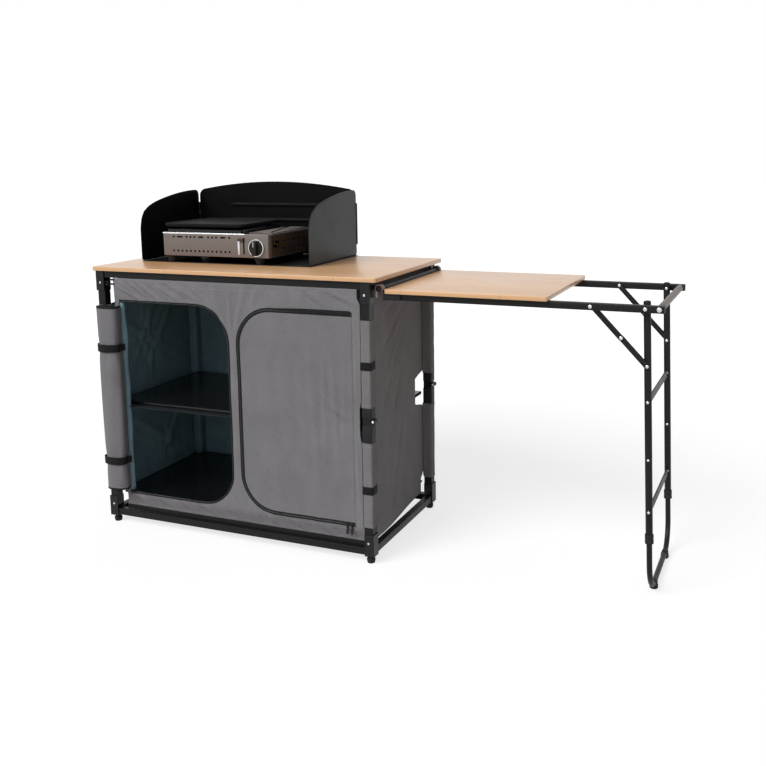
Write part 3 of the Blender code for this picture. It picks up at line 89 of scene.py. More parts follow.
def add_node(tree: bpy.types.NodeTree, kind: str, inputs: dict | None = None, **settings) -> bpy.types.Node:
    """Adds a node with its settings and links.

    Args:
        tree: the node tree.
        kind: the node's type name after "ShaderNode".
        inputs: for each input's name or number, a value, or the output that feeds it.
        settings: the node's own options.

    Returns:
        The new node.
    """
    node = tree.nodes.new("ShaderNode" + kind)
    for name, value in settings.items():
        setattr(node, name, value)
    for key, value in (inputs or {}).items():
        if isinstance(value, bpy.types.NodeSocket):
            tree.links.new(value, node.inputs[key])
        else:
            node.inputs[key].default_value = value
    return node


def blend_colours(tree: bpy.types.NodeTree, factor, first, second,
                  mode: str = "MIX") -> bpy.types.NodeSocket:
    """Mixes two colours and gives the result's socket."""
    node = add_node(tree, "Mix", {0: factor, 6: first, 7: second}, data_type="RGBA", blend_type=mode)
    return node.outputs[2]


def maths(tree: bpy.types.NodeTree, operation: str, first, second=0.0) -> bpy.types.NodeSocket:
    """One step of arithmetic on sockets or numbers."""
    return add_node(tree, "Math", {0: first, 1: second}, operation=operation).outputs[0]


def seen_directly(tree: bpy.types.NodeTree) -> bpy.types.NodeSocket:
    """Tells looks from lighting.

    Args:
        tree: the node tree.

    Returns:
        1 where the camera, a reflection or a clear surface looks, and 0 for light that falls on things.
    """
    path = add_node(tree, "LightPath").outputs
    either = maths(tree, "MAXIMUM", path["Is Camera Ray"], path["Is Glossy Ray"])
    return maths(tree, "MAXIMUM", either, path["Is Transmission Ray"])


# Finishes


@dataclass(frozen=True)
class Finish:
    """A real surface finish. Each kind of finish paints its own nodes."""

    name: str

    def material(self) -> bpy.types.Material:
        """Makes the material once, and then gives the same one."""
        found = bpy.data.materials.get(self.name)
        if found:
            return found
        made = bpy.data.materials.new(self.name)
        made.use_nodes = True
        self.paint(made.node_tree, made.node_tree.nodes["Principled BSDF"])
        return made

    def paint(self, tree: bpy.types.NodeTree, shader: bpy.types.Node) -> None:
        """Sets the shader's sockets and links its patterns.

        Args:
            tree: the material's node tree.
            shader: its Principled BSDF.
        """
        raise NotImplementedError


def mottle(tree: bpy.types.NodeTree, place, size: float, detail: float = 3.0,
           stretch: tuple[float, float, float] = (1.0, 1.0, 1.0)) -> bpy.types.NodeSocket:
    """Soft cloudy noise.

    Args:
        tree: the node tree.
        place: socket of the place in metres.
        size: width of a cloud in metres.
        detail: how many finer layers it has.
        stretch: how many times longer a cloud is on each axis.

    Returns:
        The noise, around 0.5.
    """
    spread = add_node(tree, "Mapping", {"Vector": place, "Scale": tuple(1 / (size * s) for s in stretch)})
    return add_node(tree, "TexNoise", {"Vector": spread.outputs[0], "Scale": 1.0, "Detail": detail,
                                       "Roughness": 0.55}).outputs[0]


def relief(tree: bpy.types.NodeTree, height, metres: float, under=None) -> bpy.types.NodeSocket:
    """Bump of a surface.

    Args:
        tree: the node tree.
        height: socket of the pattern, from 0 to 1.
        metres: how high 1 stands.
        under: another bump that this one lies on.

    Returns:
        The bumped normal.
    """
    inputs = {"Height": height, "Distance": metres, "Strength": 1.0}
    if under is not None:
        inputs["Normal"] = under
    return add_node(tree, "Bump", inputs).outputs[0]


@dataclass(frozen=True)
class Coating(Finish):
    """A moulded, painted or plated surface: one colour that drifts a little, and a fine grain."""

    colour: str
    drift: str
    roughness: float
    grain: float  # metres across a grain of the surface
    grain_height: float
    metallic: float = 0.0
    specular: float = 0.5
    patch: float = 0.05  # metres across a patch of the colour's drift

    def paint(self, tree: bpy.types.NodeTree, shader: bpy.types.Node) -> None:
        """Patches of a second colour and roughness, over a fine bump of rounded grains.

        Args:
            tree: the material's node tree.
            shader: its Principled BSDF.
        """
        place = add_node(tree, "TexCoord").outputs["Object"]
        patches = mottle(tree, place, self.patch)
        colour = blend_colours(tree, patches, linear(self.colour), linear(self.drift))
        rough = add_node(tree, "MapRange", {0: patches, 1: 0.3, 2: 0.7, 3: self.roughness * 0.88,
                                            4: min(1.0, self.roughness * 1.12)})
        grains = mottle(tree, place, self.grain, 1.0)
        tree.links.new(colour, shader.inputs["Base Color"])
        tree.links.new(rough.outputs[0], shader.inputs["Roughness"])
        tree.links.new(relief(tree, grains, self.grain_height), shader.inputs["Normal"])
        shader.inputs["Metallic"].default_value = self.metallic
        shader.inputs["Specular IOR Level"].default_value = self.specular


@dataclass(frozen=True)
class Canvas(Finish):
    """Plain-woven polyester with a coated back: matt grey, finely flecked, with small puckers."""

    colour: str
    fleck: str
    pitch: float  # metres between threads as drawn
    roughness: float = 0.85
    specular: float = 0.25
    sheen: float = 0.08
    pucker: float = 0.0009  # height of the puckers in metres
    stitch_rows: tuple[float, ...] = ()  # places across the piece, in metres of its UV map
    stitch: float = 0.0045  # metres from stitch to stitch
    stitch_share: float = 0.7  # share of that which the thread covers
    thread_half: float = 0.0006  # half the thread's width as drawn
    thread: str = "#9a999c"
    fleck_size: float = 0.0035
    cloud_size: float = 0.09
    pucker_size: float = 0.030

    def paint(self, tree: bpy.types.NodeTree, shader: bpy.types.Node) -> None:
        """Two wave bands cross as threads, cloudy noise makes flecks and puckers, dashes are stitches.

        Args:
            tree: the material's node tree.
            shader: its Principled BSDF.
        """
        source = add_node(tree, "TexCoord")
        uv, place = source.outputs["UV"], source.outputs["Object"]
        scale = 2 * math.pi / (20 * self.pitch)
        warp = add_node(tree, "TexWave", {"Vector": uv, "Scale": scale}, bands_direction="X")
        weft = add_node(tree, "TexWave", {"Vector": uv, "Scale": scale}, bands_direction="Y")
        weave = maths(tree, "MULTIPLY", warp.outputs["Fac"], weft.outputs["Fac"])
        flecks = mottle(tree, place, self.fleck_size, 2.0)
        clouds = mottle(tree, place, self.cloud_size, 2.0)
        tone = maths(tree, "ADD", maths(tree, "MULTIPLY", flecks, 0.6), maths(tree, "MULTIPLY", clouds, 0.4))
        spread = add_node(tree, "MapRange", {0: tone, 1: 0.36, 2: 0.64, 3: 0.0, 4: 1.0})
        colour = blend_colours(tree, spread.outputs[0], linear(self.colour), linear(self.fleck))
        colour = blend_colours(tree, maths(tree, "MULTIPLY", weave, 0.10), colour,
                               linear("#ffffff"), "SOFT_LIGHT")
        folds = relief(tree, mottle(tree, place, self.pucker_size, 2.0, (1.0, 1.0, 1.7)), self.pucker)
        spread = add_node(tree, "Mapping", {"Vector": place, "Rotation": (0.3, 0.5, 0.2),
                                            "Scale": (14.0, 14.0, 7.0)})
        creases = add_node(tree, "TexNoise", {"Vector": spread.outputs[0], "Scale": 1.0, "Detail": 3.0,
                                              "Roughness": 0.5}, noise_type="RIDGED_MULTIFRACTAL").outputs[0]
        folds = relief(tree, creases, self.pucker * 0.5, folds)
        height = weave
        if self.stitch_rows:
            split = add_node(tree, "SeparateXYZ", {0: uv})
            along = maths(tree, "FRACT", maths(tree, "DIVIDE", split.outputs[0], self.stitch))
            dash = maths(tree, "LESS_THAN", along, self.stitch_share)
            rows = 0.0
            for row in self.stitch_rows:
                off = maths(tree, "ABSOLUTE", maths(tree, "SUBTRACT", split.outputs[1], row))
                rows = maths(tree, "MAXIMUM", maths(tree, "LESS_THAN", off, self.thread_half), rows)
            stitches = maths(tree, "MULTIPLY", dash, rows)
            shown = maths(tree, "MULTIPLY", stitches, 0.5)
            colour = blend_colours(tree, shown, colour, linear(self.thread))
            height = maths(tree, "ADD", weave, maths(tree, "MULTIPLY", stitches, 2.0))
        tree.links.new(colour, shader.inputs["Base Color"])
        tree.links.new(relief(tree, height, 0.00018, folds), shader.inputs["Normal"])
        shader.inputs["Roughness"].default_value = self.roughness
        shader.inputs["Specular IOR Level"].default_value = self.specular
        shader.inputs["Sheen Weight"].default_value = self.sheen


@dataclass(frozen=True)
class Webbing(Finish):
    """Woven strap: black yarn in ribs across the strap, with a painted satin sheen: the ribs' crowns are
    painted lighter.
    """

    colour: str
    rib: float  # metres between ribs
    # colour of the painted sheen on the ribs' crowns
    crown: str = "#1d1d1e"
    roughness: float = 0.7
    specular: float = 0.15

    def paint(self, tree: bpy.types.NodeTree, shader: bpy.types.Node) -> None:
        """Wave bands along the strap's length as ribs, crossed by finer ones as yarns.

        Args:
            tree: the material's node tree.
            shader: its Principled BSDF.
        """
        uv = add_node(tree, "TexCoord").outputs["UV"]
        ribs = add_node(tree, "TexWave", {"Vector": uv, "Scale": 2 * math.pi / (20 * self.rib)},
                        bands_direction="Y")
        yarns = add_node(tree, "TexWave", {"Vector": uv, "Scale": 2 * math.pi / (20 * self.rib * 0.6)},
                         bands_direction="X")
        height = maths(tree, "ADD", ribs.outputs["Fac"], maths(tree, "MULTIPLY", yarns.outputs["Fac"], 0.4))
        # Painted sheen: the higher a rib stands, the more of the lighter crown colour it gets.
        colour = blend_colours(tree, maths(tree, "MULTIPLY", height, 0.5), linear(self.colour),
                               linear(self.crown))
        tree.links.new(colour, shader.inputs["Base Color"])
        tree.links.new(relief(tree, height, 0.0003), shader.inputs["Normal"])
        shader.inputs["Roughness"].default_value = self.roughness
        shader.inputs["Specular IOR Level"].default_value = self.specular


@dataclass(frozen=True)
class Bamboo(Finish):
    """Laminated bamboo under a satin lacquer: strips side by side, fine fibres, and darker nodes."""

    pale: str
    deep: str
    node: str
    strip: float = 0.021  # metres across one strip
    node_gap: float = 0.27  # metres between the nodes of a strip
    node_half: float = 0.009  # how far a node's mark fades out, as a share of that gap
    coat: float = 0.35
    roughness: float = 0.42
    coat_roughness: float = 0.28

    def paint(self, tree: bpy.types.NodeTree, shader: bpy.types.Node) -> None:
        """Strips are steps of Y, each with its own tone and nodes; fibres are noise drawn long in X.

        Args:
            tree: the material's node tree.
            shader: its Principled BSDF.
        """
        place = add_node(tree, "TexCoord").outputs["Object"]
        split = add_node(tree, "SeparateXYZ", {0: place})
        strip = maths(tree, "FLOOR", maths(tree, "DIVIDE", split.outputs[1], self.strip))
        chance = add_node(tree, "TexWhiteNoise", {"W": strip}, noise_dimensions="1D").outputs["Value"]
        fibres = mottle(tree, place, 0.0011, 2.0, (70.0, 1.0, 1.0))
        bands = mottle(tree, place, 0.006, 2.0, (40.0, 1.0, 1.0))
        tone = maths(tree, "ADD", maths(tree, "MULTIPLY", fibres, 0.45),
                     maths(tree, "ADD", maths(tree, "MULTIPLY", bands, 0.35),
                           maths(tree, "MULTIPLY", chance, 0.22)))
        spread = add_node(tree, "MapRange", {0: tone, 1: 0.3, 2: 0.75, 3: 0.0, 4: 1.0})
        colour = blend_colours(tree, spread.outputs[0], linear(self.pale), linear(self.deep))
        along = maths(tree, "ADD", split.outputs[0], maths(tree, "MULTIPLY", chance, 3.1))
        gap = maths(tree, "ABSOLUTE", maths(tree, "SUBTRACT",
                    maths(tree, "FRACT", maths(tree, "DIVIDE", along, self.node_gap)), 0.5))
        mark = add_node(tree, "MapRange", {0: gap, 1: 0.0, 2: self.node_half, 3: 0.42, 4: 0.0})
        colour = blend_colours(tree, mark.outputs[0], colour, linear(self.node))
        edge = maths(tree, "ABSOLUTE", maths(tree, "SUBTRACT",
                     maths(tree, "FRACT", maths(tree, "DIVIDE", split.outputs[1], self.strip)), 0.5))
        joint = add_node(tree, "MapRange", {0: edge, 1: 0.47, 2: 0.5, 3: 0.0, 4: 0.3})
        colour = blend_colours(tree, joint.outputs[0], colour, linear(self.node))
        tree.links.new(colour, shader.inputs["Base Color"])
        tree.links.new(relief(tree, fibres, 0.00005), shader.inputs["Normal"])
        shader.inputs["Roughness"].default_value = self.roughness
        shader.inputs["Specular IOR Level"].default_value = 0.5
        shader.inputs["Coat Weight"].default_value = self.coat
        shader.inputs["Coat Roughness"].default_value = self.coat_roughness


@dataclass(frozen=True)
class BrushedMetal(Finish):
    """Bare or lacquered metal with fine lines along one axis."""

    colour: str
    drift: str
    roughness: float
    stretch: tuple[float, float, float]
    line: float = 0.0006  # metres across a brushed line as drawn
    metallic: float = 1.0

    def paint(self, tree: bpy.types.NodeTree, shader: bpy.types.Node) -> None:
        """Noise drawn long on one axis sets the lines' tone, roughness and bump.

        Args:
            tree: the material's node tree.
            shader: its Principled BSDF.
        """
        place = add_node(tree, "TexCoord").outputs["Object"]
        lines = mottle(tree, place, self.line, 2.0, self.stretch)
        colour = blend_colours(tree, lines, linear(self.colour), linear(self.drift))
        rough = add_node(tree, "MapRange", {0: lines, 1: 0.3, 2: 0.7, 3: self.roughness * 0.85,
                                            4: self.roughness * 1.2})
        tree.links.new(colour, shader.inputs["Base Color"])
        tree.links.new(rough.outputs[0], shader.inputs["Roughness"])
        tree.links.new(relief(tree, lines, 0.00003), shader.inputs["Normal"])
        shader.inputs["Metallic"].default_value = self.metallic


# 600-denier polyester, plain-woven and dyed grey. Threads are 0.6 mm apart and are drawn at 1.4 mm to show.
CUPBOARD_CANVAS = Canvas("polyester_canvas", "#6c6b6f", "#7a797d", 0.0014, pucker=0.0018,
                         stitch_rows=(0.0585, 0.0945, 0.7475))
# The same cloth on both doors, a shade darker and with fewer puckers.
DOOR_CANVAS = Canvas("polyester_canvas_door", "#6a696d", "#777679", 0.0014, pucker=0.0016)
# The same cloth drawn tight round the legs, with a row of stitches along each hem.
SLEEVE_CANVAS = Canvas("polyester_canvas_sleeve", "#6a696b", "#777677", 0.0014, stitch_rows=(0.008, 0.232))
# The canvas's polyurethane-coated back: a dusty slate blue, painted lighter to stand in for the light inside
# the cupboard, that shines a little on its folds.
LINING = Canvas("coated_canvas_back", "#5f7985", "#74909c", 0.0014, roughness=0.5, specular=0.3, sheen=0.0,
                pucker=0.0022)
# The same coated cloth on the cupboard's floor and shelf, painted nearly black as painted shade inside the
# cupboard.
SHADED_SHELF_LINING = Canvas("coated_canvas_shelf", "#15191c", "#1c2125", 0.0014, roughness=0.5, specular=0.3,
                      sheen=0.0)
# Grosgrain ribbon over raw edges and over the zip: dull black with fine ribs across.
BINDING = Webbing("grosgrain_binding", "#1b1b1c", 0.0016)
# Nylon webbing of the door ties: deeper black, with coarser ribs.
STRAP = Webbing("nylon_webbing", "#0c0c0d", 0.0018)
# Nylon coil zip: flat matt tape and a slightly shinier coil.
ZIP_TAPE = Webbing("zip_tape", "#1c1c1e", 0.0012)
ZIP_COIL = Coating("nylon_zip_coil", "#1f1f21", "#2b2b2d", 0.4, 0.0008, 0.00005)
# Laminated bamboo boards: honey-coloured strips under a clear satin lacquer.
BAMBOO = Bamboo("lacquered_bamboo", "#d9ad80", "#c39263", "#9a6c42", coat=0.7)
# Powder-coated steel tube: black with a faint orange-peel skin that softens its reflections.
POWDER_COAT = Coating("black_powder_coat", "#131212", "#191818", 0.42, 0.0012, 0.00006, specular=0.18)
# Pressed sheet brackets in a satin black.
BRACKET_PAINT = Coating("satin_black_paint", "#151516", "#1b1b1c", 0.38, 0.0010, 0.00004, specular=0.22)
# Sheet enamel of the windshield: smooth black with soft reflections.
SHIELD_PAINT = Coating("black_sheet_enamel", "#0f0f10", "#131314", 0.33, 0.0012, 0.00003, specular=0.20)
# The same enamel on the faces towards the stove, painted darker and nearly without reflection as painted
# shade inside the windshield.
SHADED_SHIELD_ENAMEL = Coating("dull_sheet_enamel", "#080809", "#0c0c0d", 0.50, 0.0012, 0.00003, specular=0.06)
# Injection-moulded polypropylene: dull black with a fine leather grain.
MOULDED_BLACK = Coating("moulded_polypropylene", "#151516", "#1b1b1c", 0.55, 0.0012, 0.00008, specular=0.22)
# Moulded rubber feet: a matt, slightly dusty black with a coarse grain.
RUBBER = Coating("moulded_rubber", "#121212", "#1b1a19", 0.8, 0.0018, 0.00012, specular=0.3)
# Zinc-plated steel rivets: bright grey with soft highlights.
ZINC = Coating("zinc_plate", "#b9bbbf", "#d4d5d8", 0.28, 0.002, 0.00002, metallic=1.0)
# Bright chrome on the knob: mirror-like, with hardly any grain.
CHROME = Coating("bright_chrome", "#dcdde0", "#eceded", 0.12, 0.002, 0.00001, metallic=1.0)
# Turned brass of the gas fittings: warm yellow and half shiny.
BRASS = Coating("brass_jet", "#c9a25a", "#ddb970", 0.3, 0.002, 0.00002, metallic=1.0)
# Brown-grey lacquer over steel, as on the stove's case: warm, finely brushed and half shiny.
STOVE_LACQUER = BrushedMetal("lacquered_stove_steel", "#675f5b", "#736a66", 0.42, (60.0, 1.0, 1.0),
                             metallic=0.35)
# Polished steel lip and strip on the stove's front: pale, with fine lines along X.
STOVE_TRIM = BrushedMetal("polished_steel_trim", "#cfd1d6", "#e6e7ea", 0.2, (60.0, 1.0, 1.0))
# Brown enamel of the sheet in the stove's right side: half matt.
STOVE_SIDE = Coating("dark_stove_enamel", "#453930", "#51443a", 0.42, 0.0012, 0.00004, specular=0.25)
# Vitreous enamel of the stove's top, tray and pan supports: deep black, smooth and glossy.
BLACK_ENAMEL = Coating("black_vitreous_enamel", "#101012", "#151517", 0.25, 0.003, 0.00003, specular=0.3)
# Steel near the flame, burnt to a dull dark brown.
BURNER_IRON = Coating("burnt_steel", "#2b2623", "#3d352f", 0.5, 0.001, 0.00005, metallic=0.8)
# Cast aluminium under a non-stick coat: near black with a fine speckle.
NON_STICK = Coating("non_stick_coat", "#0c0c0d", "#131314", 0.55, 0.0014, 0.00012, specular=0.09, patch=0.004)
# Phenolic plastic of the lock lever: dark red-brown and half shiny.
LEVER_PLASTIC = Coating("brown_phenolic", "#2a1714", "#38201b", 0.45, 0.0012, 0.00005)
# Steel of the hook plates, brushed upright, in a warm brown that is partly painted reflection of the bamboo
# boards.
HOOK_STEEL = BrushedMetal("browned_steel", "#5a483e", "#7b685d", 0.32, (1.0, 1.0, 40.0), metallic=0.8)
# The end tube's darker brown lacquer, its brown partly painted reflection of the bamboo boards, with its
# lines along the tube.
HOOK_STEEL_ROUND = BrushedMetal("browned_steel_tube", "#3a2d26", "#4c3c33", 0.4, (1.0, 60.0, 1.0),
                                metallic=0.25)
# Melamine-faced shelf boards: glossy black that mirrors what stands on it.
MELAMINE = Coating("black_melamine", "#0d0d0e", "#131314", 0.2, 0.003, 0.00001, specular=0.35)
# Painted shade for what shows through vents, slots and ports: a black that gives nearly no light back.
HOLE_SHADE = Coating("unlit_hollow", "#050505", "#090909", 0.9, 0.002, 0.00002, specular=0.1)


# Shapes


class Plane(Enum):
    """The two axes that an outline is drawn on, and the axis that it is raised along."""

    PLAN = (0, 1, 2)
    FRONT = (0, 2, 1)
    SIDE = (1, 2, 0)

    def place(self, outline: Array, height) -> Array:
        """Puts outline points at a height.

        Args:
            outline: points (..., 2) on the first two axes.
            height: one height, or one for each point.

        Returns:
            Points (..., 3).
        """
        outline = np.asarray(outline, float)
        shape = np.broadcast_shapes(outline.shape[:-1], np.shape(height))
        points = np.empty((*shape, 3))
        first, second, third = self.value
        points[..., first] = outline[..., 0]
        points[..., second] = outline[..., 1]
        points[..., third] = height
        return points


@dataclass
class Shape:
    """Grids of points (rows, columns, 3 or 5 with a UV place) and flat faces that make one mesh."""

    grids: list[Array] = field(default_factory=list)
    flats: list[Array] = field(default_factory=list)

    def __add__(self, other: "Shape") -> "Shape":
        """Both shapes in one mesh."""
        return Shape(self.grids + other.grids, self.flats + other.flats)

    def moved(self, transform: Matrix) -> "Shape":
        """Turns and moves the shape.

        Args:
            transform: a 4 by 4 matrix.

        Returns:
            The new shape.
        """
        matrix = np.array(transform)

        def turn(points: Array) -> Array:
            """Applies the matrix to the first three values of each point."""
            there = points[..., :3] @ matrix[:3, :3].T + matrix[:3, 3]
            return np.concatenate([there, points[..., 3:]], -1)
        return Shape([turn(g) for g in self.grids], [turn(f) for f in self.flats])


def joined(shapes: Sequence[Shape]) -> Shape:
    """Many shapes in one mesh."""
    return sum(shapes, Shape())


def rectangle(x0: float, x1: float, y0: float, y1: float) -> Array:
    """Corners of a rectangle, counter-clockwise."""
    return np.array([(x0, y0), (x1, y0), (x1, y1), (x0, y1)])


def rounded(corners: Array, radius, steps: int = 6) -> Array:
    """Rounds an outline's corners.

    Each corner becomes an arc that touches both its sides: the radius vectors at the two touching points are
    turned into each other at an even rate.

    Args:
        corners: the outline's corners, (N, 2).
        radius: one radius, or one for each corner.
        steps: pieces in each arc.

    Returns:
        The closed outline, counter-clockwise, without repeated points.
    """
    p = np.asarray(corners, float)
    r = np.broadcast_to(np.asarray(radius, float), len(p))[:, None] + 1e-9
    u = np.roll(p, 1, 0) - p
    v = np.roll(p, -1, 0) - p
    u /= np.linalg.norm(u, axis=1, keepdims=True)
    v /= np.linalg.norm(v, axis=1, keepdims=True)
    half = np.arccos(np.clip((u * v).sum(1, keepdims=True), -1, 1)) / 2
    half = np.minimum(half, np.pi / 2 - 1e-4)
    way = (u + v) / np.maximum(np.linalg.norm(u + v, axis=1, keepdims=True), 1e-9)
    centre = p + way * r / np.sin(half)
    start = p + u * r / np.tan(half) - centre
    end = p + v * r / np.tan(half) - centre
    turn = (np.pi - 2 * half)[:, None]
    share = np.linspace(0, 1, steps + 1)[None, :, None]
    arcs = centre[:, None] + (np.sin((1 - share) * turn) * start[:, None]
                              + np.sin(share * turn) * end[:, None]) / np.sin(turn)
    return tidy_outline(arcs.reshape(-1, 2))


def tidy_outline(outline: Array) -> Array:
    """Drops repeated points of a closed outline and makes it run counter-clockwise.

    Args:
        outline: points (K, 2).

    Returns:
        The outline, with at most K points.
    """
    outline = np.asarray(outline, float)
    outline = outline[np.linalg.norm(outline - np.roll(outline, 1, 0), axis=1) > SAME_POINT]
    after = np.roll(outline, -1, 0)
    area = (outline[:, 0] * after[:, 1] - outline[:, 1] * after[:, 0]).sum()
    return outline if area > 0 else outline[::-1]


def evenly(line: Array, count: int, closed: bool = False) -> Array:
    """Points spaced evenly by distance along a line.

    Args:
        line: points (N, D).
        count: how many points to give.
        closed: whether the line goes back to its start, which is then not repeated.

    Returns:
        Points (count, D).
    """
    line = np.vstack([line, line[:1]]) if closed else np.asarray(line, float)
    run = np.concatenate([[0], np.cumsum(np.linalg.norm(np.diff(line, axis=0), axis=1))])
    at = np.linspace(0, run[-1], count + 1)[:-1] if closed else np.linspace(0, run[-1], count)
    return np.stack([np.interp(at, run, line[:, k]) for k in range(line.shape[1])], -1)


def inset(outline: Array, distances: Array) -> Array:
    """Moves a closed counter-clockwise outline inwards by each distance, keeping its sides parallel.

    Args:
        outline: points (K, 2).
        distances: how far in, (R,).

    Returns:
        Outlines (R, K, 2).
    """
    back = outline - np.roll(outline, 1, 0)
    fore = np.roll(outline, -1, 0) - outline
    back /= np.linalg.norm(back, axis=1, keepdims=True)
    fore /= np.linalg.norm(fore, axis=1, keepdims=True)
    first = np.stack([-back[:, 1], back[:, 0]], -1)
    second = np.stack([-fore[:, 1], fore[:, 0]], -1)
    mitre = (first + second) / np.maximum(1 + (first * second).sum(1, keepdims=True), 0.3)
    return outline[None] + np.asarray(distances)[:, None, None] * mitre[None]


def round_edge(low: float, high: float, edge: float, steps: int = 3) -> tuple[Array, Array]:
    """Section of a plate's rim, with a quarter circle at each edge.

    Args:
        low: height of the lower face.
        high: height of the upper face.
        edge: the circles' radius.
        steps: pieces in each.

    Returns:
        How far in and how high each point is.
    """
    turn = np.linspace(0, np.pi / 2, steps + 1)
    inwards = np.concatenate([edge * (1 - np.sin(turn)), edge * (1 - np.cos(turn))])
    heights = np.concatenate([low + edge * (1 - np.cos(turn)), high - edge * (1 - np.sin(turn))])
    return inwards, heights


def ringed(plane: Plane, outline: Array, inwards: Array, heights: Array, capped: bool = True) -> Shape:
    """Carries a section round an outline.

    Args:
        plane: where the outline lies.
        outline: closed counter-clockwise outline (K, 2).
        inwards: how far in each point of the section is, (R,).
        heights: how high each is on the third axis, (R,).
        capped: whether flat faces close the first and the last ring.

    Returns:
        The shape.
    """
    rings = plane.place(inset(outline, inwards), np.asarray(heights)[:, None])
    return Shape([np.concatenate([rings, rings[:, :1]], 1)], [rings[0], rings[-1]] if capped else [])


def plate(plane: Plane, outline: Array, low: float, high: float, edge: float = 0.0006,
          steps: int = 3) -> Shape:
    """Flat plate with rounded edges: its rim's section carried round the outline, closed by two flat faces.

    Args:
        plane: where the outline lies.
        outline: closed outline (K, 2).
        low: one face's place on the third axis.
        high: the other face's place.
        edge: radius of the rim's edges.
        steps: pieces in each quarter circle.

    Returns:
        A closed shape.
    """
    outline = tidy_outline(outline)
    inwards, heights = round_edge(low, high, min(edge, (high - low) / 2 - 1e-5), steps)
    return ringed(plane, outline, inwards, heights)


def pierced_plate(plane: Plane, outer: Array, hole: Array, low: float, high: float) -> Shape:
    """Plate with one hole: bands between the hole and the outline on both faces, joined by both rims.

    Args:
        plane: where the outlines lie.
        outer: points round the plate.
        hole: the hole's outline.
        low: one face's place on the third axis.
        high: the other face's place.

    Returns:
        A closed shape.
    """
    inner = rays(hole, outer)
    rows = [(inner, low), (outer, low), (outer, high), (inner, high), (inner, low)]
    grid = np.stack([plane.place(line, height) for line, height in rows])
    return Shape([np.concatenate([grid, grid[:, :1]], 1)])


def box_points(corners: Array, spacing: float = 0.006) -> Array:
    """Points round an outline, with its corners among them.

    Args:
        corners: the outline (K, 2).
        spacing: the widest gap between two points.

    Returns:
        The points, in the corners' order.
    """
    sides = []
    for start, end in zip(corners, np.roll(corners, -1, 0)):
        count = int(math.ceil(np.linalg.norm(end - start) / spacing))
        sides.append(start + (end - start) * np.linspace(0, 1, count + 1)[:-1, None])
    return np.vstack(sides)


def rays(inner: Array, outer: Array) -> Array:
    """Points where rays from the middle of a closed outline cross it.

    Args:
        inner: the outline (K, 2).
        outer: points (P, 2) that the rays run to.

    Returns:
        One point of the outline for each ray, (P, 2).
    """
    middle = (inner.min(0) + inner.max(0)) / 2
    dense = evenly(inner, 6000, True) - middle
    turn = np.arctan2(dense[:, 1], dense[:, 0])
    order = np.argsort(turn)
    angles = np.arctan2(outer[:, 1] - middle[1], outer[:, 0] - middle[0])
    return np.stack([np.interp(angles, turn[order], dense[order, k], period=2 * np.pi)
                     for k in (0, 1)], -1) + middle


def carried(path: Array, profile: Array, up, closed: bool = False) -> Shape:
    """Carries a closed profile along a path.

    At each point of the path the profile's first value is laid out sideways, which is the path's direction
    crossed with up, and its second value is laid out along up.

    Args:
        path: points (P, 3).
        profile: points (K, 2), or (P, K, 2) where it changes along the path.
        up: one direction, or one for each point of the path.
        closed: whether the path goes back to its start. An open one is closed by flat faces.

    Returns:
        The shape, with UV places in metres round the profile and along the path.
    """
    path = np.asarray(path, float)
    if closed:
        along = np.roll(path, -1, 0) - np.roll(path, 1, 0)
    else:
        along = np.gradient(path, axis=0)
    along /= np.linalg.norm(along, axis=1, keepdims=True)
    up = np.broadcast_to(np.asarray(up, float), path.shape)
    side = np.cross(along, up)
    side /= np.linalg.norm(side, axis=1, keepdims=True)
    profile = np.broadcast_to(profile, (len(path), *np.shape(profile)[-2:]))
    rings = path[:, None] + profile[..., :1] * side[:, None] + profile[..., 1:] * up[:, None]
    if closed:
        rings = np.concatenate([rings, rings[:1]])
    wrapped = np.concatenate([rings, rings[:, :1]], 1)
    around = np.concatenate([[0], np.cumsum(np.linalg.norm(np.diff(wrapped[0], axis=0), axis=1))])
    steps = np.linalg.norm(np.diff(wrapped.mean(1), axis=0), axis=1)
    run = np.concatenate([[0], np.cumsum(steps)])
    uv = np.stack(np.broadcast_arrays(around[None, :], run[:, None]), -1)
    flats = [] if closed else [rings[0], rings[-1]]
    return Shape([np.concatenate([wrapped, uv], -1)], flats)


def ring_profile(radius: float, sides: int = 24) -> Array:
    """Circle of points round the origin."""
    turn = np.arange(sides) / sides * 2 * np.pi
    return radius * np.stack([np.cos(turn), np.sin(turn)], -1)


def rod(path: Array, radius: float, up, sides: int = 24) -> Shape:
    """Round bar whose radius shrinks by a quarter circle at both ends.

    Args:
        path: its middle line (P, 3).
        radius: the bar's radius.
        up: any direction across the path.
        sides: points in a turn.

    Returns:
        A closed shape.
    """
    edge = 0.0005
    path = np.asarray(path, float)
    first = (path[1] - path[0]) / np.linalg.norm(path[1] - path[0])
    last = (path[-1] - path[-2]) / np.linalg.norm(path[-1] - path[-2])
    turn = np.linspace(0, np.pi / 2, 4)
    start = path[0] + first * edge * (1 - np.cos(turn))[:, None]
    end = path[-1] - last * edge * (1 - np.cos(turn[::-1]))[:, None]
    rim = radius - edge + edge * np.sin(turn)
    radii = np.concatenate([rim, np.full(len(path) - 2, radius), rim[::-1]])
    profile = ring_profile(1.0, sides)[None] * radii[:, None, None]
    return carried(np.vstack([start, path[1:-1], end]), profile, up)


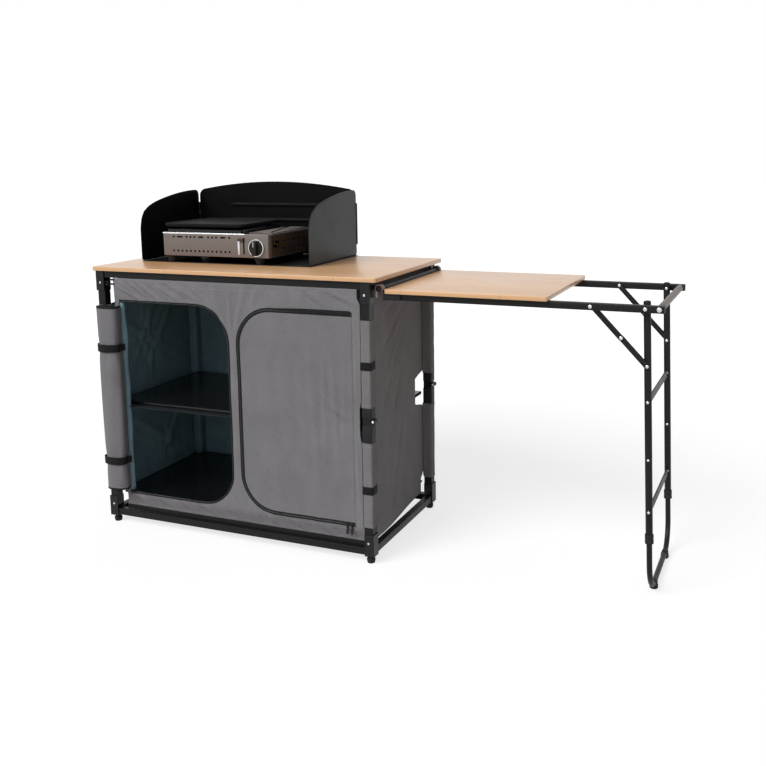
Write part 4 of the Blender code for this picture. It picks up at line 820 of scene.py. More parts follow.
def turned(profile: Array, centre, axis, sides: int = 32) -> Shape:
    """Spins a profile about an axis.

    Args:
        profile: (K, 2) radius and distance along the axis. A radius of 0 closes a pole.
        centre: where distance 0 is.
        axis: direction of the axis.
        sides: points in a turn.

    Returns:
        The shape, which is closed where its profile starts and ends on the axis.
    """
    profile = np.asarray(profile, float)
    axis = np.asarray(axis, float) / np.linalg.norm(axis)
    other = np.array([0.0, 0.0, 1.0]) if abs(axis[2]) < 0.9 else np.array([1.0, 0.0, 0.0])
    first = np.cross(axis, other)
    first /= np.linalg.norm(first)
    second = np.cross(axis, first)
    turn = np.linspace(0, 2 * np.pi, sides + 1)
    spoke = np.cos(turn)[:, None] * first + np.sin(turn)[:, None] * second
    return Shape([np.asarray(centre) + profile[:, None, 1:] * axis + profile[:, None, :1] * spoke[None]])


def dome(centre, axis, radius: float, height: float, sides: int = 20) -> Shape:
    """Rivet head: a shallow dome on a short rim. Height over radius follows a quarter ellipse.

    Args:
        centre: where its rim meets the surface.
        axis: the way out.
        radius: of the rim.
        height: of the dome.
        sides: points in a turn.

    Returns:
        A closed shape, whose underside is sunk into the surface.
    """
    sunk = -0.0004
    turn = np.linspace(0, np.pi / 2, 6)
    profile = [(0, sunk), (radius, sunk)]
    profile += list(zip(radius * np.cos(turn), height * np.sin(turn)))
    return turned(profile, centre, axis, sides)


def capped_profile(half_width: float, half_height: float, radius: float, steps: int = 3) -> Array:
    """Rounded rectangle round the origin, as a profile to carry."""
    return rounded(rectangle(-half_width, half_width, -half_height, half_height), radius, steps)


def stadium(start: Array, end: Array, radius: float) -> Array:
    """Outline of a bar with round ends.

    Args:
        start: middle of one end.
        end: middle of the other.
        radius: half the bar's width.

    Returns:
        The closed outline, a half circle round each end.
    """
    way = (end - start) / np.linalg.norm(end - start)
    side = np.array([-way[1], way[0]])
    turn = np.linspace(0, np.pi, 13)[:, None]
    first = start + radius * (side * np.cos(turn) - way * np.sin(turn))
    second = end + radius * (-side * np.cos(turn) + way * np.sin(turn))
    return tidy_outline(np.vstack([first, second]))


def smooth_curve(points: Array, at: Array) -> Array:
    """Smooth curve through points: cubic pieces whose slopes at the points are averaged.

    Args:
        points: places and values (N, 2).
        at: the places to read it at.

    Returns:
        The curve's values there.
    """
    x, y = points.T
    slope = np.gradient(y, x)
    index = np.clip(np.searchsorted(x, at) - 1, 0, len(x) - 2)
    step = x[index + 1] - x[index]
    t = (at - x[index]) / step
    return ((2 * t ** 3 - 3 * t ** 2 + 1) * y[index] + (t ** 3 - 2 * t ** 2 + t) * step * slope[index]
            + (-2 * t ** 3 + 3 * t ** 2) * y[index + 1] + (t ** 3 - t ** 2) * step * slope[index + 1])


def place_uv(grid: Array) -> Array:
    """UV places in metres: distance along each row and up each column.

    Args:
        grid: points (R, C, 3 or more).

    Returns:
        Places (R, C, 2).
    """
    points = grid[..., :3]
    along = np.zeros(grid.shape[:2])
    along[:, 1:] = np.cumsum(np.linalg.norm(np.diff(points, axis=1), axis=-1), 1)
    upwards = np.zeros(grid.shape[:2])
    upwards[1:] = np.cumsum(np.linalg.norm(np.diff(points, axis=0), axis=-1), 0)
    return np.stack([along, upwards], -1)


def facing(grid: Array, way) -> Array:
    """Turns a grid's faces to look a given way.

    Args:
        grid: points (R, C, 3 or more).
        way: the direction.

    Returns:
        The grid, with its columns reversed where it looked the other way.
    """
    points = grid[..., :3]
    across = np.cross(points[:-1, 1:] - points[:-1, :-1], points[1:, :-1] - points[:-1, :-1])
    return grid if (across.reshape(-1, 3).sum(0) @ np.asarray(way, float)) > 0 else grid[:, ::-1]


def make_piece(name: str, shape: Shape, finish: Finish, body: str, closed: bool = True,
               replaces: Sequence[str] = (), sharp: float = 38.0) -> bpy.types.Object:
    """Writes a shape into a mesh, dresses it, and lets it ride on a body.

    Args:
        name: the piece's name.
        shape: its grids and flat faces.
        finish: its finish.
        body: the body that carries it.
        closed: whether the shape closes, so that its faces are turned outwards.
        replaces: the nodes that it stands for.
        sharp: edges bent by more than this many degrees stay sharp.

    Returns:
        The new object.
    """
    points, places, faces = [], [], []
    start = 0
    for grid in shape.grids:
        rows, columns = grid.shape[:2]
        index = start + np.arange(rows * columns).reshape(rows, columns)
        quads = np.stack([index[:-1, :-1], index[:-1, 1:], index[1:, 1:], index[1:, :-1]], -1)
        faces.extend(quads.reshape(-1, 4).tolist())
        points.append(grid[..., :3].reshape(-1, 3))
        places.append((grid[..., 3:] if grid.shape[-1] == 5 else place_uv(grid)).reshape(-1, 2))
        start += rows * columns
    for flat in shape.flats:
        faces.append(list(range(start, start + len(flat))))
        points.append(flat[:, :3])
        places.append(np.delete(flat[:, :3], np.ptp(flat[:, :3], axis=0).argmin(), 1))
        start += len(flat)
    mesh = bpy.data.meshes.new(name)
    mesh.from_pydata((np.vstack(points) + CABINET_CORNER).tolist(), [], faces)
    corner = np.empty(len(mesh.loops), np.int32)
    mesh.loops.foreach_get("vertex_index", corner)
    mesh.uv_layers.new(name="thread").data.foreach_set("uv", np.vstack(places)[corner].ravel())
    work = bmesh.new()
    work.from_mesh(mesh)
    bmesh.ops.remove_doubles(work, verts=work.verts, dist=WELD_DISTANCE)
    if closed:
        bmesh.ops.recalc_face_normals(work, faces=work.faces)
    work.to_mesh(mesh)
    work.free()
    mesh.polygons.foreach_set("use_smooth", np.ones(len(mesh.polygons), bool))
    mesh.set_sharp_from_angle(angle=math.radians(sharp))
    mesh.materials.append(finish.material())
    piece = bpy.data.objects.new(name, mesh)
    bpy.context.scene.collection.objects.link(piece)
    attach(piece, body)
    if replaces:
        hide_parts(*replaces)
    log.info("%s: %d faces on %s", name, len(mesh.polygons), body)
    return piece


def thicken(piece: bpy.types.Object, thickness: float, lining: Finish | None = None) -> None:
    """Gives a sheet its thickness, half of it to each side.

    Args:
        piece: the sheet.
        thickness: from face to face.
        lining: the finish of its back, where that differs.
    """
    wall = piece.modifiers.new("thickness", "SOLIDIFY")
    wall.thickness = thickness
    wall.offset = 0.0
    wall.use_even_offset = False
    if lining:
        piece.data.materials.append(lining.material())
        wall.material_offset = 1


def fold_with_frame(piece: bpy.types.Object) -> None:
    """Gives the piece a mesh of its own."""
    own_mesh(piece)


def dress_node(node: str, finish: Finish, edge: float) -> None:
    """Gives a node of the frame its finish and rounds its edges off.

    Args:
        node: the node's name.
        finish: its finish.
        edge: radius of its edges.
    """
    piece = frame["nodes"][node]
    for slot in piece.material_slots:
        slot.material = finish.material()
    weld = piece.modifiers.new("join", "WELD")
    weld.merge_threshold = 0.00001
    flat = piece.modifiers.new("flatten", "DECIMATE")
    flat.decimate_type = "DISSOLVE"
    flat.angle_limit = math.radians(1.0)
    soft = piece.modifiers.new("edge", "BEVEL")
    soft.width = edge
    soft.segments = 2
    soft.limit_method = "ANGLE"
    soft.angle_limit = math.radians(32)
    log.info("%s: dressed in %s", node, finish.name)


@dataclass(frozen=True)
class Crease:
    """A soft fold in cloth, on the wall's own plane."""

    start: tuple[float, float]
    end: tuple[float, float]
    width: float
    height: float


def drape(u: Array, v: Array, creases: Sequence[Crease]) -> Array:
    """Height of folded cloth off its plane.

    A crease adds its height times a bell of the distance across it, less a shallower bell beside it, and
    fades out towards both ends of its line.

    Args:
        u: first coordinate on the wall.
        v: second coordinate on the wall.
        creases: the folds.

    Returns:
        Heights of the same shape as u.
    """
    table = np.array([[*c.start, *c.end, c.width, c.height] for c in creases])
    ax, ay, bx, by, width, height = table.T
    length = np.hypot(bx - ax, by - ay)
    dx, dy = (bx - ax) / length, (by - ay) / length
    x, y = u[..., None] - ax, v[..., None] - ay
    along = (x * dx + y * dy) / length
    across = (x * dy - y * dx) / width
    fade = np.clip(np.sin(np.pi * np.clip((along + 0.15) / 1.3, 0, 1)), 0, 1)
    bell = np.exp(-across ** 2) - 0.45 * np.exp(-(across - 1.7) ** 2)
    return (height * fade * bell).sum(-1)


def ripples(u: Array, v: Array, seed: int, height: float, size: float) -> Array:
    """Loose unevenness of hung cloth: sine waves of set random direction and phase, added up.

    Args:
        u: first coordinate on the wall.
        v: second coordinate on the wall.
        seed: sets which ripples there are.
        height: about half the waves' height together.
        size: about the length of a wave.

    Returns:
        Heights of the same shape as u.
    """
    count = 9
    chance = np.random.default_rng(seed)
    turn = chance.uniform(-0.9, 0.9, count)
    wave = size * chance.uniform(0.6, 1.8, count)
    phase = chance.uniform(0, 2 * np.pi, count)
    angle = (u[..., None] * np.cos(turn) + v[..., None] * np.sin(turn)) / wave * 2 * np.pi + phase
    return height * np.sin(angle).sum(-1) / math.sqrt(count)


def smooth_step(value: Array, low: float, high: float) -> Array:
    """0 below low, 1 above high, and an even curve between."""
    share = np.clip((value - low) / (high - low), 0, 1)
    return share * share * (3 - 2 * share)


@dataclass(frozen=True)
class Notch:
    """A step back in a wall's edge, where a leg's bare part shows beside the cloth."""

    low: float
    high: float
    depth: float
    slope: float = 0.020

    def at(self, z: Array) -> Array:
        """Depth at each height: it rises and falls smoothly over the slope."""
        return self.depth * smooth_step(z, self.low, self.low + self.slope) * (
            1 - smooth_step(z, self.high - self.slope, self.high))


# The object's sub-assemblies


@dataclass
class Worktop:
    """Bamboo slab that lies on the folding frame."""

    width: float = 0.930
    depth: float = 0.500
    top: float = 0.800
    thickness: float = 0.012
    corner: float = 0.008
    edge: float = 0.0014

    def build(self) -> None:
        """The slab's outline is a rectangle with round corners, raised by its thickness with a soft rim."""
        outline = rounded(rectangle(0, self.width, 0, self.depth), self.corner)
        slab = plate(Plane.PLAN, outline, self.top - self.thickness, self.top, self.edge)
        make_piece("worktop_slab", slab, BAMBOO, "top", replaces=["worktop"])


class Side(Enum):
    """Left or right half of the folding frame: the value is the way out in X."""

    left = -1
    right = 1


class End(Enum):
    """Front or rear of the folding frame: the value is the way out in Y."""

    front = -1
    rear = 1


@dataclass
class FoldingFrame:
    """Black tube frame: two rings, four corner brackets each, and four legs with a knee."""

    left: float = 0.012
    right: float = 0.905
    front: float = 0.010
    back: float = 0.490
    leg: float = 0.025
    bracket: float = 0.0033
    low_pivot: float = 0.0601
    knee: float = 0.40615
    top_pivot: float = 0.7522
    knee_outset: float = 0.0035
    rivet: tuple[float, float] = (0.0050, 0.0020)  # radius and height of a pivot's head
    pin: tuple[float, float] = (0.0040, 0.0023)  # radius and height of a knee pin's head
    pin_face: float = 0.0101  # from a leg's middle to the foot of that head
    collar_wall: float = 0.0011
    collars: tuple[tuple[str, float, float], ...] = (
        ("upper", 0.0115, 0.0375), ("lower", -0.0595, -0.0115))  # lowest and highest point, from the knee
    foot: tuple[tuple[float, float], ...] = (
        (0, 0.021), (0.0066, 0.021), (0.0068, 0.0205), (0.0064, 0.0172), (0.0072, 0.0158), (0.0100, 0.0146),
        (0.0117, 0.0130), (0.0122, 0.0112), (0.0121, 0.0088), (0.0113, 0.0078), (0.0113, 0.0068),
        (0.0117, 0.0060), (0.0108, 0.0020), (0.0102, 0.0007), (0.0090, 0.0), (0, 0))

    def axis(self, side: Side, end: End) -> tuple[float, float]:
        """Where a leg's middle stands in plan.

        Args:
            side: which half of the frame.
            end: which of its legs.

        Returns:
            X and Y.
        """
        x = self.left + self.leg / 2 if side is Side.left else self.right - self.leg / 2
        y = self.front + self.leg / 2 if end is End.front else self.back - self.leg / 2
        return x, y

    def build(self) -> None:
        """Dresses the frame's own nodes and adds rivets, knee collars and feet at each corner."""
        for ring in ("top_frame", "bottom_frame"):
            dress_node(ring, POWDER_COAT, 0.0014)
        for side in Side:
            for end in End:
                corner = f"{end.name}_{side.name}"
                for level in ("top", "bottom"):
                    dress_node(f"{level}_bracket_{corner}", BRACKET_PAINT, 0.0006)
                for half in ("upper", "lower"):
                    dress_node(f"{half}_leg_{corner}", POWDER_COAT, 0.0008)
                self.build_rivets(side, end)
                self.build_knee(side, end)
                self.build_foot(side, end)

    def build_rivets(self, side: Side, end: End) -> None:
        """A zinc dome on each corner pivot, and one on both faces of each knee pin.

        Args:
            side: which half of the frame.
            end: which of its legs.
        """
        x, y = self.axis(side, end)
        out = np.array([0.0, end.value, 0.0])
        face = y + end.value * (self.leg / 2 + self.bracket)
        corner = f"{end.name}_{side.name}"
        for level, z in (("top", self.top_pivot), ("bottom", self.low_pivot)):
            head = dome((x, face, z), out, *self.rivet)
            make_piece(f"pivot_rivet_{level}_{corner}", head, ZINC, level)
        knee_x = x + side.value * (self.leg / 2 + self.knee_outset)
        heads = [dome((knee_x, y + way * self.pin_face, self.knee), (0, way, 0), *self.pin)
                 for way in (-1, 1)]
        make_piece(f"knee_rivet_{corner}", joined(heads), ZINC, f"lower_legs_{side.name}")

    def build_knee(self, side: Side, end: End) -> None:
        """Moulded collars above and below the knee: a flat band's section carried round the square leg.

        Args:
            side: which half of the frame.
            end: which of its legs.
        """
        x, y = self.axis(side, end)
        corner = f"{end.name}_{side.name}"
        half_side = self.leg / 2 + self.collar_wall
        for half, *span in self.collars:
            low, high = (self.knee + z for z in span)
            way_round = rounded(rectangle(x - half_side, x + half_side, y - half_side, y + half_side), 0.003)
            path = Plane.PLAN.place(way_round, (low + high) / 2)
            band = carried(path, capped_profile(0.0010, (high - low) / 2, 0.0007), (0, 0, 1), closed=True)
            make_piece(f"knee_collar_{half}_{corner}", band, MOULDED_BLACK, f"{half}_legs_{side.name}")

    def build_foot(self, side: Side, end: End) -> None:
        """Glide foot: a neck on a ribbed rubber pad, spun about the leg's axis.

        Args:
            side: which half of the frame.
            end: which of its legs.
        """
        x, y = self.axis(side, end)
        corner = f"{end.name}_{side.name}"
        foot = turned(self.foot, (x, y, 0), (0, 0, 1), 28)
        make_piece(f"glide_foot_{corner}", foot, RUBBER, "bottom",
                   replaces=[f"foot_{corner}"])


@dataclass
class LegSleeves:
    """Canvas sleeves round the legs, with the black straps of the unused door ties on the front right leg."""

    frame: FoldingFrame
    gap: float = 0.0003
    wall: float = 0.0020
    hem: float = 0.012
    upper: tuple[float, float] = (0.44425, 0.6841)
    lower: tuple[float, float] = (0.1052, 0.34605)
    wrinkle: tuple[float, float] = (0.00028, 0.012)  # height and length

    def build(self) -> None:
        """One sleeve for each half leg, and two straps."""
        for side in Side:
            for end in End:
                self.build_sleeve(side, end, "upper", self.upper)
                self.build_sleeve(side, end, "lower", self.lower)
        for half, z in zip(("upper", "lower"), TIE_HEIGHTS):
            self.build_strap(half, z)

    def outline(self, side: Side, end: End, half_side: float, radius: float,
                count: int) -> tuple[Array, Array]:
        """Walks round a leg.

        Args:
            side: which half of the frame.
            end: which of its legs.
            half_side: half the square's side.
            radius: of its corners.
            count: how many points.

        Returns:
            The points, and the way out at each.
        """
        x, y = self.frame.axis(side, end)
        square = rounded(rectangle(x - half_side, x + half_side, y - half_side, y + half_side), radius, 8)
        line = evenly(square, count, True)
        along = np.roll(line, -1, 0) - np.roll(line, 1, 0)
        out = np.stack([along[:, 1], -along[:, 0]], -1)
        return line, out / np.linalg.norm(out, axis=1, keepdims=True)

    def build_sleeve(self, side: Side, end: End, half: str, span: tuple[float, float]) -> None:
        """Tube of cloth: rows up the outside and down the inside of a square with soft corners.

        The outside stands out by the wall, by a hem's thickness near both ends, and by long shallow wrinkles.

        Args:
            side: which half of the frame.
            end: which of its legs.
            half: upper or lower.
            span: its lowest and highest point.
        """
        corner = f"{end.name}_{side.name}"
        line, out = self.outline(side, end, self.frame.leg / 2 + self.gap, 0.0035, 72)
        low, high = span
        heights = np.concatenate([[low, low + 0.0006], np.linspace(low + 0.003, high - 0.003, 34),
                                  [high - 0.0006, high]])
        around = np.arange(len(line)) * 2 * math.pi / len(line)
        s, z = np.meshgrid(around, heights)
        ends = np.minimum(z - low, high - z)
        hem = 0.0005 * (1 - smooth_step(ends, self.hem - 0.0015, self.hem))
        lip = -0.0007 * (ends < 0.0003)
        seed = sum(map(ord, corner + half))
        loose = ripples(np.cos(s) * 0.02 + np.sin(s) * 0.013, z * 0.5, seed, *self.wrinkle)
        loose *= smooth_step(ends, 0.0, 0.02)
        depth = self.wall + hem + lip + loose
        outer = line[None] + out[None] * depth[..., None]
        inner = np.broadcast_to(line[None], (2, *line.shape))
        rows = np.concatenate([outer, inner, outer[:1]])
        levels = np.concatenate([heights, [high, low], heights[:1]])
        grid = Plane.PLAN.place(rows, levels[:, None])
        grid = np.concatenate([grid, grid[:, :1]], 1)
        run = np.linspace(0, 4 * self.frame.leg, grid.shape[1])
        uv = np.stack(np.broadcast_arrays(run[None], (levels - low)[:, None]), -1)
        piece = make_piece(f"leg_sleeve_{half}_{corner}", Shape([np.concatenate([grid, uv], -1)]),
                           SLEEVE_CANVAS, f"{half}_legs_{side.name}",
                           replaces=[f"{half}_sleeve_{corner}"])

    def build_strap(self, half: str, z: float) -> None:
        """Strap round the front right sleeve: a thin section carried round the leg.

        Args:
            half: upper or lower.
            z: the strap's middle.
        """
        line = self.outline(Side.right, End.front, self.frame.leg / 2 + 0.0036, 0.005, 64)[0]
        section = capped_profile(0.0009, 0.0110, 0.0006)
        band = carried(Plane.PLAN.place(line, z), section, (0, 0, 1), closed=True)
        make_piece(f"sleeve_strap_{half}", band, STRAP, f"{half}_legs_right")


@dataclass
class Cupboard:
    """Canvas cupboard inside the frame: four walls, floor and shelf cloths, a zipped and a rolled-up door."""

    left: float = FoldingFrame.left
    right: float = FoldingFrame.right
    front: float = FoldingFrame.front
    back: float = FoldingFrame.back
    corner: float = 0.0286
    top: float = 0.7672
    hem: float = 0.0592
    low: float = 0.0810
    cloth: float = 0.0016
    door_low: float = 0.108
    door_high: float = 0.698
    door_radius: float = 0.105
    left_door: tuple[float, float] = (0.460, 0.088)
    right_door: tuple[float, float] = (0.495, 0.853)
    middle: float = 0.4775
    knee_window: tuple[float, float] = (0.3462, 0.4442)
    top_window: float = 0.6842
    shelf: float = 0.3749
    slant: tuple[float, float, float] = (0.060, 0.440, 0.0275)
    hem_tuck: tuple[float, float] = (0.012, 0.046)
    right_drop: tuple[float, float] = (0.014, 0.023)
    roll_middle: tuple[float, float] = (0.0575, -0.0118)
    roll_half: tuple[float, float] = (0.0385, 0.0200)
    roll_span: tuple[float, float] = (0.1215, 0.6850)
    roll_turns: float = 2.75
    zip_tape: tuple[float, float] = (0.0029, 0.00045)  # half its width and half its thickness
    zip_coil: tuple[float, float] = (0.00085, 0.0013)  # radius, and half the distance from tooth to tooth
    pulls: tuple[float, float] = (0.829, 0.843)
    front_creases: tuple[Crease, ...] = (
        Crease((0.082, 0.762), (0.140, 0.728), 0.0046, 0.0054),
        Crease((0.084, 0.744), (0.165, 0.706), 0.0051, 0.0054),
        Crease((0.108, 0.766), (0.190, 0.716), 0.0046, 0.0054),
        Crease((0.150, 0.762), (0.228, 0.708), 0.0051, 0.0051),
        Crease((0.176, 0.768), (0.262, 0.712), 0.0046, 0.0042),
        Crease((0.205, 0.760), (0.300, 0.708), 0.0055, 0.0045),
        Crease((0.250, 0.766), (0.338, 0.712), 0.0055, 0.0038),
        Crease((0.290, 0.750), (0.374, 0.708), 0.0055, 0.0038),
        Crease((0.330, 0.764), (0.402, 0.700), 0.0060, 0.0035),
        Crease((0.378, 0.756), (0.432, 0.680), 0.0055, 0.0035),
        Crease((0.415, 0.768), (0.458, 0.620), 0.0069, 0.0038),
        Crease((0.470, 0.760), (0.474, 0.610), 0.0064, 0.0026),
        Crease((0.520, 0.758), (0.492, 0.640), 0.0074, 0.0029),
        Crease((0.560, 0.766), (0.548, 0.704), 0.0074, 0.0029),
        Crease((0.700, 0.766), (0.780, 0.716), 0.0074, 0.0026),
        Crease((0.770, 0.764), (0.866, 0.726), 0.0064, 0.0032),
        Crease((0.640, 0.762), (0.670, 0.708), 0.0083, 0.0019),
        Crease((0.486, 0.600), (0.472, 0.430), 0.0090, 0.0016),
        Crease((0.480, 0.380), (0.474, 0.230), 0.0090, 0.0016),
        Crease((0.466, 0.215), (0.520, 0.070), 0.0080, 0.0024),
        Crease((0.420, 0.150), (0.475, 0.064), 0.0070, 0.0029),
        Crease((0.110, 0.104), (0.160, 0.060), 0.0060, 0.0029),
        Crease((0.190, 0.104), (0.250, 0.062), 0.0060, 0.0031),
        Crease((0.270, 0.106), (0.320, 0.060), 0.0060, 0.0026),
        Crease((0.340, 0.106), (0.400, 0.062), 0.0060, 0.0031),
        Crease((0.560, 0.110), (0.600, 0.062), 0.0070, 0.0026),
        Crease((0.640, 0.104), (0.700, 0.060), 0.0070, 0.0026),
        Crease((0.740, 0.100), (0.790, 0.060), 0.0070, 0.0023),
        Crease((0.722, 0.610), (0.742, 0.230), 0.0110, 0.0022),
        Crease((0.765, 0.560), (0.766, 0.300), 0.0075, 0.0021),
        Crease((0.790, 0.600), (0.806, 0.260), 0.0085, 0.0022),
        Crease((0.828, 0.560), (0.824, 0.360), 0.0070, 0.0015),
        Crease((0.750, 0.478), (0.848, 0.384), 0.0065, 0.0030),
        Crease((0.778, 0.438), (0.850, 0.404), 0.0055, 0.0028),
        Crease((0.690, 0.560), (0.706, 0.330), 0.0120, 0.0012),
        Crease((0.630, 0.560), (0.660, 0.300), 0.0160, 0.0016),
        Crease((0.560, 0.320), (0.640, 0.130), 0.0140, 0.0018),
        Crease((0.700, 0.230), (0.780, 0.130), 0.0120, 0.0016),
        Crease((0.860, 0.640), (0.866, 0.470), 0.0045, 0.0011),
        Crease((0.862, 0.340), (0.868, 0.180), 0.0050, 0.0022),
    )
    right_creases: tuple[Crease, ...] = (
        Crease((0.060, 0.560), (0.420, 0.752), 0.013, 0.0060),
        Crease((0.065, 0.480), (0.420, 0.744), 0.010, 0.0050),
        Crease((0.080, 0.400), (0.410, 0.735), 0.012, 0.0060),
        Crease((0.120, 0.270), (0.410, 0.700), 0.014, 0.0055),
        Crease((0.200, 0.170), (0.405, 0.620), 0.013, 0.0045),
        Crease((0.060, 0.660), (0.400, 0.764), 0.010, 0.0040),
        Crease((0.060, 0.330), (0.330, 0.110), 0.014, 0.0034),
        Crease((0.060, 0.250), (0.200, 0.110), 0.012, 0.0030),
        Crease((0.280, 0.420), (0.420, 0.350), 0.009, 0.0034),
        Crease((0.360, 0.560), (0.395, 0.180), 0.009, 0.0040),
    )
    back_creases: tuple[Crease, ...] = (
        Crease((0.060, 0.740), (0.300, 0.420), 0.018, 0.0100),
        Crease((0.090, 0.760), (0.160, 0.420), 0.013, 0.0090),
        Crease((0.140, 0.760), (0.330, 0.400), 0.015, 0.0090),
        Crease((0.210, 0.760), (0.200, 0.420), 0.010, 0.0080),
        Crease((0.300, 0.760), (0.220, 0.420), 0.014, 0.0090),
        Crease((0.420, 0.740), (0.330, 0.430), 0.016, 0.0090),
        Crease((0.060, 0.330), (0.240, 0.110), 0.014, 0.0080),
        Crease((0.300, 0.350), (0.120, 0.120), 0.016, 0.0090),
        Crease((0.360, 0.350), (0.300, 0.110), 0.012, 0.0080),
        Crease((0.560, 0.740), (0.700, 0.420), 0.020, 0.0080),
        Crease((0.850, 0.740), (0.640, 0.130), 0.024, 0.0085),
        Crease((0.500, 0.330), (0.420, 0.110), 0.016, 0.0080),
    )
    left_creases: tuple[Crease, ...] = (
        Crease((0.060, 0.640), (0.420, 0.440), 0.016, 0.0090),
        Crease((0.440, 0.750), (0.200, 0.430), 0.016, 0.0090),
        Crease((0.330, 0.760), (0.120, 0.430), 0.013, 0.0080),
        Crease((0.070, 0.330), (0.400, 0.130), 0.016, 0.0080),
        Crease((0.420, 0.350), (0.260, 0.110), 0.014, 0.0080),
        Crease((0.220, 0.760), (0.240, 0.420), 0.010, 0.0070),
    )

    def build(self) -> None:
        """Walls first, then the trims that follow the front's folds, and the two doors."""
        self.build_walls()
        self.build_floors()
        self.build_right_door()
        self.build_zips()
        self.build_roll()
        self.build_ties()

    def front_face(self, x: Array, z: Array) -> Array:
        """Outer face of the front cloth: its plane less folds and ripples, calm beside the rolled door.

        Args:
            x: X of points on it.
            z: Z of the same points.

        Returns:
            Their Y.
        """
        calm = smooth_step(x, 0.078, 0.105) * (1 - 0.5 * smooth_step(x, 0.862, 0.876))
        depth = drape(x, z, self.front_creases) + ripples(x, z * 0.45, 7, 0.0006, 0.055)
        depth += ripples(x, z, 21, 0.00035, 0.018) * (1 - smooth_step(z, 0.11, 0.15)
                                                      + smooth_step(z, 0.69, 0.71))
        edge = smooth_step(self.top - z, 0.0, 0.010) * smooth_step(z, self.hem - 0.002, self.hem + 0.012)
        tuck = self.hem_tuck[0] * (1 - smooth_step(z, self.hem, self.hem + self.hem_tuck[1]))
        return self.front + tuck - np.clip(depth, -0.0022, 0.0060) * calm * edge

    def door_line(self, inner: float, outer: float, out: float = 0.0) -> Array:
        """A door opening's edge from its top outer corner, over both round corners, to its bottom outer one.

        Args:
            inner: X of the edge beside the middle strip.
            outer: X of the edge beside the leg.
            out: how far outside the edge the line runs.

        Returns:
            Points in X and Z.
        """
        way = 1 if outer > inner else -1
        turn = np.linspace(0, np.pi / 2, 15)
        radius = self.door_radius + out
        centre = inner + way * self.door_radius
        top = np.stack([centre - way * radius * np.sin(turn),
                        self.door_high - self.door_radius + radius * np.cos(turn)], -1)
        low = np.stack([centre - way * radius * np.cos(turn),
                        self.door_low + self.door_radius - radius * np.sin(turn)], -1)
        return np.vstack([[(outer, self.door_high + out)], top, low, [(outer, self.door_low - out)]])

    def cell(self, door: tuple[float, float], outline: list[tuple[float, float]]) -> Array:
        """Front cloth round one opening: rows spread evenly from the opening's edge to the cell's outline.

        Each point of the outline is joined to the opening's edge along the ray from the opening's middle.

        Args:
            door: X of the opening's inner and outer edge.
            outline: the cell's corners in X and Z.

        Returns:
            The cell's grid with UV places.
        """
        rows = 15
        outer = box_points(np.array(outline), 0.0042)
        inner = rays(tidy_outline(self.door_line(*door)), outer)
        share = np.linspace(0, 1, rows + 1)[:, None, None]
        flat = inner[None] * (1 - share) + outer[None] * share
        flat = np.concatenate([flat, flat[:, :1]], 1)
        grid = Plane.FRONT.place(flat, self.front_face(flat[..., 0], flat[..., 1]) + self.cloth / 2)
        return facing(np.concatenate([grid, flat], -1), (0, -1, 0))

    def wall(self, start: Array, end: Array, way_out: Array, creases: tuple[Crease, ...], seed: int,
             notches: tuple[tuple[Notch, ...], tuple[Notch, ...]], columns: int, first: float, belly: float,
             turn_in: tuple[float, float, float] = (9.0, 10.0, 0.0),
             drop: tuple[float, float] = (0.0, 0.0)) -> Array:
        """One side wall: columns between its two edges, which step back at the legs' windows.

        Args:
            start: plan corner of the frame where the wall starts.
            end: plan corner where it ends.
            way_out: the wall's way out in plan.
            creases: its folds, in distance along X or Y and height.
            seed: which ripples it gets.
            notches: steps back of its first and of its last edge.
            columns: pieces from edge to edge.
            first: X or Y of its start, which its creases count from.
            belly: how far it hollows in the middle.
            turn_in: where along X or Y the wall bends in behind a leg, and by how much.
            drop: how much lower its hem hangs at its start and at its end.

        Returns:
            The wall's grid with UV places.
        """
        heights = np.linspace(self.low, self.top, 101)
        share = np.linspace(0, 1, columns + 1)
        length = float(np.linalg.norm(end - start))
        along = (end - start) / length
        s, z = np.meshgrid(share, heights)
        z = z - (drop[0] * (1 - s) + drop[1] * s) * (1 - smooth_step(z, self.low, self.low + 0.10))
        edges = [self.corner + sum((notch.at(z) for notch in group), np.zeros(z.shape)) for group in notches]
        run = edges[0] + (length - edges[0] - edges[1]) * s
        place = first + (1 if along.sum() > 0 else -1) * run
        hollow = belly * np.sin(np.pi * s) ** 0.8
        folds = np.abs(drape(place, z, creases)) + ripples(place, z * 0.5, seed, 0.0009, 0.07)
        calm = np.sin(np.pi * s) ** 0.5 * smooth_step(self.top - z, -0.002, 0.02)
        bend = turn_in[2] * smooth_step(place, *turn_in[:2])
        pressed = np.exp(-((z - self.shelf) / 0.022) ** 2)
        calm = calm * (1 - pressed) * smooth_step(z, self.low, self.low + 0.045)
        depth = self.cloth / 2 + np.clip((hollow + folds) * calm, -0.001, 0.0118 - 0.4 * bend) + bend
        flat = start[None, None] + along * run[..., None] - way_out * depth[..., None]
        grid = Plane.PLAN.place(flat, z)
        return facing(np.concatenate([grid, np.stack([place, z], -1)], -1), (*way_out, 0))

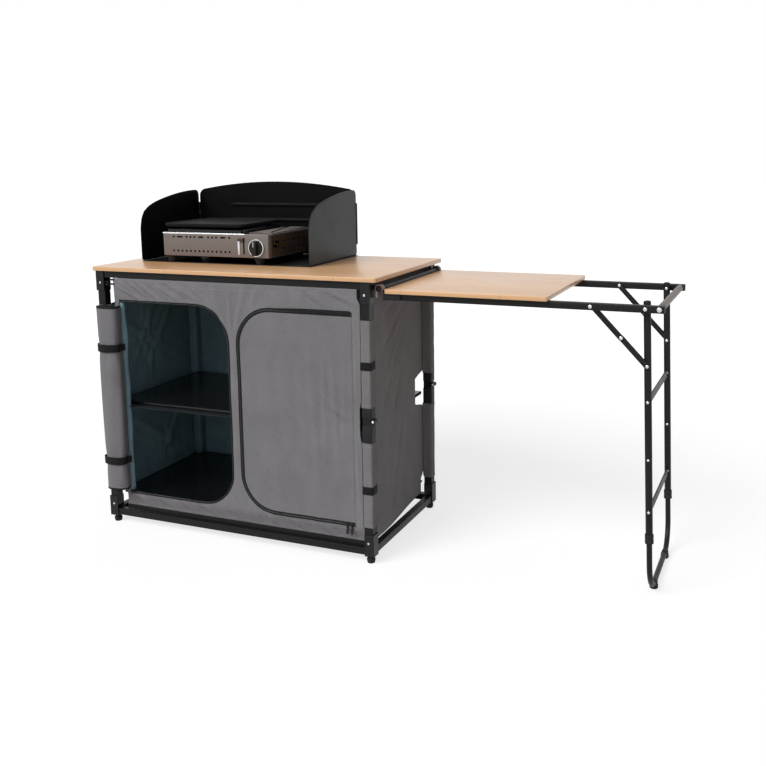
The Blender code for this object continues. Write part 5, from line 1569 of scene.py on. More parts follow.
    def gusset(self, x: float, y: float, side: int, end: int, low: float, high: float,
               reach: float = 0.0008) -> Array:
        """Cloth round the inside of a leg's sleeve: an angle strip with a round bend.

        Args:
            x: X of the frame's corner.
            y: Y of it.
            side: the corner's way out in X.
            end: its way out in Y.
            low: the strip's lowest point.
            high: its highest point.
            reach: how far short of the frame's side it ends.

        Returns:
            The strip's grid.
        """
        step = self.corner
        corners = np.array([(x - side * step, y - end * 0.0008), (x - side * step, y - end * step),
                            (x - side * reach, y - end * step)])
        turn = np.linspace(0, np.pi / 2, 7)
        radius = 0.006
        bend = corners[1] + np.stack([side * radius * (1 - np.sin(turn)),
                                      end * radius * (1 - np.cos(turn))], -1)[::-1]
        line = evenly(np.vstack([corners[:1], bend, corners[2:]]), 20)
        heights = np.linspace(low, high, 13)[:, None]
        grid = Plane.PLAN.place(np.broadcast_to(line[None], (len(heights), *line.shape)), heights)
        return facing(grid, (side, end, 0))

    def build_walls(self) -> None:
        """The four walls and the strips round the legs, cut as one length of cloth and lined."""
        near, slim = self.corner, 0.0050
        low, high = self.knee_window
        left, right, m = self.left, self.right, self.middle
        left_cell = [(0.066, self.hem), (m, self.hem), (m, self.top), (0.0690, self.top), (0.0715, 0.684),
                     (left + near, 0.680), (left + near, high), (0.0646, high - 0.014),
                     (0.0646, low + 0.014), (left + near, low), (left + near, 0.130), (0.0760, 0.122),
                     (0.0765, 0.096), (0.0720, 0.078)]
        right_cell = [(m, self.hem), (right - near + 0.0030, self.hem), (right - near + 0.0030, 0.098),
                      (right - near, 0.112), (right - near, low - 0.012),
                      (right - near - slim, low + 0.022), (right - near - slim, high - 0.006),
                      (right - near, high + 0.024), (right - near + 0.001, 0.672),
                      (right - near + 0.001, 0.728), (right - near - 0.007, 0.742),
                      (right - near - 0.007, self.top), (m, self.top)]
        grids = [self.cell(self.left_door, left_cell), self.cell(self.right_door, right_cell)]
        fl, fr = np.array([left, self.front]), np.array([right, self.front])
        br, bl = np.array([right, self.back]), np.array([left, self.back])
        knee = Notch(low - 0.002, high + 0.002, 0.024)
        wide = Notch(low - 0.002, high + 0.006, 0.064, 0.010)
        top = Notch(self.top_window, 9.0, 0.024)
        foot = Notch(-1.0, 0.124, 0.020)
        gap = Notch(low - 0.020, high + 0.006, 0.060, 0.010)
        left_foot = Notch(-1.0, 0.122, 0.064, 0.010)
        left_top = Notch(0.676, 9.0, 0.064, 0.010)
        grids.append(self.wall(fr, br, np.array([1.0, 0.0]), self.right_creases, 3, ((), (wide, foot)), 66,
                               self.front, 0.0025, self.slant, self.right_drop))
        grids.append(self.wall(br, bl, np.array([0.0, 1.0]), self.back_creases, 5,
                               ((gap, foot, top), ()), 100, right, 0.0030))
        grids.append(self.wall(bl, fl, np.array([-1.0, 0.0]), self.left_creases, 9,
                               ((), (left_foot, knee, left_top)), 60, self.back, 0.0025))
        for x, side in ((left, -1), (right, 1)):
            for y, end in ((self.front, -1), (self.back, 1)):
                reach = 0.0264 if side == end == 1 else 0.0008
                if side == -1 and end == 1:
                    grids.append(self.gusset(x, y, side, end, self.low, self.top))
                    continue
                grids.append(self.gusset(x, y, side, end, self.low + 0.03, low, reach))
                grids.append(self.gusset(x, y, side, end, high, self.top_window, reach))
        piece = make_piece("cupboard_cloth", Shape(grids), CUPBOARD_CANVAS, "top",
                           closed=False, replaces=["fabric_cupboard"], sharp=70)
        thicken(piece, self.cloth, LINING)
        fold_with_frame(piece)

    def build_floors(self) -> None:
        """Floor and shelf cloths: a rectangle with its corners cut out round the legs."""
        for name, z in (("floor_cloth", 0.0872), ("shelf_cloth", self.shelf)):
            x0, x1 = self.left + 0.0022, self.right - 0.0022
            y0, y1 = self.front + 0.0050, self.back - 0.0022
            a, b = self.left + self.corner, self.right - self.corner
            c, d = self.front + self.corner, self.back - self.corner
            along = np.linspace(c, 0.440, 9)
            side = [(x1 - self.slant[2] * smooth_step(y, *self.slant[:2]), y) for y in along if y < 0.385]
            near = [(x0, 0.104), (0.084, y0)] if name == "floor_cloth" else [(x0, c), (a, c), (a, y0)]
            corners = [*near, (b, y0), (b, c), *side, (0.822, y1), (a, y1), (a, d), (x0, d)]
            sheet = plate(Plane.PLAN, np.array(corners), z - 0.0007, z + 0.0007, 0.0003, 2)
            # Painted shade: the floor and shelf cloths take the near-black copy of the lining for the
            # cupboard's shade.
            piece = make_piece(name, sheet, SHADED_SHELF_LINING, "top")
            fold_with_frame(piece)

    def build_right_door(self) -> None:
        """Zipped door: rows of points from its round inner edge to its sewn edge, on the front's folds."""
        inner, outer = self.right_door
        play = 0.0012
        turn = np.linspace(0, np.pi, 131)
        low, high = self.door_low + play, self.door_high - play
        z = low + (high - low) * (1 - np.cos(turn)) / 2
        radius = self.door_radius - play
        past = np.maximum(np.maximum(z - (high - radius), (low + radius) - z), 0)
        edge = inner + play + radius - np.sqrt(np.maximum(radius ** 2 - past ** 2, 0))
        share = np.linspace(0, 1, 97)
        x = edge[:, None] * (1 - share) + outer * share
        zz = np.broadcast_to(z[:, None], x.shape)
        grid = Plane.FRONT.place(np.stack([x, zz], -1), self.front_face(x, zz) + self.cloth / 2)
        grid = facing(np.concatenate([grid, np.stack([x, zz], -1)], -1), (0, -1, 0))
        piece = make_piece("right_door_panel", Shape([grid]), DOOR_CANVAS, "right_door",
                           closed=False, replaces=["right_door"], sharp=70)
        thicken(piece, self.cloth - 0.0001, LINING)
        fold_with_frame(piece)

    def trim_path(self, line: Array, spacing: float, lift: float) -> Array:
        """Lays a line on the front's folds.

        Args:
            line: points in X and Z.
            spacing: distance between the new points.
            lift: how far in front of the cloth they are.

        Returns:
            Points (P, 3).
        """
        run = np.linalg.norm(np.diff(line, axis=0), axis=1).sum()
        line = evenly(line, int(run / spacing) + 2)
        return Plane.FRONT.place(line, self.front_face(line[:, 0], line[:, 1]) - lift)

    def zip_half(self, name: str, door: tuple[float, float], out: float, body: str) -> None:
        """Half a zip: a flat tape carried along the door's edge, and the coil that stands on its inner side.

        The coil's section swells and shrinks every other step, which makes its teeth.

        Args:
            name: what the two pieces' names start with.
            door: X of the opening's inner and outer edge.
            out: how far outside the opening's edge the tape's middle runs.
            body: the body that carries it.
        """
        way = 1 if out > 0 else -1
        tape = carried(self.trim_path(self.door_line(*door, out), 0.006, 0.0002),
                       capped_profile(*self.zip_tape, 0.0003, 2), (0, -1, 0))
        pieces = [make_piece(name + "_tape", tape, ZIP_TAPE, body)]
        radius, spacing = self.zip_coil
        path = self.trim_path(self.door_line(*door, way * 0.0009), spacing, 0.0008)
        swell = np.where(np.arange(len(path)) % 2 == 0, 1.0, 0.62)
        coil = carried(path, ring_profile(radius, 6)[None] * swell[:, None, None], (0, -1, 0))
        pieces.append(make_piece(name + "_coil", coil, ZIP_COIL, body, sharp=80))
        for piece in pieces:
            fold_with_frame(piece)

    def build_zips(self) -> None:
        """The right door's zip with its pulls and rain flap, the left doorway's half, and the bound hem."""
        self.zip_half("right_zip_frame", self.right_door, 0.0031, "top")
        self.zip_half("right_zip_door", self.right_door, -0.0031, "right_door")
        self.zip_half("left_zip_frame", self.left_door, 0.0027, "top")
        over = self.door_high + 0.0042
        path = self.trim_path(np.array([(self.right_door[0] + 0.100, over), (0.8485, over)]), 0.006, 0.0022)
        taper = 0.35 + 0.65 * smooth_step(path[:, 0], 0.600, 0.720)
        size = np.stack([taper * 0.0052, np.ones(len(path))], -1)
        section = capped_profile(1.0, 0.0006, 0.0005, 2)[None] * size[:, None]
        flap = make_piece("zip_rain_flap", carried(path, section, (0, -1, 0)), BINDING, "top")
        fold_with_frame(flap)
        for number, x in enumerate(self.pulls, 1):
            self.build_pull(f"zip_pull_{number}", x)
        under = self.hem - 0.0058
        line = np.array([(0.066, under), (self.right - self.corner + 0.0026, under)])
        binding = carried(self.trim_path(line, 0.008, -0.0006), capped_profile(0.0072, 0.0010, 0.0008, 2),
                          (0, -1, 0))
        band = make_piece("hem_binding", binding, BINDING, "top")
        fold_with_frame(band)

    def build_pull(self, name: str, x: float) -> None:
        """Zip slider with its hanging pull: a small body, a bail and a tab that widens downwards.

        Args:
            name: the piece's name.
            x: X of its middle.
        """
        z = self.door_low
        face = float(self.front_face(np.array(x), np.array(z)))
        slider = plate(Plane.FRONT, rounded(rectangle(x - 0.0045, x + 0.0045, z - 0.004, z + 0.004), 0.0018),
                       face - 0.0036, face - 0.0004, 0.0008)
        bail = plate(Plane.FRONT, rounded(rectangle(x - 0.0016, x + 0.0016, z - 0.006, z + 0.003), 0.0012),
                     face - 0.0050, face - 0.0034, 0.0005)
        tab = rounded(np.array([(x - 0.0022, z - 0.005), (x + 0.0022, z - 0.005), (x + 0.0034, z - 0.024),
                                (x + 0.0028, z - 0.029), (x - 0.0028, z - 0.029), (x - 0.0034, z - 0.024)]),
                      0.001)
        pull = plate(Plane.FRONT, tab, face - 0.0048, face - 0.0022, 0.0009)
        piece = make_piece(name, slider + bail + pull, MOULDED_BLACK, "right_door")
        fold_with_frame(piece)

    def spiral(self, count: int) -> tuple[Array, Array]:
        """The rolled door in plan: an oval spiral from its core to its outside, and a tail to its sewn edge.

        Args:
            count: points along it.

        Returns:
            Points in plan, and the way out at each.
        """
        share = np.linspace(0, 1, count)
        last = 0.55
        turn = last - 2 * np.pi * self.roll_turns * (1 - share)
        out = np.stack([np.cos(turn), np.sin(turn)], -1)
        line = np.array(self.roll_middle) + out * np.array(self.roll_half) * (0.30 + 0.70 * share)[:, None]
        tail = line[-1] + (np.array([0.0890, 0.0090]) - line[-1]) * np.linspace(0, 1, 7)[1:, None]
        return np.vstack([line, tail]), np.vstack([out, np.repeat(out[-1:], len(tail), 0)])

    def roll_grid(self, low: float, high: float, rows: int) -> Array:
        """Rows of the spiral up the roll, drawn in at the straps with gathers that spread from them.

        Args:
            low: the first row's height.
            high: the last row's height.
            rows: how many rows.

        Returns:
            The roll's grid with UV places.
        """
        line, out = self.spiral(220)
        z = np.linspace(low, high, rows)[:, None]
        near = sum(np.exp(-((z - strap) / 0.030) ** 2) for strap in TIE_HEIGHTS)
        turn = np.unwrap(np.arctan2(out[:, 1], out[:, 0]))[None]
        gathers = 0.0009 * np.sin(9 * turn) * near * (1 - 0.6 * near)
        length = 0.0010 * np.sin(3 * turn + 5 * z) + 0.0006 * np.sin(5 * turn - 14 * z + 1.3)
        middle = np.array(self.roll_middle)
        plan = line[None] - (line - middle)[None] / 0.034 * (0.0034 * near)[..., None]
        plan = plan + out[None] * (gathers + length)[..., None]
        plan[..., 0] = np.clip(plan[..., 0], 0.0184, 0.0985)
        grid = Plane.PLAN.place(plan, np.broadcast_to(z, plan.shape[:2]))
        run = np.concatenate([[0], np.cumsum(np.linalg.norm(np.diff(line, axis=0), axis=1))])
        uv = np.stack(np.broadcast_arrays(run[None], z), -1)
        return np.concatenate([grid, uv], -1)

    def build_roll(self) -> None:
        """Left door rolled up beside its leg: one spiral sheet, with the zip's tape along both its ends."""
        low, high = self.roll_span
        roll = make_piece("left_door_roll", Shape([self.roll_grid(low, high, 90)]), DOOR_CANVAS, "top",
                          closed=False, replaces=["rolled_left_door"], sharp=80)
        thicken(roll, self.cloth, LINING)
        for name, span in (("top", (high - 0.0055, high + 0.0004)), ("bottom", (low - 0.0004, low + 0.0050))):
            tape = make_piece(f"roll_tape_{name}", Shape([self.roll_grid(*span, 4)]), ZIP_TAPE, "top",
                              closed=False, sharp=80)
            thicken(tape, 0.0026)
            fold_with_frame(tape)
        fold_with_frame(roll)
        plan = evenly(np.array([(0.0880, 0.0128), (0.0925, 0.0140), (0.0970, 0.0170), (0.0995, 0.0230)]), 9)
        heights = np.linspace(0.111, 0.6955, 40)
        lift = ripples(np.zeros(len(heights)), heights, 4, 0.0012, 0.08)[:, None, None]
        edge = plan[None] + lift * np.linspace(0, 1, len(plan))[None, :, None]
        grid = facing(Plane.PLAN.place(edge, heights[:, None]), (0, -1, 0))
        strip = make_piece("left_door_edge", Shape([grid]), LINING, "top", closed=False,
                           sharp=70)
        thicken(strip, 0.0014)
        fold_with_frame(strip)

    def build_ties(self) -> None:
        """Straps round the roll with short tails, and the loops at the cloth's top left corner."""
        turn = np.linspace(0, 2 * np.pi, 49)[:-1]
        for name, z in zip(("upper", "lower"), TIE_HEIGHTS):
            oval = np.array(self.roll_middle) + np.stack([(self.roll_half[0] - 0.0008) * np.cos(turn),
                                                          (self.roll_half[1] + 0.0004) * np.sin(turn)], -1)
            band = carried(Plane.PLAN.place(oval, z), capped_profile(0.0009, 0.0115, 0.0006), (0, 0, 1),
                           closed=True)
            line = np.array([(0.0925, -0.0035), (0.0965, 0.0030), (0.0985, 0.0070), (0.1010, 0.0086)])
            tail = carried(Plane.PLAN.place(evenly(line, 14), z), capped_profile(0.0007, 0.0100, 0.0005),
                           (0, 0, 1))
            strap = make_piece(f"roll_strap_{name}", band + tail, STRAP, "top")
            fold_with_frame(strap)
        ring = 0.0050 * np.stack([np.cos(turn[::2]), np.sin(turn[::2])], -1) + np.array([0.0480, 0.7510])
        loop = carried(Plane.FRONT.place(ring, 0.0085), ring_profile(0.0014, 8), (0, 1, 0), closed=True)
        tabs = []
        for height in (0.7490, 0.7620):
            tab = rounded(rectangle(0.0585, 0.0735, height - 0.0027, height + 0.0027), 0.0014)
            tabs.append(plate(Plane.FRONT, tab, 0.0076, 0.0094, 0.0006))
        hook = make_piece("cloth_loops", loop + joined(tabs), MOULDED_BLACK, "top")
        fold_with_frame(hook)


@dataclass
class Boards:
    """Shelf and floor boards inside the cupboard."""

    def build(self) -> None:
        """Both boards keep their nodes' shapes, with soft edges."""
        dress_node("shelf_board", MELAMINE, 0.0012)
        dress_node("floor_board", MELAMINE, 0.0010)


@dataclass
class SideTable:
    """Bamboo board on two rails that hook over the cabinet's tube."""

    middle: float = 0.250
    rail_start: float = 0.946
    rail_end: float = 1.656
    rail_y: tuple[float, float] = (0.041, 0.459)
    rail: float = 0.018
    axis: float = 0.7467
    board: tuple[float, float] = (0.940, 1.379)
    board_y: tuple[float, float] = (0.027, 0.473)
    board_z: tuple[float, float] = (0.756, 0.768)
    tube_x: float = 0.925
    tube_z: float = 0.768
    tube_radius: float = 0.008
    hook_width: float = 0.0130
    hook_inside: float = 0.0005  # from the tube's surface to the hook
    hook_outside: float = 0.0055  # from the tube's surface to the hook's outside
    hook_tongue: float = 0.0250  # how far its tongue reaches below the tube's middle
    hook_tip: float = 0.7640  # height at which the hook meets its shank
    shank: tuple[float, float, float] = (0.0035, 0.045, 0.0046)  # neck, reach and thickness
    brace_x: float = 1.481
    leg_x: float = 1.612
    end_x: float = 1.645

    def build(self) -> None:
        """Board, rails with plugs and rivets, end tube, hooks and the tube that they hang on."""
        outline = rounded(rectangle(*self.board, *self.board_y), 0.006)
        board = plate(Plane.PLAN, outline, *self.board_z, 0.0014)
        make_piece("side_board_slab", board, BAMBOO, "side_table", replaces=["side_board"])
        for end in End:
            self.build_rail(end)
            self.build_hook(end)
        self.build_end_tube()
        self.build_hook_tube()

    def outer_face(self, end: End) -> float:
        """Y of a rail's outer face."""
        return self.rail_y[0] if end is End.front else self.rail_y[1]

    def build_rail(self, end: End) -> None:
        """Square tube: a rounded square carried along X, a plug in each end, and zinc rivets outside.

        Args:
            end: which rail.
        """
        face = self.outer_face(end)
        y = face - end.value * self.rail / 2
        path = np.array([(x, y, self.axis) for x in np.linspace(self.rail_start, self.rail_end, 12)])
        tube = carried(path, capped_profile(self.rail / 2, self.rail / 2, 0.0022, 4), (0, 0, 1))
        name = f"side_rail_{end.name}"
        make_piece(name + "_tube", tube, POWDER_COAT, "side_table", replaces=[name])
        plugs = []
        for x, way in ((self.rail_start, -1), (self.rail_end, 1)):
            square = rounded(rectangle(y - 0.0088, y + 0.0088, self.axis - 0.0088, self.axis + 0.0088), 0.002)
            low, high = sorted((x - way * 0.0010, x + way * 0.0014))
            plugs.append(plate(Plane.SIDE, square, low, high, 0.0008))
        make_piece(name + "_plugs", joined(plugs), MOULDED_BLACK, "side_table")
        heads = [dome((x, face, self.axis), (0, end.value, 0), radius, 0.0019)
                 for x, radius in ((self.brace_x, 0.0050), (self.leg_x, 0.0050), (self.end_x, 0.0062))]
        inner = face - end.value * self.rail
        heads.append(dome((self.leg_x, inner, self.axis), (0, -end.value, 0), 0.0040, 0.0010))
        make_piece(name + "_rivets", joined(heads), ZINC, "side_table")

    def build_hook(self, end: End) -> None:
        """Hook plate: a strap along the rail that arches over the tube and ends in a tongue.

        Args:
            end: which rail it is on.
        """
        outer, inner = self.tube_radius + self.hook_outside, self.tube_radius + self.hook_inside
        neck, reach, wall = self.shank
        play = 0.0002
        turn = np.linspace(0, np.pi, 19)
        over = np.stack([self.tube_x - outer * np.cos(turn), self.tube_z + outer * np.sin(turn)], -1)
        under = np.stack([self.tube_x + inner * np.cos(turn), self.tube_z + inner * np.sin(turn)], -1)
        low, high = self.axis - self.rail / 2, self.axis + self.rail / 2
        root = self.tube_x + outer + neck
        tongue, tip = self.tube_z - self.hook_tongue, self.hook_tip
        outline = np.vstack([[(self.tube_x - outer, tongue)], over,
                             [(self.tube_x + outer, tip), (self.tube_x + inner, tip)], under,
                             [(self.tube_x - inner, tongue)]])
        face = self.outer_face(end) + end.value * 0.0003
        near, far = sorted((face, face + end.value * self.hook_width))
        name = f"hook_{end.name}"
        hook = plate(Plane.FRONT, outline, near, far, 0.0010)
        make_piece(name + "_plate", hook, HOOK_STEEL, "side_table", replaces=[name])
        corners = [(self.tube_x + inner + play, low), (self.tube_x + outer + reach, low),
                   (self.tube_x + outer + reach, high), (root, high), (root, tip - play),
                   (self.tube_x + inner + play, tip - play)]
        near, far = sorted((face, face + end.value * wall))
        shank = plate(Plane.FRONT, rounded(np.array(corners), 0.0010), near, far, 0.0008)
        make_piece(name + "_shank", shank, BRACKET_PAINT, "side_table")

    def build_end_tube(self) -> None:
        """Round tube between the rails' right ends."""
        front, rear = self.rail_y[0] + 0.0183, self.rail_y[1] - 0.0183
        path = np.linspace((self.end_x, front, self.axis), (self.end_x, rear, self.axis), 8)
        tube = rod(path, 0.009, (0, 0, 1), 32)
        make_piece("side_end_tube", tube, HOOK_STEEL_ROUND, "side_table", replaces=["end_tube"])

    def build_hook_tube(self) -> None:
        """Tube under the worktop's right edge, with a plug at each end and two ears on the brackets."""
        path = np.linspace((self.tube_x, 0.0300, self.tube_z), (self.tube_x, 0.4700, self.tube_z), 8)
        tube = rod(path, self.tube_radius, (0, 0, 1), 32)
        ears = []
        for low in (0.0425, 0.4495):
            corners = np.array([(0.9086, 0.7612), (0.9250, 0.7612), (0.9250, 0.7748), (0.9086, 0.7748)])
            ears.append(plate(Plane.FRONT, rounded(corners, (0.0005, 0.0066, 0.0066, 0.0005)), low,
                              low + 0.008, 0.0008))
        make_piece("hook_tube_bar", tube + joined(ears), POWDER_COAT, "top",
                   replaces=["hook_tube"])
        plugs = [turned([(0, 0), (0.0078, 0), (0.0083, 0.0006), (0.0083, 0.0016), (0.0070, 0.0026),
                         (0, 0.0030)], (self.tube_x, y, self.tube_z), (0, way, 0), 24)
                 for y, way in ((0.0303, -1), (0.4697, 1))]
        make_piece("hook_tube_plugs", joined(plugs), MOULDED_BLACK, "top")


@dataclass
class SideLeg:
    """Folding leg of the side table: two tubes with cross bars, a sliding U, pads and braces."""

    pivot: tuple[float, float, float] = (1.612, 0.250, 0.7467)
    tilt: float = math.radians(2.2)
    tube_y: tuple[float, float] = (0.077, 0.423)
    radius: float = 0.0089
    top: float = 0.0145
    mouth: float = 0.149
    bars: tuple[float, float] = (0.512, 0.231)
    extension: float = 0.0071
    overlap: float = 0.235
    bend: float = 0.075
    brace_x: float = 1.481
    on_leg: float = 0.1444
    button: float = 0.366
    bar: tuple[float, float] = (0.010, 0.002)  # half a cross bar's width and half its thickness
    rivet_face: float = 0.0087  # from a tube's middle to the foot of a rivet's head
    pad_axis: float = 0.0143  # height of the U's lowest run
    pads_y: tuple[float, float] = (0.1475, 0.3525)
    brace_y: tuple[float, float] = (0.059, 0.441)
    brace_gaps: tuple[float, float] = (0.002, 0.005)  # from there inwards to the upper and the lower brace
    brace: tuple[float, float] = (0.007, 0.0025)  # half a brace's width, and its thickness

    def plumb(self, height: float) -> float:
        """Z before the leg is tilted of a point on it at this height above the floor."""
        return self.pivot[2] - (self.pivot[2] - height) / math.cos(self.tilt)

    def tilted(self, shape: Shape) -> Shape:
        """The shape turned with the leg about its pivot."""
        there = Matrix.Translation(self.pivot)
        return shape.moved(there @ Matrix.Rotation(-self.tilt, 4, "Y") @ there.inverted())

    def build(self) -> None:
        """Leg tubes, cross bars, collars and rivets, then the U with its pads, and the braces."""
        self.build_tubes()
        self.build_bars()
        self.build_extension()
        self.build_pads()
        self.build_braces()

    def build_tubes(self) -> None:
        """Two round tubes with a moulded cap on top and a collar at the mouth."""
        x = self.pivot[0]
        low, high = self.plumb(self.mouth), self.pivot[2] + self.top
        tubes, caps, collars = [], [], []
        for y in self.tube_y:
            tubes.append(rod(np.linspace((x, y, low), (x, y, high - 0.001), 6), self.radius, (0, 1, 0), 32))
            cap = [(0, -0.001), (self.radius, -0.001), (self.radius + 0.0004, 0.0),
                   (self.radius + 0.0002, 0.0012), (0.0076, 0.0028), (0.0045, 0.0040), (0, 0.0044)]
            caps.append(turned(cap, (x, y, high - 0.0022), (0, 0, 1), 28))
            collar = [(0.0074, -0.0003), (0.0105, -0.0003), (0.0109, 0.0003), (0.0109, 0.0075),
                      (0.0104, 0.0082), (0.0104, 0.0098), (0.0109, 0.0105), (0.0109, 0.0225),
                      (0.0103, 0.0240), (0.0074, 0.0244), (0.0074, -0.0003)]
            collars.append(turned(collar, (x, y, low), (0, 0, 1), 32))
        make_piece("side_leg_tubes", self.tilted(joined(tubes)), POWDER_COAT, "side_leg",
                   replaces=["side_leg_frame"])
        make_piece("side_leg_caps", self.tilted(joined(caps)), MOULDED_BLACK, "side_leg")
        make_piece("side_leg_collars", self.tilted(joined(collars)), MOULDED_BLACK, "side_leg")

    def build_bars(self) -> None:
        """Flat cross bars with zinc rivets, and the spring buttons on the tubes' fronts."""
        x = self.pivot[0]
        half_width, half_wall = self.bar
        bars, heads = [], []
        for height in self.bars:
            z = self.plumb(height)
            outline = rounded(rectangle(*self.tube_y, z - half_width, z + half_width), 0.002)
            bars.append(plate(Plane.SIDE, outline, x - half_wall, x + half_wall, 0.0008))
            for y, way in zip(self.tube_y, (1, -1)):
                heads.append(dome((x, y - self.rivet_face, z), (0, -1, 0), 0.0036, 0.0012, 16))
                heads.append(dome((x - half_wall, y + way * 0.018, z), (-1, 0, 0), 0.0034, 0.0012, 16))
        for y in self.tube_y:
            button = (x, y - self.rivet_face, self.plumb(self.button))
            heads.append(dome(button, (0, -1, 0), 0.0034, 0.0022, 16))
        for z in (self.pivot[2], self.pivot[2] - self.on_leg):
            heads.append(dome((x, self.tube_y[1] - self.rivet_face, z), (0, -1, 0), 0.0038, 0.0014, 16))
        make_piece("side_leg_bars", self.tilted(joined(bars)), POWDER_COAT, "side_leg")
        make_piece("side_leg_rivets", self.tilted(joined(heads)), ZINC, "side_leg")

    def build_extension(self) -> None:
        """Thinner tube bent to a U: its middle line runs down, round two quarter turns, and up."""
        low = self.plumb(self.pad_axis)
        high = self.plumb(self.mouth) + self.overlap
        front, rear = self.tube_y
        turn = np.linspace(0, np.pi / 2, 13)
        first = np.stack([front + self.bend * (1 - np.cos(turn)), low + self.bend * (1 - np.sin(turn))], -1)
        second = np.stack([rear - self.bend * (1 - np.sin(turn)), low + self.bend * (1 - np.cos(turn))], -1)
        line = np.vstack([[(front, high)], [(front, low + self.bend + 0.01)], first, second,
                          [(rear, low + self.bend + 0.01)], [(rear, high)]])
        path = Plane.SIDE.place(line, self.pivot[0])
        tube = rod(path, self.extension, (1, 0, 0), 28)
        make_piece("leg_extension_tube", self.tilted(tube), POWDER_COAT, "leg_extension",
                   replaces=["leg_extension"])

    def build_pads(self) -> None:
        """Rubber feet: a round pad under the tube and a band round it."""
        axis = self.pad_axis
        x = self.pivot[0] + (self.pivot[2] - axis) * math.tan(self.tilt)
        for end, y in zip(End, self.pads_y):
            pad = turned([(0, 0), (0.0092, 0), (0.0108, 0.0014), (0.0110, 0.0030), (0.0104, 0.0038),
                          (0.0110, 0.0046), (0.0110, 0.0105), (0.0098, 0.0130), (0, 0.0138)], (x, y, 0),
                         (0, 0, 1), 28)
            band = turned([(0.0070, -0.0110), (0.0082, -0.0110), (0.0089, -0.0100), (0.0089, 0.0100),
                           (0.0082, 0.0110), (0.0070, 0.0110), (0.0070, -0.0110)], (x, y, axis),
                          (0, 1, 0), 28)
            name = f"leg_pad_{end.name}"
            make_piece(name + "_rubber", pad + band, RUBBER, "leg_extension", replaces=[name])

    def knee(self) -> tuple[Array, Array, Array]:
        """The brace's pivots: on the rail, at its knee, and on the leg, all on one line."""
        upper = np.array([self.brace_x, self.pivot[2]])
        lower = np.array([self.pivot[0] + self.on_leg * math.sin(self.tilt),
                          self.pivot[2] - self.on_leg * math.cos(self.tilt)])
        length = float(np.linalg.norm(lower - upper))
        share = (length + self.on_leg - (self.pivot[0] - self.brace_x)) / 2 / length
        return upper, upper + (lower - upper) * share, lower

    def build_braces(self) -> None:
        """Flat bars with round ends between the pivots, with a rivet at each knee and on the leg."""
        upper, knee, lower = self.knee()
        first, second = self.brace_gaps
        half_width, wall = self.brace
        for end, face in zip(End, self.brace_y):
            way = -end.value
            for half, start, gap in (("upper", upper, first), ("lower", lower, second)):
                near, far = sorted((face + way * gap, face + way * (gap + wall)))
                bar = plate(Plane.FRONT, stadium(start, knee, half_width), near, far, 0.0005)
                name = f"{half}_brace_{end.name}"
                make_piece(name + "_bar", bar, POWDER_COAT, f"{half}_braces", replaces=[name])
            heads = [dome((knee[0], face + way * first, knee[1]), (0, end.value, 0), 0.0048, 0.0016),
                     dome((knee[0], face + way * 0.0075, knee[1]), (0, way, 0), 0.0042, 0.0012),
                     dome((upper[0], face + way * 0.0045, upper[1]), (0, way, 0), 0.0042, 0.0012)]
            make_piece(f"brace_knee_rivets_{end.name}", joined(heads), ZINC, "upper_braces")
            on_leg = dome((lower[0], face + way * second, lower[1]), (0, end.value, 0), 0.0042, 0.0012)
            make_piece(f"brace_leg_rivet_{end.name}", on_leg, ZINC, "lower_braces")


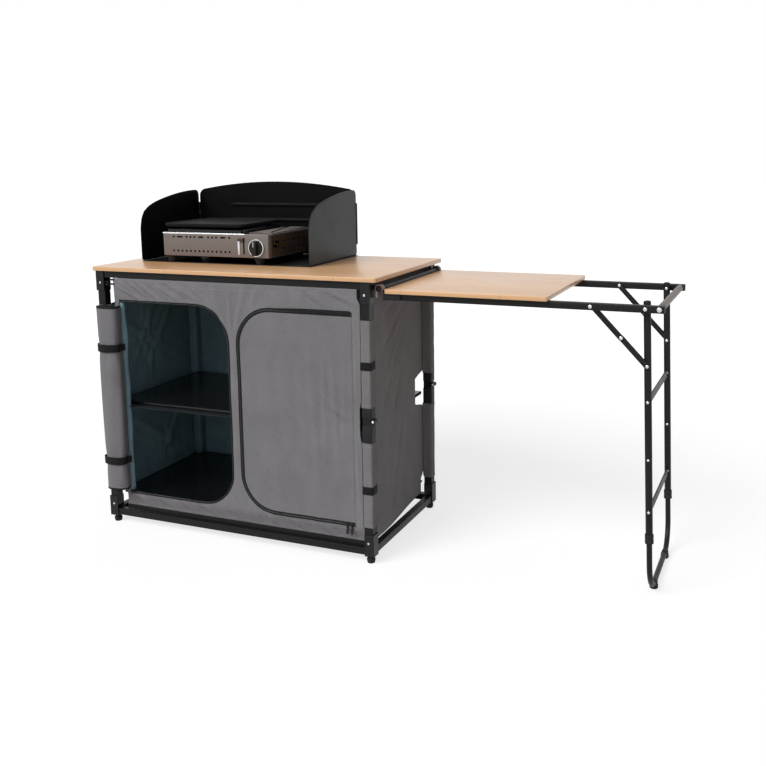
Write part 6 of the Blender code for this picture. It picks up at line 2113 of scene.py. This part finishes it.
@dataclass
class Windshield:
    """Three enamelled panels on a base plate, with knuckle hinges between them."""

    left: float = 0.056
    right: float = 0.649
    front: float = 0.168
    back: float = 0.496
    base: float = 0.8003
    sheet: float = 0.0015
    hinge: float = 0.003
    play: float = 0.0005
    bands: tuple[float, float, float, float] = (0.036, 0.070, 0.131, 0.165)
    ends_height: float = 0.206
    middle_height: float = 0.233
    corner: float = 0.020
    wing_corner: float = 0.018  # at the top, towards the hinge
    wing_foot: float = 0.010  # at both low corners
    gap: float = 0.0003  # between the base plate and what stands on it
    leaf: float = 0.00074  # half the thickness of a hinge's leaf
    rib_height: float = 0.0022
    crest: tuple[tuple[float, float], ...] = (
        (0.000, 0.098), (0.005, 0.122), (0.015, 0.143), (0.036, 0.161), (0.066, 0.174), (0.099, 0.183),
        (0.145, 0.192), (0.190, 0.199), (0.235, 0.204), (0.275, 0.2065), (0.330, 0.2065))
    ribs: tuple[tuple[float, float], ...] = ((0.954, 0.963), (0.905, 0.914))

    @property
    def floor(self) -> float:
        """Top of the base plate."""
        return self.base + self.sheet

    @property
    def hinge_y(self) -> float:
        """Y of both hinges' axes."""
        return self.back - self.hinge

    def build(self) -> None:
        """Base plate, back panel, two wings, and their hinges."""
        outline = rounded(rectangle(self.left, self.right, self.front, self.back), 0.005)
        base = plate(Plane.PLAN, outline, self.base, self.floor, 0.0005)
        make_piece("windshield_floor", base, SHIELD_PAINT, "windshield",
                   replaces=["windshield_base"])
        self.build_back()
        for side in Side:
            self.build_wing(side)

    def build_back(self) -> None:
        """Arched panel: columns from its foot to its crown, with two pressed ribs.

        The crown is a parabola that ends in quarter circles. A rib stands out by a smooth bump of its height.
        """
        clear = self.hinge + self.play
        x0, x1 = self.left + self.hinge + clear, self.right - self.hinge - clear
        middle, half = (x0 + x1) / 2, (x1 - x0) / 2
        edge = np.linspace(0, np.pi / 2, 9)
        ends = self.corner * (1 - np.cos(edge))
        inner = np.linspace(x0 + self.corner, x1 - self.corner, 61)[1:-1]
        x = np.concatenate([x0 + ends, inner, (x1 - ends)[::-1]])
        arch = self.ends_height + (self.middle_height - self.ends_height) * (1 - ((x - middle) / half) ** 2)
        away = np.clip(self.corner - np.minimum(x - x0, x1 - x), 0, None)
        top = self.floor + arch - (self.corner - np.sqrt(np.maximum(self.corner ** 2 - away ** 2, 0)))
        foot = self.floor + self.gap + 0.012 * (np.minimum(x - x0, x1 - x) < 0.0199)
        share = np.linspace(0, 1, 121)[:, None]
        z = foot[None] * (1 - share) + top[None] * share
        xx = np.broadcast_to(x[None], z.shape)
        bump = np.zeros(z.shape)
        for low, high in self.ribs:
            up = np.exp(-(((z - (low + high) / 2) / ((high - low) / 2)) ** 2) ** 2)
            across = smooth_step(xx, 0.186, 0.196) * (1 - smooth_step(xx, 0.509, 0.519))
            bump = np.maximum(bump, self.rib_height * up * across)
        grid = Plane.FRONT.place(np.stack([xx, z], -1), self.hinge_y - bump)
        # Painted shade: the panel's face towards the stove takes the darker, duller copy of the enamel.
        panel = make_piece("windshield_back_panel", Shape([facing(grid, (0, -1, 0))]), SHADED_SHIELD_ENAMEL,
                           "windshield", closed=False, replaces=["windshield_back"])
        thicken(panel, self.sheet, SHIELD_PAINT)
        low, first, second, high = (self.floor + h for h in self.bands)
        knuckles = []
        for side in Side:
            x = self.hinge_x(side)
            for bottom, top_end in ((low, first - 0.0003), (second + 0.0003, high)):
                knuckles.append(self.knuckle(x, bottom, top_end))
                tab = [(x, bottom + 0.0004), (x - side.value * 0.006, bottom + 0.0004),
                       (x - side.value * 0.006, top_end - 0.0004), (x, top_end - 0.0004)]
                knuckles.append(plate(Plane.FRONT, np.array(tab), self.hinge_y - self.leaf,
                                      self.hinge_y + self.leaf, 0.0003, 2))
        make_piece("windshield_back_knuckles", joined(knuckles), SHIELD_PAINT, "windshield")

    def hinge_x(self, side: Side) -> float:
        """X of a hinge's axis."""
        return self.left + self.hinge if side is Side.left else self.right - self.hinge

    def knuckle(self, x: float, low: float, high: float) -> Shape:
        """Rolled hinge barrel with softened ends.

        Args:
            x: X of the hinge's axis.
            low: the barrel's lowest point.
            high: its highest point.

        Returns:
            A closed shape.
        """
        r, e, length = self.hinge, 0.0004, high - low
        profile = [(0, 0), (r - e, 0), (r, e), (r, length - e), (r - e, length), (0, length)]
        return turned(profile, (x, self.hinge_y, low), (0, 0, 1), 20)

    def build_wing(self, side: Side) -> None:
        """Wing: columns from its foot to its crest, which is steep at the front and runs up to the rear.

        Args:
            side: which wing.
        """
        x = self.hinge_x(side)
        rear = self.hinge_y - self.hinge - self.play
        crest = np.array(self.crest) + np.array([self.front, self.floor])
        edge = np.linspace(0, np.pi / 2, 9)
        high_r, low_r = self.wing_corner, self.wing_foot
        y = np.unique(np.concatenate([self.front + low_r * (1 - np.cos(edge)),
                                      np.linspace(self.front, self.front + 0.05, 26),
                                      np.linspace(self.front + 0.05, rear - high_r, 40),
                                      rear - high_r * (1 - np.cos(edge))]))
        top = smooth_curve(crest, y)
        top -= high_r - np.sqrt(np.maximum(high_r ** 2 - np.clip(high_r - (rear - y), 0, None) ** 2, 0))
        near = np.minimum(y - self.front, rear - y)
        low_corner = low_r - np.sqrt(np.maximum(low_r ** 2 - np.clip(low_r - near, 0, None) ** 2, 0))
        foot = self.floor + self.gap + low_corner
        share = np.linspace(0, 1, 41)[:, None]
        z = foot[None] * (1 - share) + top[None] * share
        grid = Plane.SIDE.place(np.stack([np.broadcast_to(y[None], z.shape), z], -1), x)
        name = f"windshield_{side.name}_wing"
        body = f"{side.name}_wing"
        wing = make_piece(name + "_panel", Shape([facing(grid, (side.value, 0, 0))]), SHIELD_PAINT, body,
                          closed=False, replaces=[name])
        # Painted shade: the wing's face towards the stove takes the darker, duller copy of the enamel.
        thicken(wing, self.sheet, SHADED_SHIELD_ENAMEL)
        low, high = self.floor + self.bands[1], self.floor + self.bands[2]
        tab = [(self.hinge_y, low + 0.0004), (self.hinge_y, high - 0.0004),
               (rear - 0.003, high - 0.0004), (rear - 0.003, low + 0.0004)]
        leaf = plate(Plane.SIDE, np.array(tab), x - self.leaf, x + self.leaf, 0.0003, 2)
        make_piece(name + "_knuckle", self.knuckle(x, low, high) + leaf, SHIELD_PAINT, body)


@dataclass
class Stove:
    """Single-burner cartridge stove with a cast hotplate, a knob, a lever and a cartridge lid."""

    left: float = 0.145
    right: float = 0.520
    front: float = 0.160
    back: float = 0.445
    low: float = 0.8221
    top: float = 0.8921
    corner: float = 0.008
    wall: float = 0.0012
    well: tuple[float, float, float] = (0.285, 0.285, 0.058)
    bay: tuple[float, float, float, float] = (0.441, 0.514, 0.184, 0.421)
    knob: tuple[float, float] = (0.4775, 0.8521)
    split: float = 0.4335  # X where the top sheet's two halves meet
    tray: tuple[float, float, float, float] = (0.160, 0.424, 0.1625, 0.4040)
    hotplate: tuple[float, float, float, float] = (0.145, 0.425, 0.165, 0.405)
    hotplate_z: tuple[float, float] = (0.9092, 0.9201)
    lever: tuple[float, float, float, float] = (0.4165, 0.4360, 0.8716, 0.8806)
    lid: tuple[float, float, float, float] = (0.438, 0.517, 0.181, 0.424)
    sunk: float = 0.0006  # how deep a dark hole's plate is let in
    proud: float = 0.00025  # how far it stands out, so that it shows

    def build(self) -> None:
        """Case, front details, side details, burner and feet, then the parts that move on it."""
        self.build_case()
        self.build_front()
        self.build_side()
        self.build_burner()
        self.build_feet()
        self.build_hotplate()
        self.build_knob()
        self.build_lever()
        self.build_lid()

    def build_case(self) -> None:
        """Folded case: the wall's section carried round the outline, a floor, and a pierced top."""
        outline = evenly(rounded(rectangle(self.left, self.right, self.front, self.back), self.corner, 8),
                         160, True)
        e = 0.0022
        turn = np.linspace(0, np.pi / 2, 5)
        inwards = np.concatenate([[0.006], e * (1 - np.sin(turn)), e * (1 - np.cos(turn)), [0.006, 0.006],
                                  [self.wall, self.wall, 0.006, 0.006]])
        heights = np.concatenate([[self.low], self.low + e * (1 - np.cos(turn)),
                                  self.top - e * (1 - np.sin(turn)), [self.top, self.top - self.wall],
                                  [self.top - self.wall, self.low + self.wall, self.low + self.wall,
                                   self.low]])
        case = ringed(Plane.PLAN, tidy_outline(outline), inwards, heights, capped=False)
        make_piece("stove_case", case, STOVE_LACQUER, "stove", replaces=["stove_body"])
        floor = plate(Plane.PLAN, rounded(rectangle(self.left + 0.005, self.right - 0.005, self.front + 0.005,
                                                    self.back - 0.005), 0.004), self.low, self.low + 0.0011,
                      0.0003, 2)
        make_piece("stove_floor", floor, BURNER_IRON, "stove")
        x, y, radius = self.well
        cell = box_points(rectangle(self.left + 0.005, self.split, self.front + 0.005, self.back - 0.005))
        circle = np.array([x, y]) + ring_profile(radius, 96)
        top_left = pierced_plate(Plane.PLAN, cell, circle, self.top - self.wall, self.top - 0.0001)
        cell = box_points(rectangle(self.split, self.right - 0.005, self.front + 0.005, self.back - 0.005))
        bay = rounded(rectangle(*self.bay), 0.004)
        top_right = pierced_plate(Plane.PLAN, cell, bay, self.top - self.wall, self.top - 0.0001)
        make_piece("stove_top_sheet", top_left + top_right, BLACK_ENAMEL, "stove")

    def hole(self, outline: Array) -> Shape:
        """Dark plate let into the front: painted shade that reads as a hole in it."""
        return plate(Plane.FRONT, outline, self.front - self.proud, self.front + self.sunk, 0.0001, 1)

    def build_front(self) -> None:
        """Polished lip, two rows of vents, an indicator strip and the lever's slot."""
        lip = carried(np.linspace((self.left + 0.004, self.front - 0.0002, self.top - 0.0012),
                                  (0.438, self.front - 0.0002, self.top - 0.0012), 4),
                      capped_profile(0.0014, 0.0022, 0.0010, 4), (0, 0, 1))
        make_piece("stove_lip", lip, STOVE_TRIM, "stove")
        high, low, half = 0.880, 0.8377, 0.0026
        dots = [(x, high) for x in (0.187, 0.2335, 0.2475, 0.2615, 0.3105, 0.3245, 0.3385, 0.385)]
        dots += [(x, low) for x in np.linspace(0.186, 0.3845, 14)]
        ovals = [(0.199, 0.2195), (0.2756, 0.2934), (0.3527, 0.3713)]
        # Painted shade: the vents and the lever's slot are dark plates, not holes.
        holes = [self.hole(np.array(dot) + ring_profile(0.0034, 14)) for dot in dots]
        holes += [self.hole(stadium(np.array([a + half, high]), np.array([b - half, high]), half))
                  for a, b in ovals]
        holes.append(self.hole(rounded(rectangle(0.4315, 0.4365, 0.8321, 0.8811), 0.0015)))
        make_piece("stove_vents", joined(holes), HOLE_SHADE, "stove")
        strip = plate(Plane.FRONT, rounded(rectangle(0.4135, 0.4195, 0.831, 0.873), 0.0012),
                      self.front - 0.0008, self.front + 0.0004, 0.0004)
        make_piece("stove_strip", strip, STOVE_TRIM, "stove")

    def build_side(self) -> None:
        """Slots in both end walls, and the brass fittings behind the knob."""
        slots = []
        # Painted shade: the slots are dark plates let into the walls, not holes.
        for x, way in ((self.left, -1), (self.right, 1)):
            near, far = sorted((x + way * self.proud, x - way * self.sunk))
            for z in (0.846, 0.868):
                for y in np.linspace(0.245, 0.405, 6):
                    outline = stadium(np.array([y - 0.007, z]), np.array([y + 0.007, z]), 0.0018)
                    slots.append(plate(Plane.SIDE, outline, near, far, 0.0001, 1))
        sheet = rounded(rectangle(0.1755, 0.4360, 0.8262, 0.8884), 0.004)
        shown = plate(Plane.SIDE, sheet, self.right - 0.0004, self.right + 0.0002, 0.0002, 2)
        make_piece("stove_side_sheet", shown, STOVE_SIDE, "stove")
        near, far = self.right - self.sunk, self.right + self.proud
        slots.append(plate(Plane.SIDE, rounded(rectangle(0.182, 0.218, 0.851, 0.872), 0.004), near, far,
                           0.0001, 1))
        make_piece("stove_side_slots", joined(slots), HOLE_SHADE, "stove")
        fittings = [turned([(0, 0), (0.0042, 0), (0.0042, 0.0016), (0.0030, 0.0022), (0.0030, 0.0036),
                            (0.0016, 0.0040), (0, 0.0040)], (self.right, y, z), (1, 0, 0), 18)
                    for y, z in ((0.190, 0.864), (0.2075, 0.859))]
        make_piece("stove_fittings", joined(fittings), BRASS, "stove")
        pins = [turned([(0, 0), (0.0024, 0), (0.0024, 0.006), (0.0034, 0.0066), (0.0034, 0.0090),
                        (0.0026, 0.0098), (0, 0.0100)], (0.4315, y, self.top - 0.0002), (0, 0, 1), 18)
                for y in (0.170, 0.1855)]
        make_piece("stove_catch_pins", joined(pins), BURNER_IRON, "stove")

    def build_burner(self) -> None:
        """Burner in its well: a drip bowl, a tray's rim, a spun head with ports, and four support fins."""
        x, y, radius = self.well
        bowl = [(radius - 0.0004, self.top - 0.0006), (radius - 0.0010, self.top - 0.004),
                (radius * 0.86, self.top - 0.013), (radius * 0.6, self.top - 0.016),
                (0.012, self.top - 0.017), (0.012, self.top - 0.0182), (radius * 0.6, self.top - 0.0172),
                (radius * 0.88, self.top - 0.0142), (radius + 0.0008, self.top - 0.004),
                (radius + 0.0010, self.top - 0.0006), (radius - 0.0004, self.top - 0.0006)]
        make_piece("burner_bowl", turned(bowl, (x, y, 0), (0, 0, 1), 64), BLACK_ENAMEL, "stove")
        head = [(0, self.top - 0.030), (0.014, self.top - 0.030), (0.014, self.top - 0.014),
                (0.027, self.top - 0.010), (0.0295, self.top - 0.0085), (0.030, self.top - 0.0060),
                (0.0285, self.top - 0.0050), (0.0285, self.top - 0.0008), (0.0296, self.top),
                (0.0292, self.top + 0.0016), (0.0260, self.top + 0.0030), (0.0100, self.top + 0.0040),
                (0, self.top + 0.0040)]
        outline = rounded(rectangle(*self.tray), 0.010, 6)
        section = np.array([(0.0, self.top + 0.0001), (0.0, self.top + 0.0095), (0.0008, self.top + 0.0103),
                            (0.0020, self.top + 0.0103), (0.0028, self.top + 0.0095),
                            (0.0028, self.top + 0.0001), (0.0, self.top + 0.0001)])
        tray = ringed(Plane.PLAN, tidy_outline(outline), *section.T, capped=False)
        make_piece("burner_tray", tray, BLACK_ENAMEL, "stove")
        ports = []
        # Painted shade: the ports are small dark domes, not holes.
        for turn in np.arange(36) / 36 * 2 * math.pi:
            way = np.array([math.cos(turn), math.sin(turn), 0])
            ports.append(dome(np.array([x, y, self.top - 0.0030]) + way * 0.0284, way, 0.0011, 0.0003, 8))
        make_piece("burner_head", turned(head, (x, y, 0), (0, 0, 1), 64), BURNER_IRON, "stove")
        make_piece("burner_ports", joined(ports), HOLE_SHADE, "stove")
        fins = []
        for px, py in ((0.195, 0.215), (0.195, 0.355), (0.375, 0.215), (0.375, 0.355)):
            way = np.array([x - px, y - py]) / math.hypot(x - px, y - py)
            start = np.array([px, py]) - way * 0.018
            path = [(*start, self.top - 0.0003), (*(start + way * 0.012), self.top + 0.0004),
                    (*(start + way * 0.040), self.top + 0.0004)]
            half = np.array([(0.0012, 0.0046), (0.0012, 0.0058), (0.0012, 0.0058)])
            section = np.array([(-1, -0.05), (1, -0.05), (1, 1), (-1, 1)])
            profile = section[None] * (half * np.array([1.0, 2.0]))[:, None]
            fins.append(carried(np.array(path), profile, (0, 0, 1)))
        make_piece("pan_supports", joined(fins), BLACK_ENAMEL, "stove")

    def build_feet(self) -> None:
        """Four rubber cones, wide at the case."""
        profile = [(0, 0.0003), (0.0098, 0.0003), (0.0112, 0.0014), (0.0122, 0.0050), (0.0160, 0.0150),
                   (0.0184, 0.0190), (0.0186, 0.0204), (0, 0.0204)]
        feet = [turned(profile, (x, y, self.low - 0.0203), (0, 0, 1), 28)
                for x in (self.left + 0.022, self.right - 0.0425)
                for y in (self.front + 0.018, self.back - 0.030)]
        make_piece("stove_feet", joined(feet), RUBBER, "stove")

    def build_hotplate(self) -> None:
        """Cast plate: a rim's section carried round the outline, flat underneath and in its recess."""
        outline = rounded(rectangle(*self.hotplate), 0.020, 12)
        low, high = self.hotplate_z
        turn = np.linspace(0, np.pi / 2, 5)
        under = np.stack([0.004 * (1 - np.sin(turn)), low + 0.004 * (1 - np.cos(turn))], -1)
        over = np.stack([0.0018 * (1 - np.cos(turn)), high - 0.0018 * (1 - np.sin(turn))], -1)
        inside = np.array([(0.0048, high), (0.0056, high - 0.0004), (0.0066, high - 0.0022),
                           (0.0082, high - 0.0030), (0.012, high - 0.0031)])
        section = np.vstack([under, over, inside])
        shape = ringed(Plane.PLAN, tidy_outline(outline), *section.T)
        ribs = [plate(Plane.PLAN, rounded(rectangle(x0, x1, y0, y1), 0.002), 0.9041, low + 0.0004, 0.0008)
                for x0, x1, y0, y1 in ((0.175, 0.395, 0.190, 0.195), (0.175, 0.395, 0.375, 0.380),
                                       (0.170, 0.175, 0.190, 0.380), (0.395, 0.400, 0.190, 0.380))]
        make_piece("hotplate_casting", shape + joined(ribs), NON_STICK, "hotplate",
                   replaces=["hotplate"])

    def build_knob(self) -> None:
        """Knob: a chromed ring round a black skirt, with a grip bar across it and a bright pointer."""
        x, z = self.knob
        face = self.front - 0.0003
        skirt = [(0, 0), (0.0234, 0), (0.0234, 0.0050), (0.0220, 0.0066), (0.0120, 0.0074), (0, 0.0074)]
        ring = [(0.0230, 0), (0.0258, 0), (0.0263, 0.0006), (0.0262, 0.0036), (0.0252, 0.0052),
                (0.0236, 0.0052), (0.0230, 0.0044), (0.0230, 0)]
        grip_line = stadium(np.array([x, z - 0.0140]), np.array([x, z + 0.0140]), 0.0080)
        grip = plate(Plane.FRONT, grip_line, face - 0.0200, face - 0.0050, 0.0022, 4)
        skirt_shape = turned(skirt, (x, face, z), (0, -1, 0), 48)
        make_piece("knob_grip", skirt_shape + grip, MOULDED_BLACK, "knob",
                   replaces=["stove_knob"])
        make_piece("knob_ring", turned(ring, (x, face, z), (0, -1, 0), 48), CHROME, "knob")
        line = plate(Plane.FRONT, rounded(rectangle(x - 0.0008, x + 0.0008, z + 0.004, z + 0.0185), 0.0006),
                     face - 0.0203, face - 0.0196, 0.0002, 2)
        make_piece("knob_pointer", line, CHROME, "knob")

    def build_lever(self) -> None:
        """Lever's handle at the top of its slot, on a stem through the case."""
        face = self.front - 0.0003
        outline = rounded(rectangle(*self.lever), 0.0020)
        handle = plate(Plane.FRONT, outline, face - 0.0080, face, 0.0018)
        stem = plate(Plane.FRONT, rectangle(0.4320, 0.4360, 0.8722, 0.8800), face - 0.001,
                     self.front + 0.0036, 0.0003, 2)
        make_piece("lever_handle", handle + stem, LEVER_PLASTIC, "cartridge_lever",
                   replaces=["cartridge_lever"])

    def build_lid(self) -> None:
        """Pressed lid over the cartridge bay, with a raised middle and a finger lip."""
        outline = rounded(rectangle(*self.lid), 0.003)
        low = self.top + 0.0003
        section = np.array([(0.0, low), (0.0, low + 0.0022), (0.0012, low + 0.0030), (0.006, low + 0.0030),
                            (0.008, low + 0.0038), (0.011, low + 0.0040)])
        lid = ringed(Plane.PLAN, outline, *section.T)
        make_piece("cartridge_lid_sheet", lid, STOVE_LACQUER, "cartridge_lid",
                   replaces=["cartridge_lid"])


# The picture


def standing(right: Array, up: Array, back: Array, where: Array) -> Matrix:
    """Matrix of a camera or lamp.

    Args:
        right: its own X.
        up: its own Y.
        back: its own Z, which it looks away from.
        where: its place.

    Returns:
        A 4 by 4 matrix.
    """
    return Matrix([*np.column_stack([right, up, back, where]).tolist(), [0, 0, 0, 1]])


@dataclass
class Studio:
    """White floor and background, one broad key light, a fill, and the camera."""

    position: tuple[float, float, float] = (1.957, -2.294, 1.126)
    yaw: float = math.radians(23.55)
    pitch: float = math.radians(9.68)
    roll: float = math.radians(-0.83)
    lens: float = 45.63
    shift: tuple[float, float] = (-0.0037, -0.086)
    ambient: float = 0.27
    key: float = 2.6
    fill: float = 0.45
    floor_light: float = 0.66
    floor_fade: tuple[float, float] = (1.2, 3.5)  # distances at which the floor turns into background
    floor_paint: tuple[float, float, float, float] = (0.95, 0.95, 0.95, 1)
    floor_bounce: tuple[float, float, float, float] = (0.53, 0.485, 0.445, 1)  # what lights things from below
    floor_glow: float = 1.12

    def build(self) -> None:
        """Camera, world, lamps, floor and the view's colour setting."""
        self.build_camera()
        self.build_world()
        self.build_lamp("key", self.key, 34, (-0.36, -0.72, 0.68))
        self.build_lamp("fill", self.fill, 70, (0.45, -0.85, 0.28))
        self.build_floor()
        bpy.context.scene.view_settings.view_transform = "Standard"

    def build_camera(self) -> None:
        """Places the camera where the picture was taken from."""
        y, p, r = self.yaw, self.pitch, self.roll
        back = np.array([math.sin(y) * math.cos(p), -math.cos(y) * math.cos(p), math.sin(p)])
        right = np.array([math.cos(y), math.sin(y), 0.0])
        up = np.cross(back, right)
        across = math.cos(r) * right + math.sin(r) * up
        above = -math.sin(r) * right + math.cos(r) * up
        data = bpy.data.cameras.new("camera")
        data.lens = self.lens
        data.shift_x, data.shift_y = self.shift
        data.clip_end = 100
        camera = bpy.data.objects.new("camera", data)
        where = np.array(self.position) + CABINET_CORNER
        camera.matrix_world = standing(across, above, back, where)
        bpy.context.scene.collection.objects.link(camera)
        bpy.context.scene.camera = camera

    def build_world(self) -> None:
        """Even soft light, which the camera, reflections and clear surfaces see as white."""
        world = bpy.data.worlds.new("studio")
        bpy.context.scene.world = world
        world.use_nodes = True
        tree = world.node_tree
        seen = seen_directly(tree)
        strength = add_node(tree, "MapRange", {0: seen, 1: 0.0, 2: 1.0, 3: self.ambient, 4: 1.0})
        background = tree.nodes["Background"]
        background.inputs["Color"].default_value = (1, 1, 1, 1)
        tree.links.new(strength.outputs[0], background.inputs["Strength"])

    def build_lamp(self, name: str, strength: float, spread: float, way: tuple[float, float, float]) -> None:
        """Broad lamp far away.

        Args:
            name: the lamp's name.
            strength: its light in watts per square metre.
            spread: its width in degrees.
            way: the direction that it shines from.
        """
        data = bpy.data.lights.new(name, "SUN")
        data.energy = strength
        data.angle = math.radians(spread)
        lamp = bpy.data.objects.new(name, data)
        back = np.array(way) / np.linalg.norm(way)
        right = np.cross((0, 0, 1), back)
        right /= np.linalg.norm(right)
        up = np.cross(back, right)
        lamp.matrix_world = standing(right, up, back, back * 5)
        bpy.context.scene.collection.objects.link(lamp)

    def build_floor(self) -> None:
        """Pale floor that runs out to the background, and keeps a soft shadow near the object."""
        mesh = bpy.data.meshes.new("floor")
        far = 30.0
        mesh.from_pydata([(-far, -far, 0), (far, -far, 0), (far, far, 0), (-far, far, 0)], [], [(0, 1, 2, 3)])
        floor = bpy.data.objects.new("floor", mesh)
        bpy.context.scene.collection.objects.link(floor)
        material = bpy.data.materials.new("white_studio_floor")
        material.use_nodes = True
        tree = material.node_tree
        tree.nodes.remove(tree.nodes["Principled BSDF"])
        place = add_node(tree, "TexCoord").outputs["Object"]
        distance = add_node(tree, "VectorMath", {0: place}, operation="LENGTH").outputs["Value"]
        away = add_node(tree, "MapRange", {0: distance, 1: self.floor_fade[0], 2: self.floor_fade[1],
                                         3: self.floor_light, 4: 1.0},
                        interpolation_type="SMOOTHSTEP").outputs[0]
        matt = add_node(tree, "BsdfDiffuse", {"Color": self.floor_paint})
        dull = add_node(tree, "BsdfDiffuse", {"Color": self.floor_bounce})
        glow = add_node(tree, "Emission", {"Color": (1, 1, 1, 1), "Strength": self.floor_glow})
        shown = add_node(tree, "MixShader", {0: away, 1: matt.outputs[0], 2: glow.outputs[0]})
        both = add_node(tree, "MixShader", {0: seen_directly(tree), 1: dull.outputs[0], 2: shown.outputs[0]})
        tree.links.new(both.outputs[0], tree.nodes["Material Output"].inputs["Surface"])
        mesh.materials.append(material)


def main() -> None:
    """Builds each sub-assembly in order."""
    logging.basicConfig(level=logging.INFO, format="%(message)s")
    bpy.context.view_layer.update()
    folding = FoldingFrame()
    for assembly in (Worktop(), folding, LegSleeves(folding), Cupboard(), Boards(), SideTable(), SideLeg(),
                     Windshield(), Stove(), Studio()):
        log.info("building %s", type(assembly).__name__)
        assembly.build()


if __name__ == "__main__":
    main()
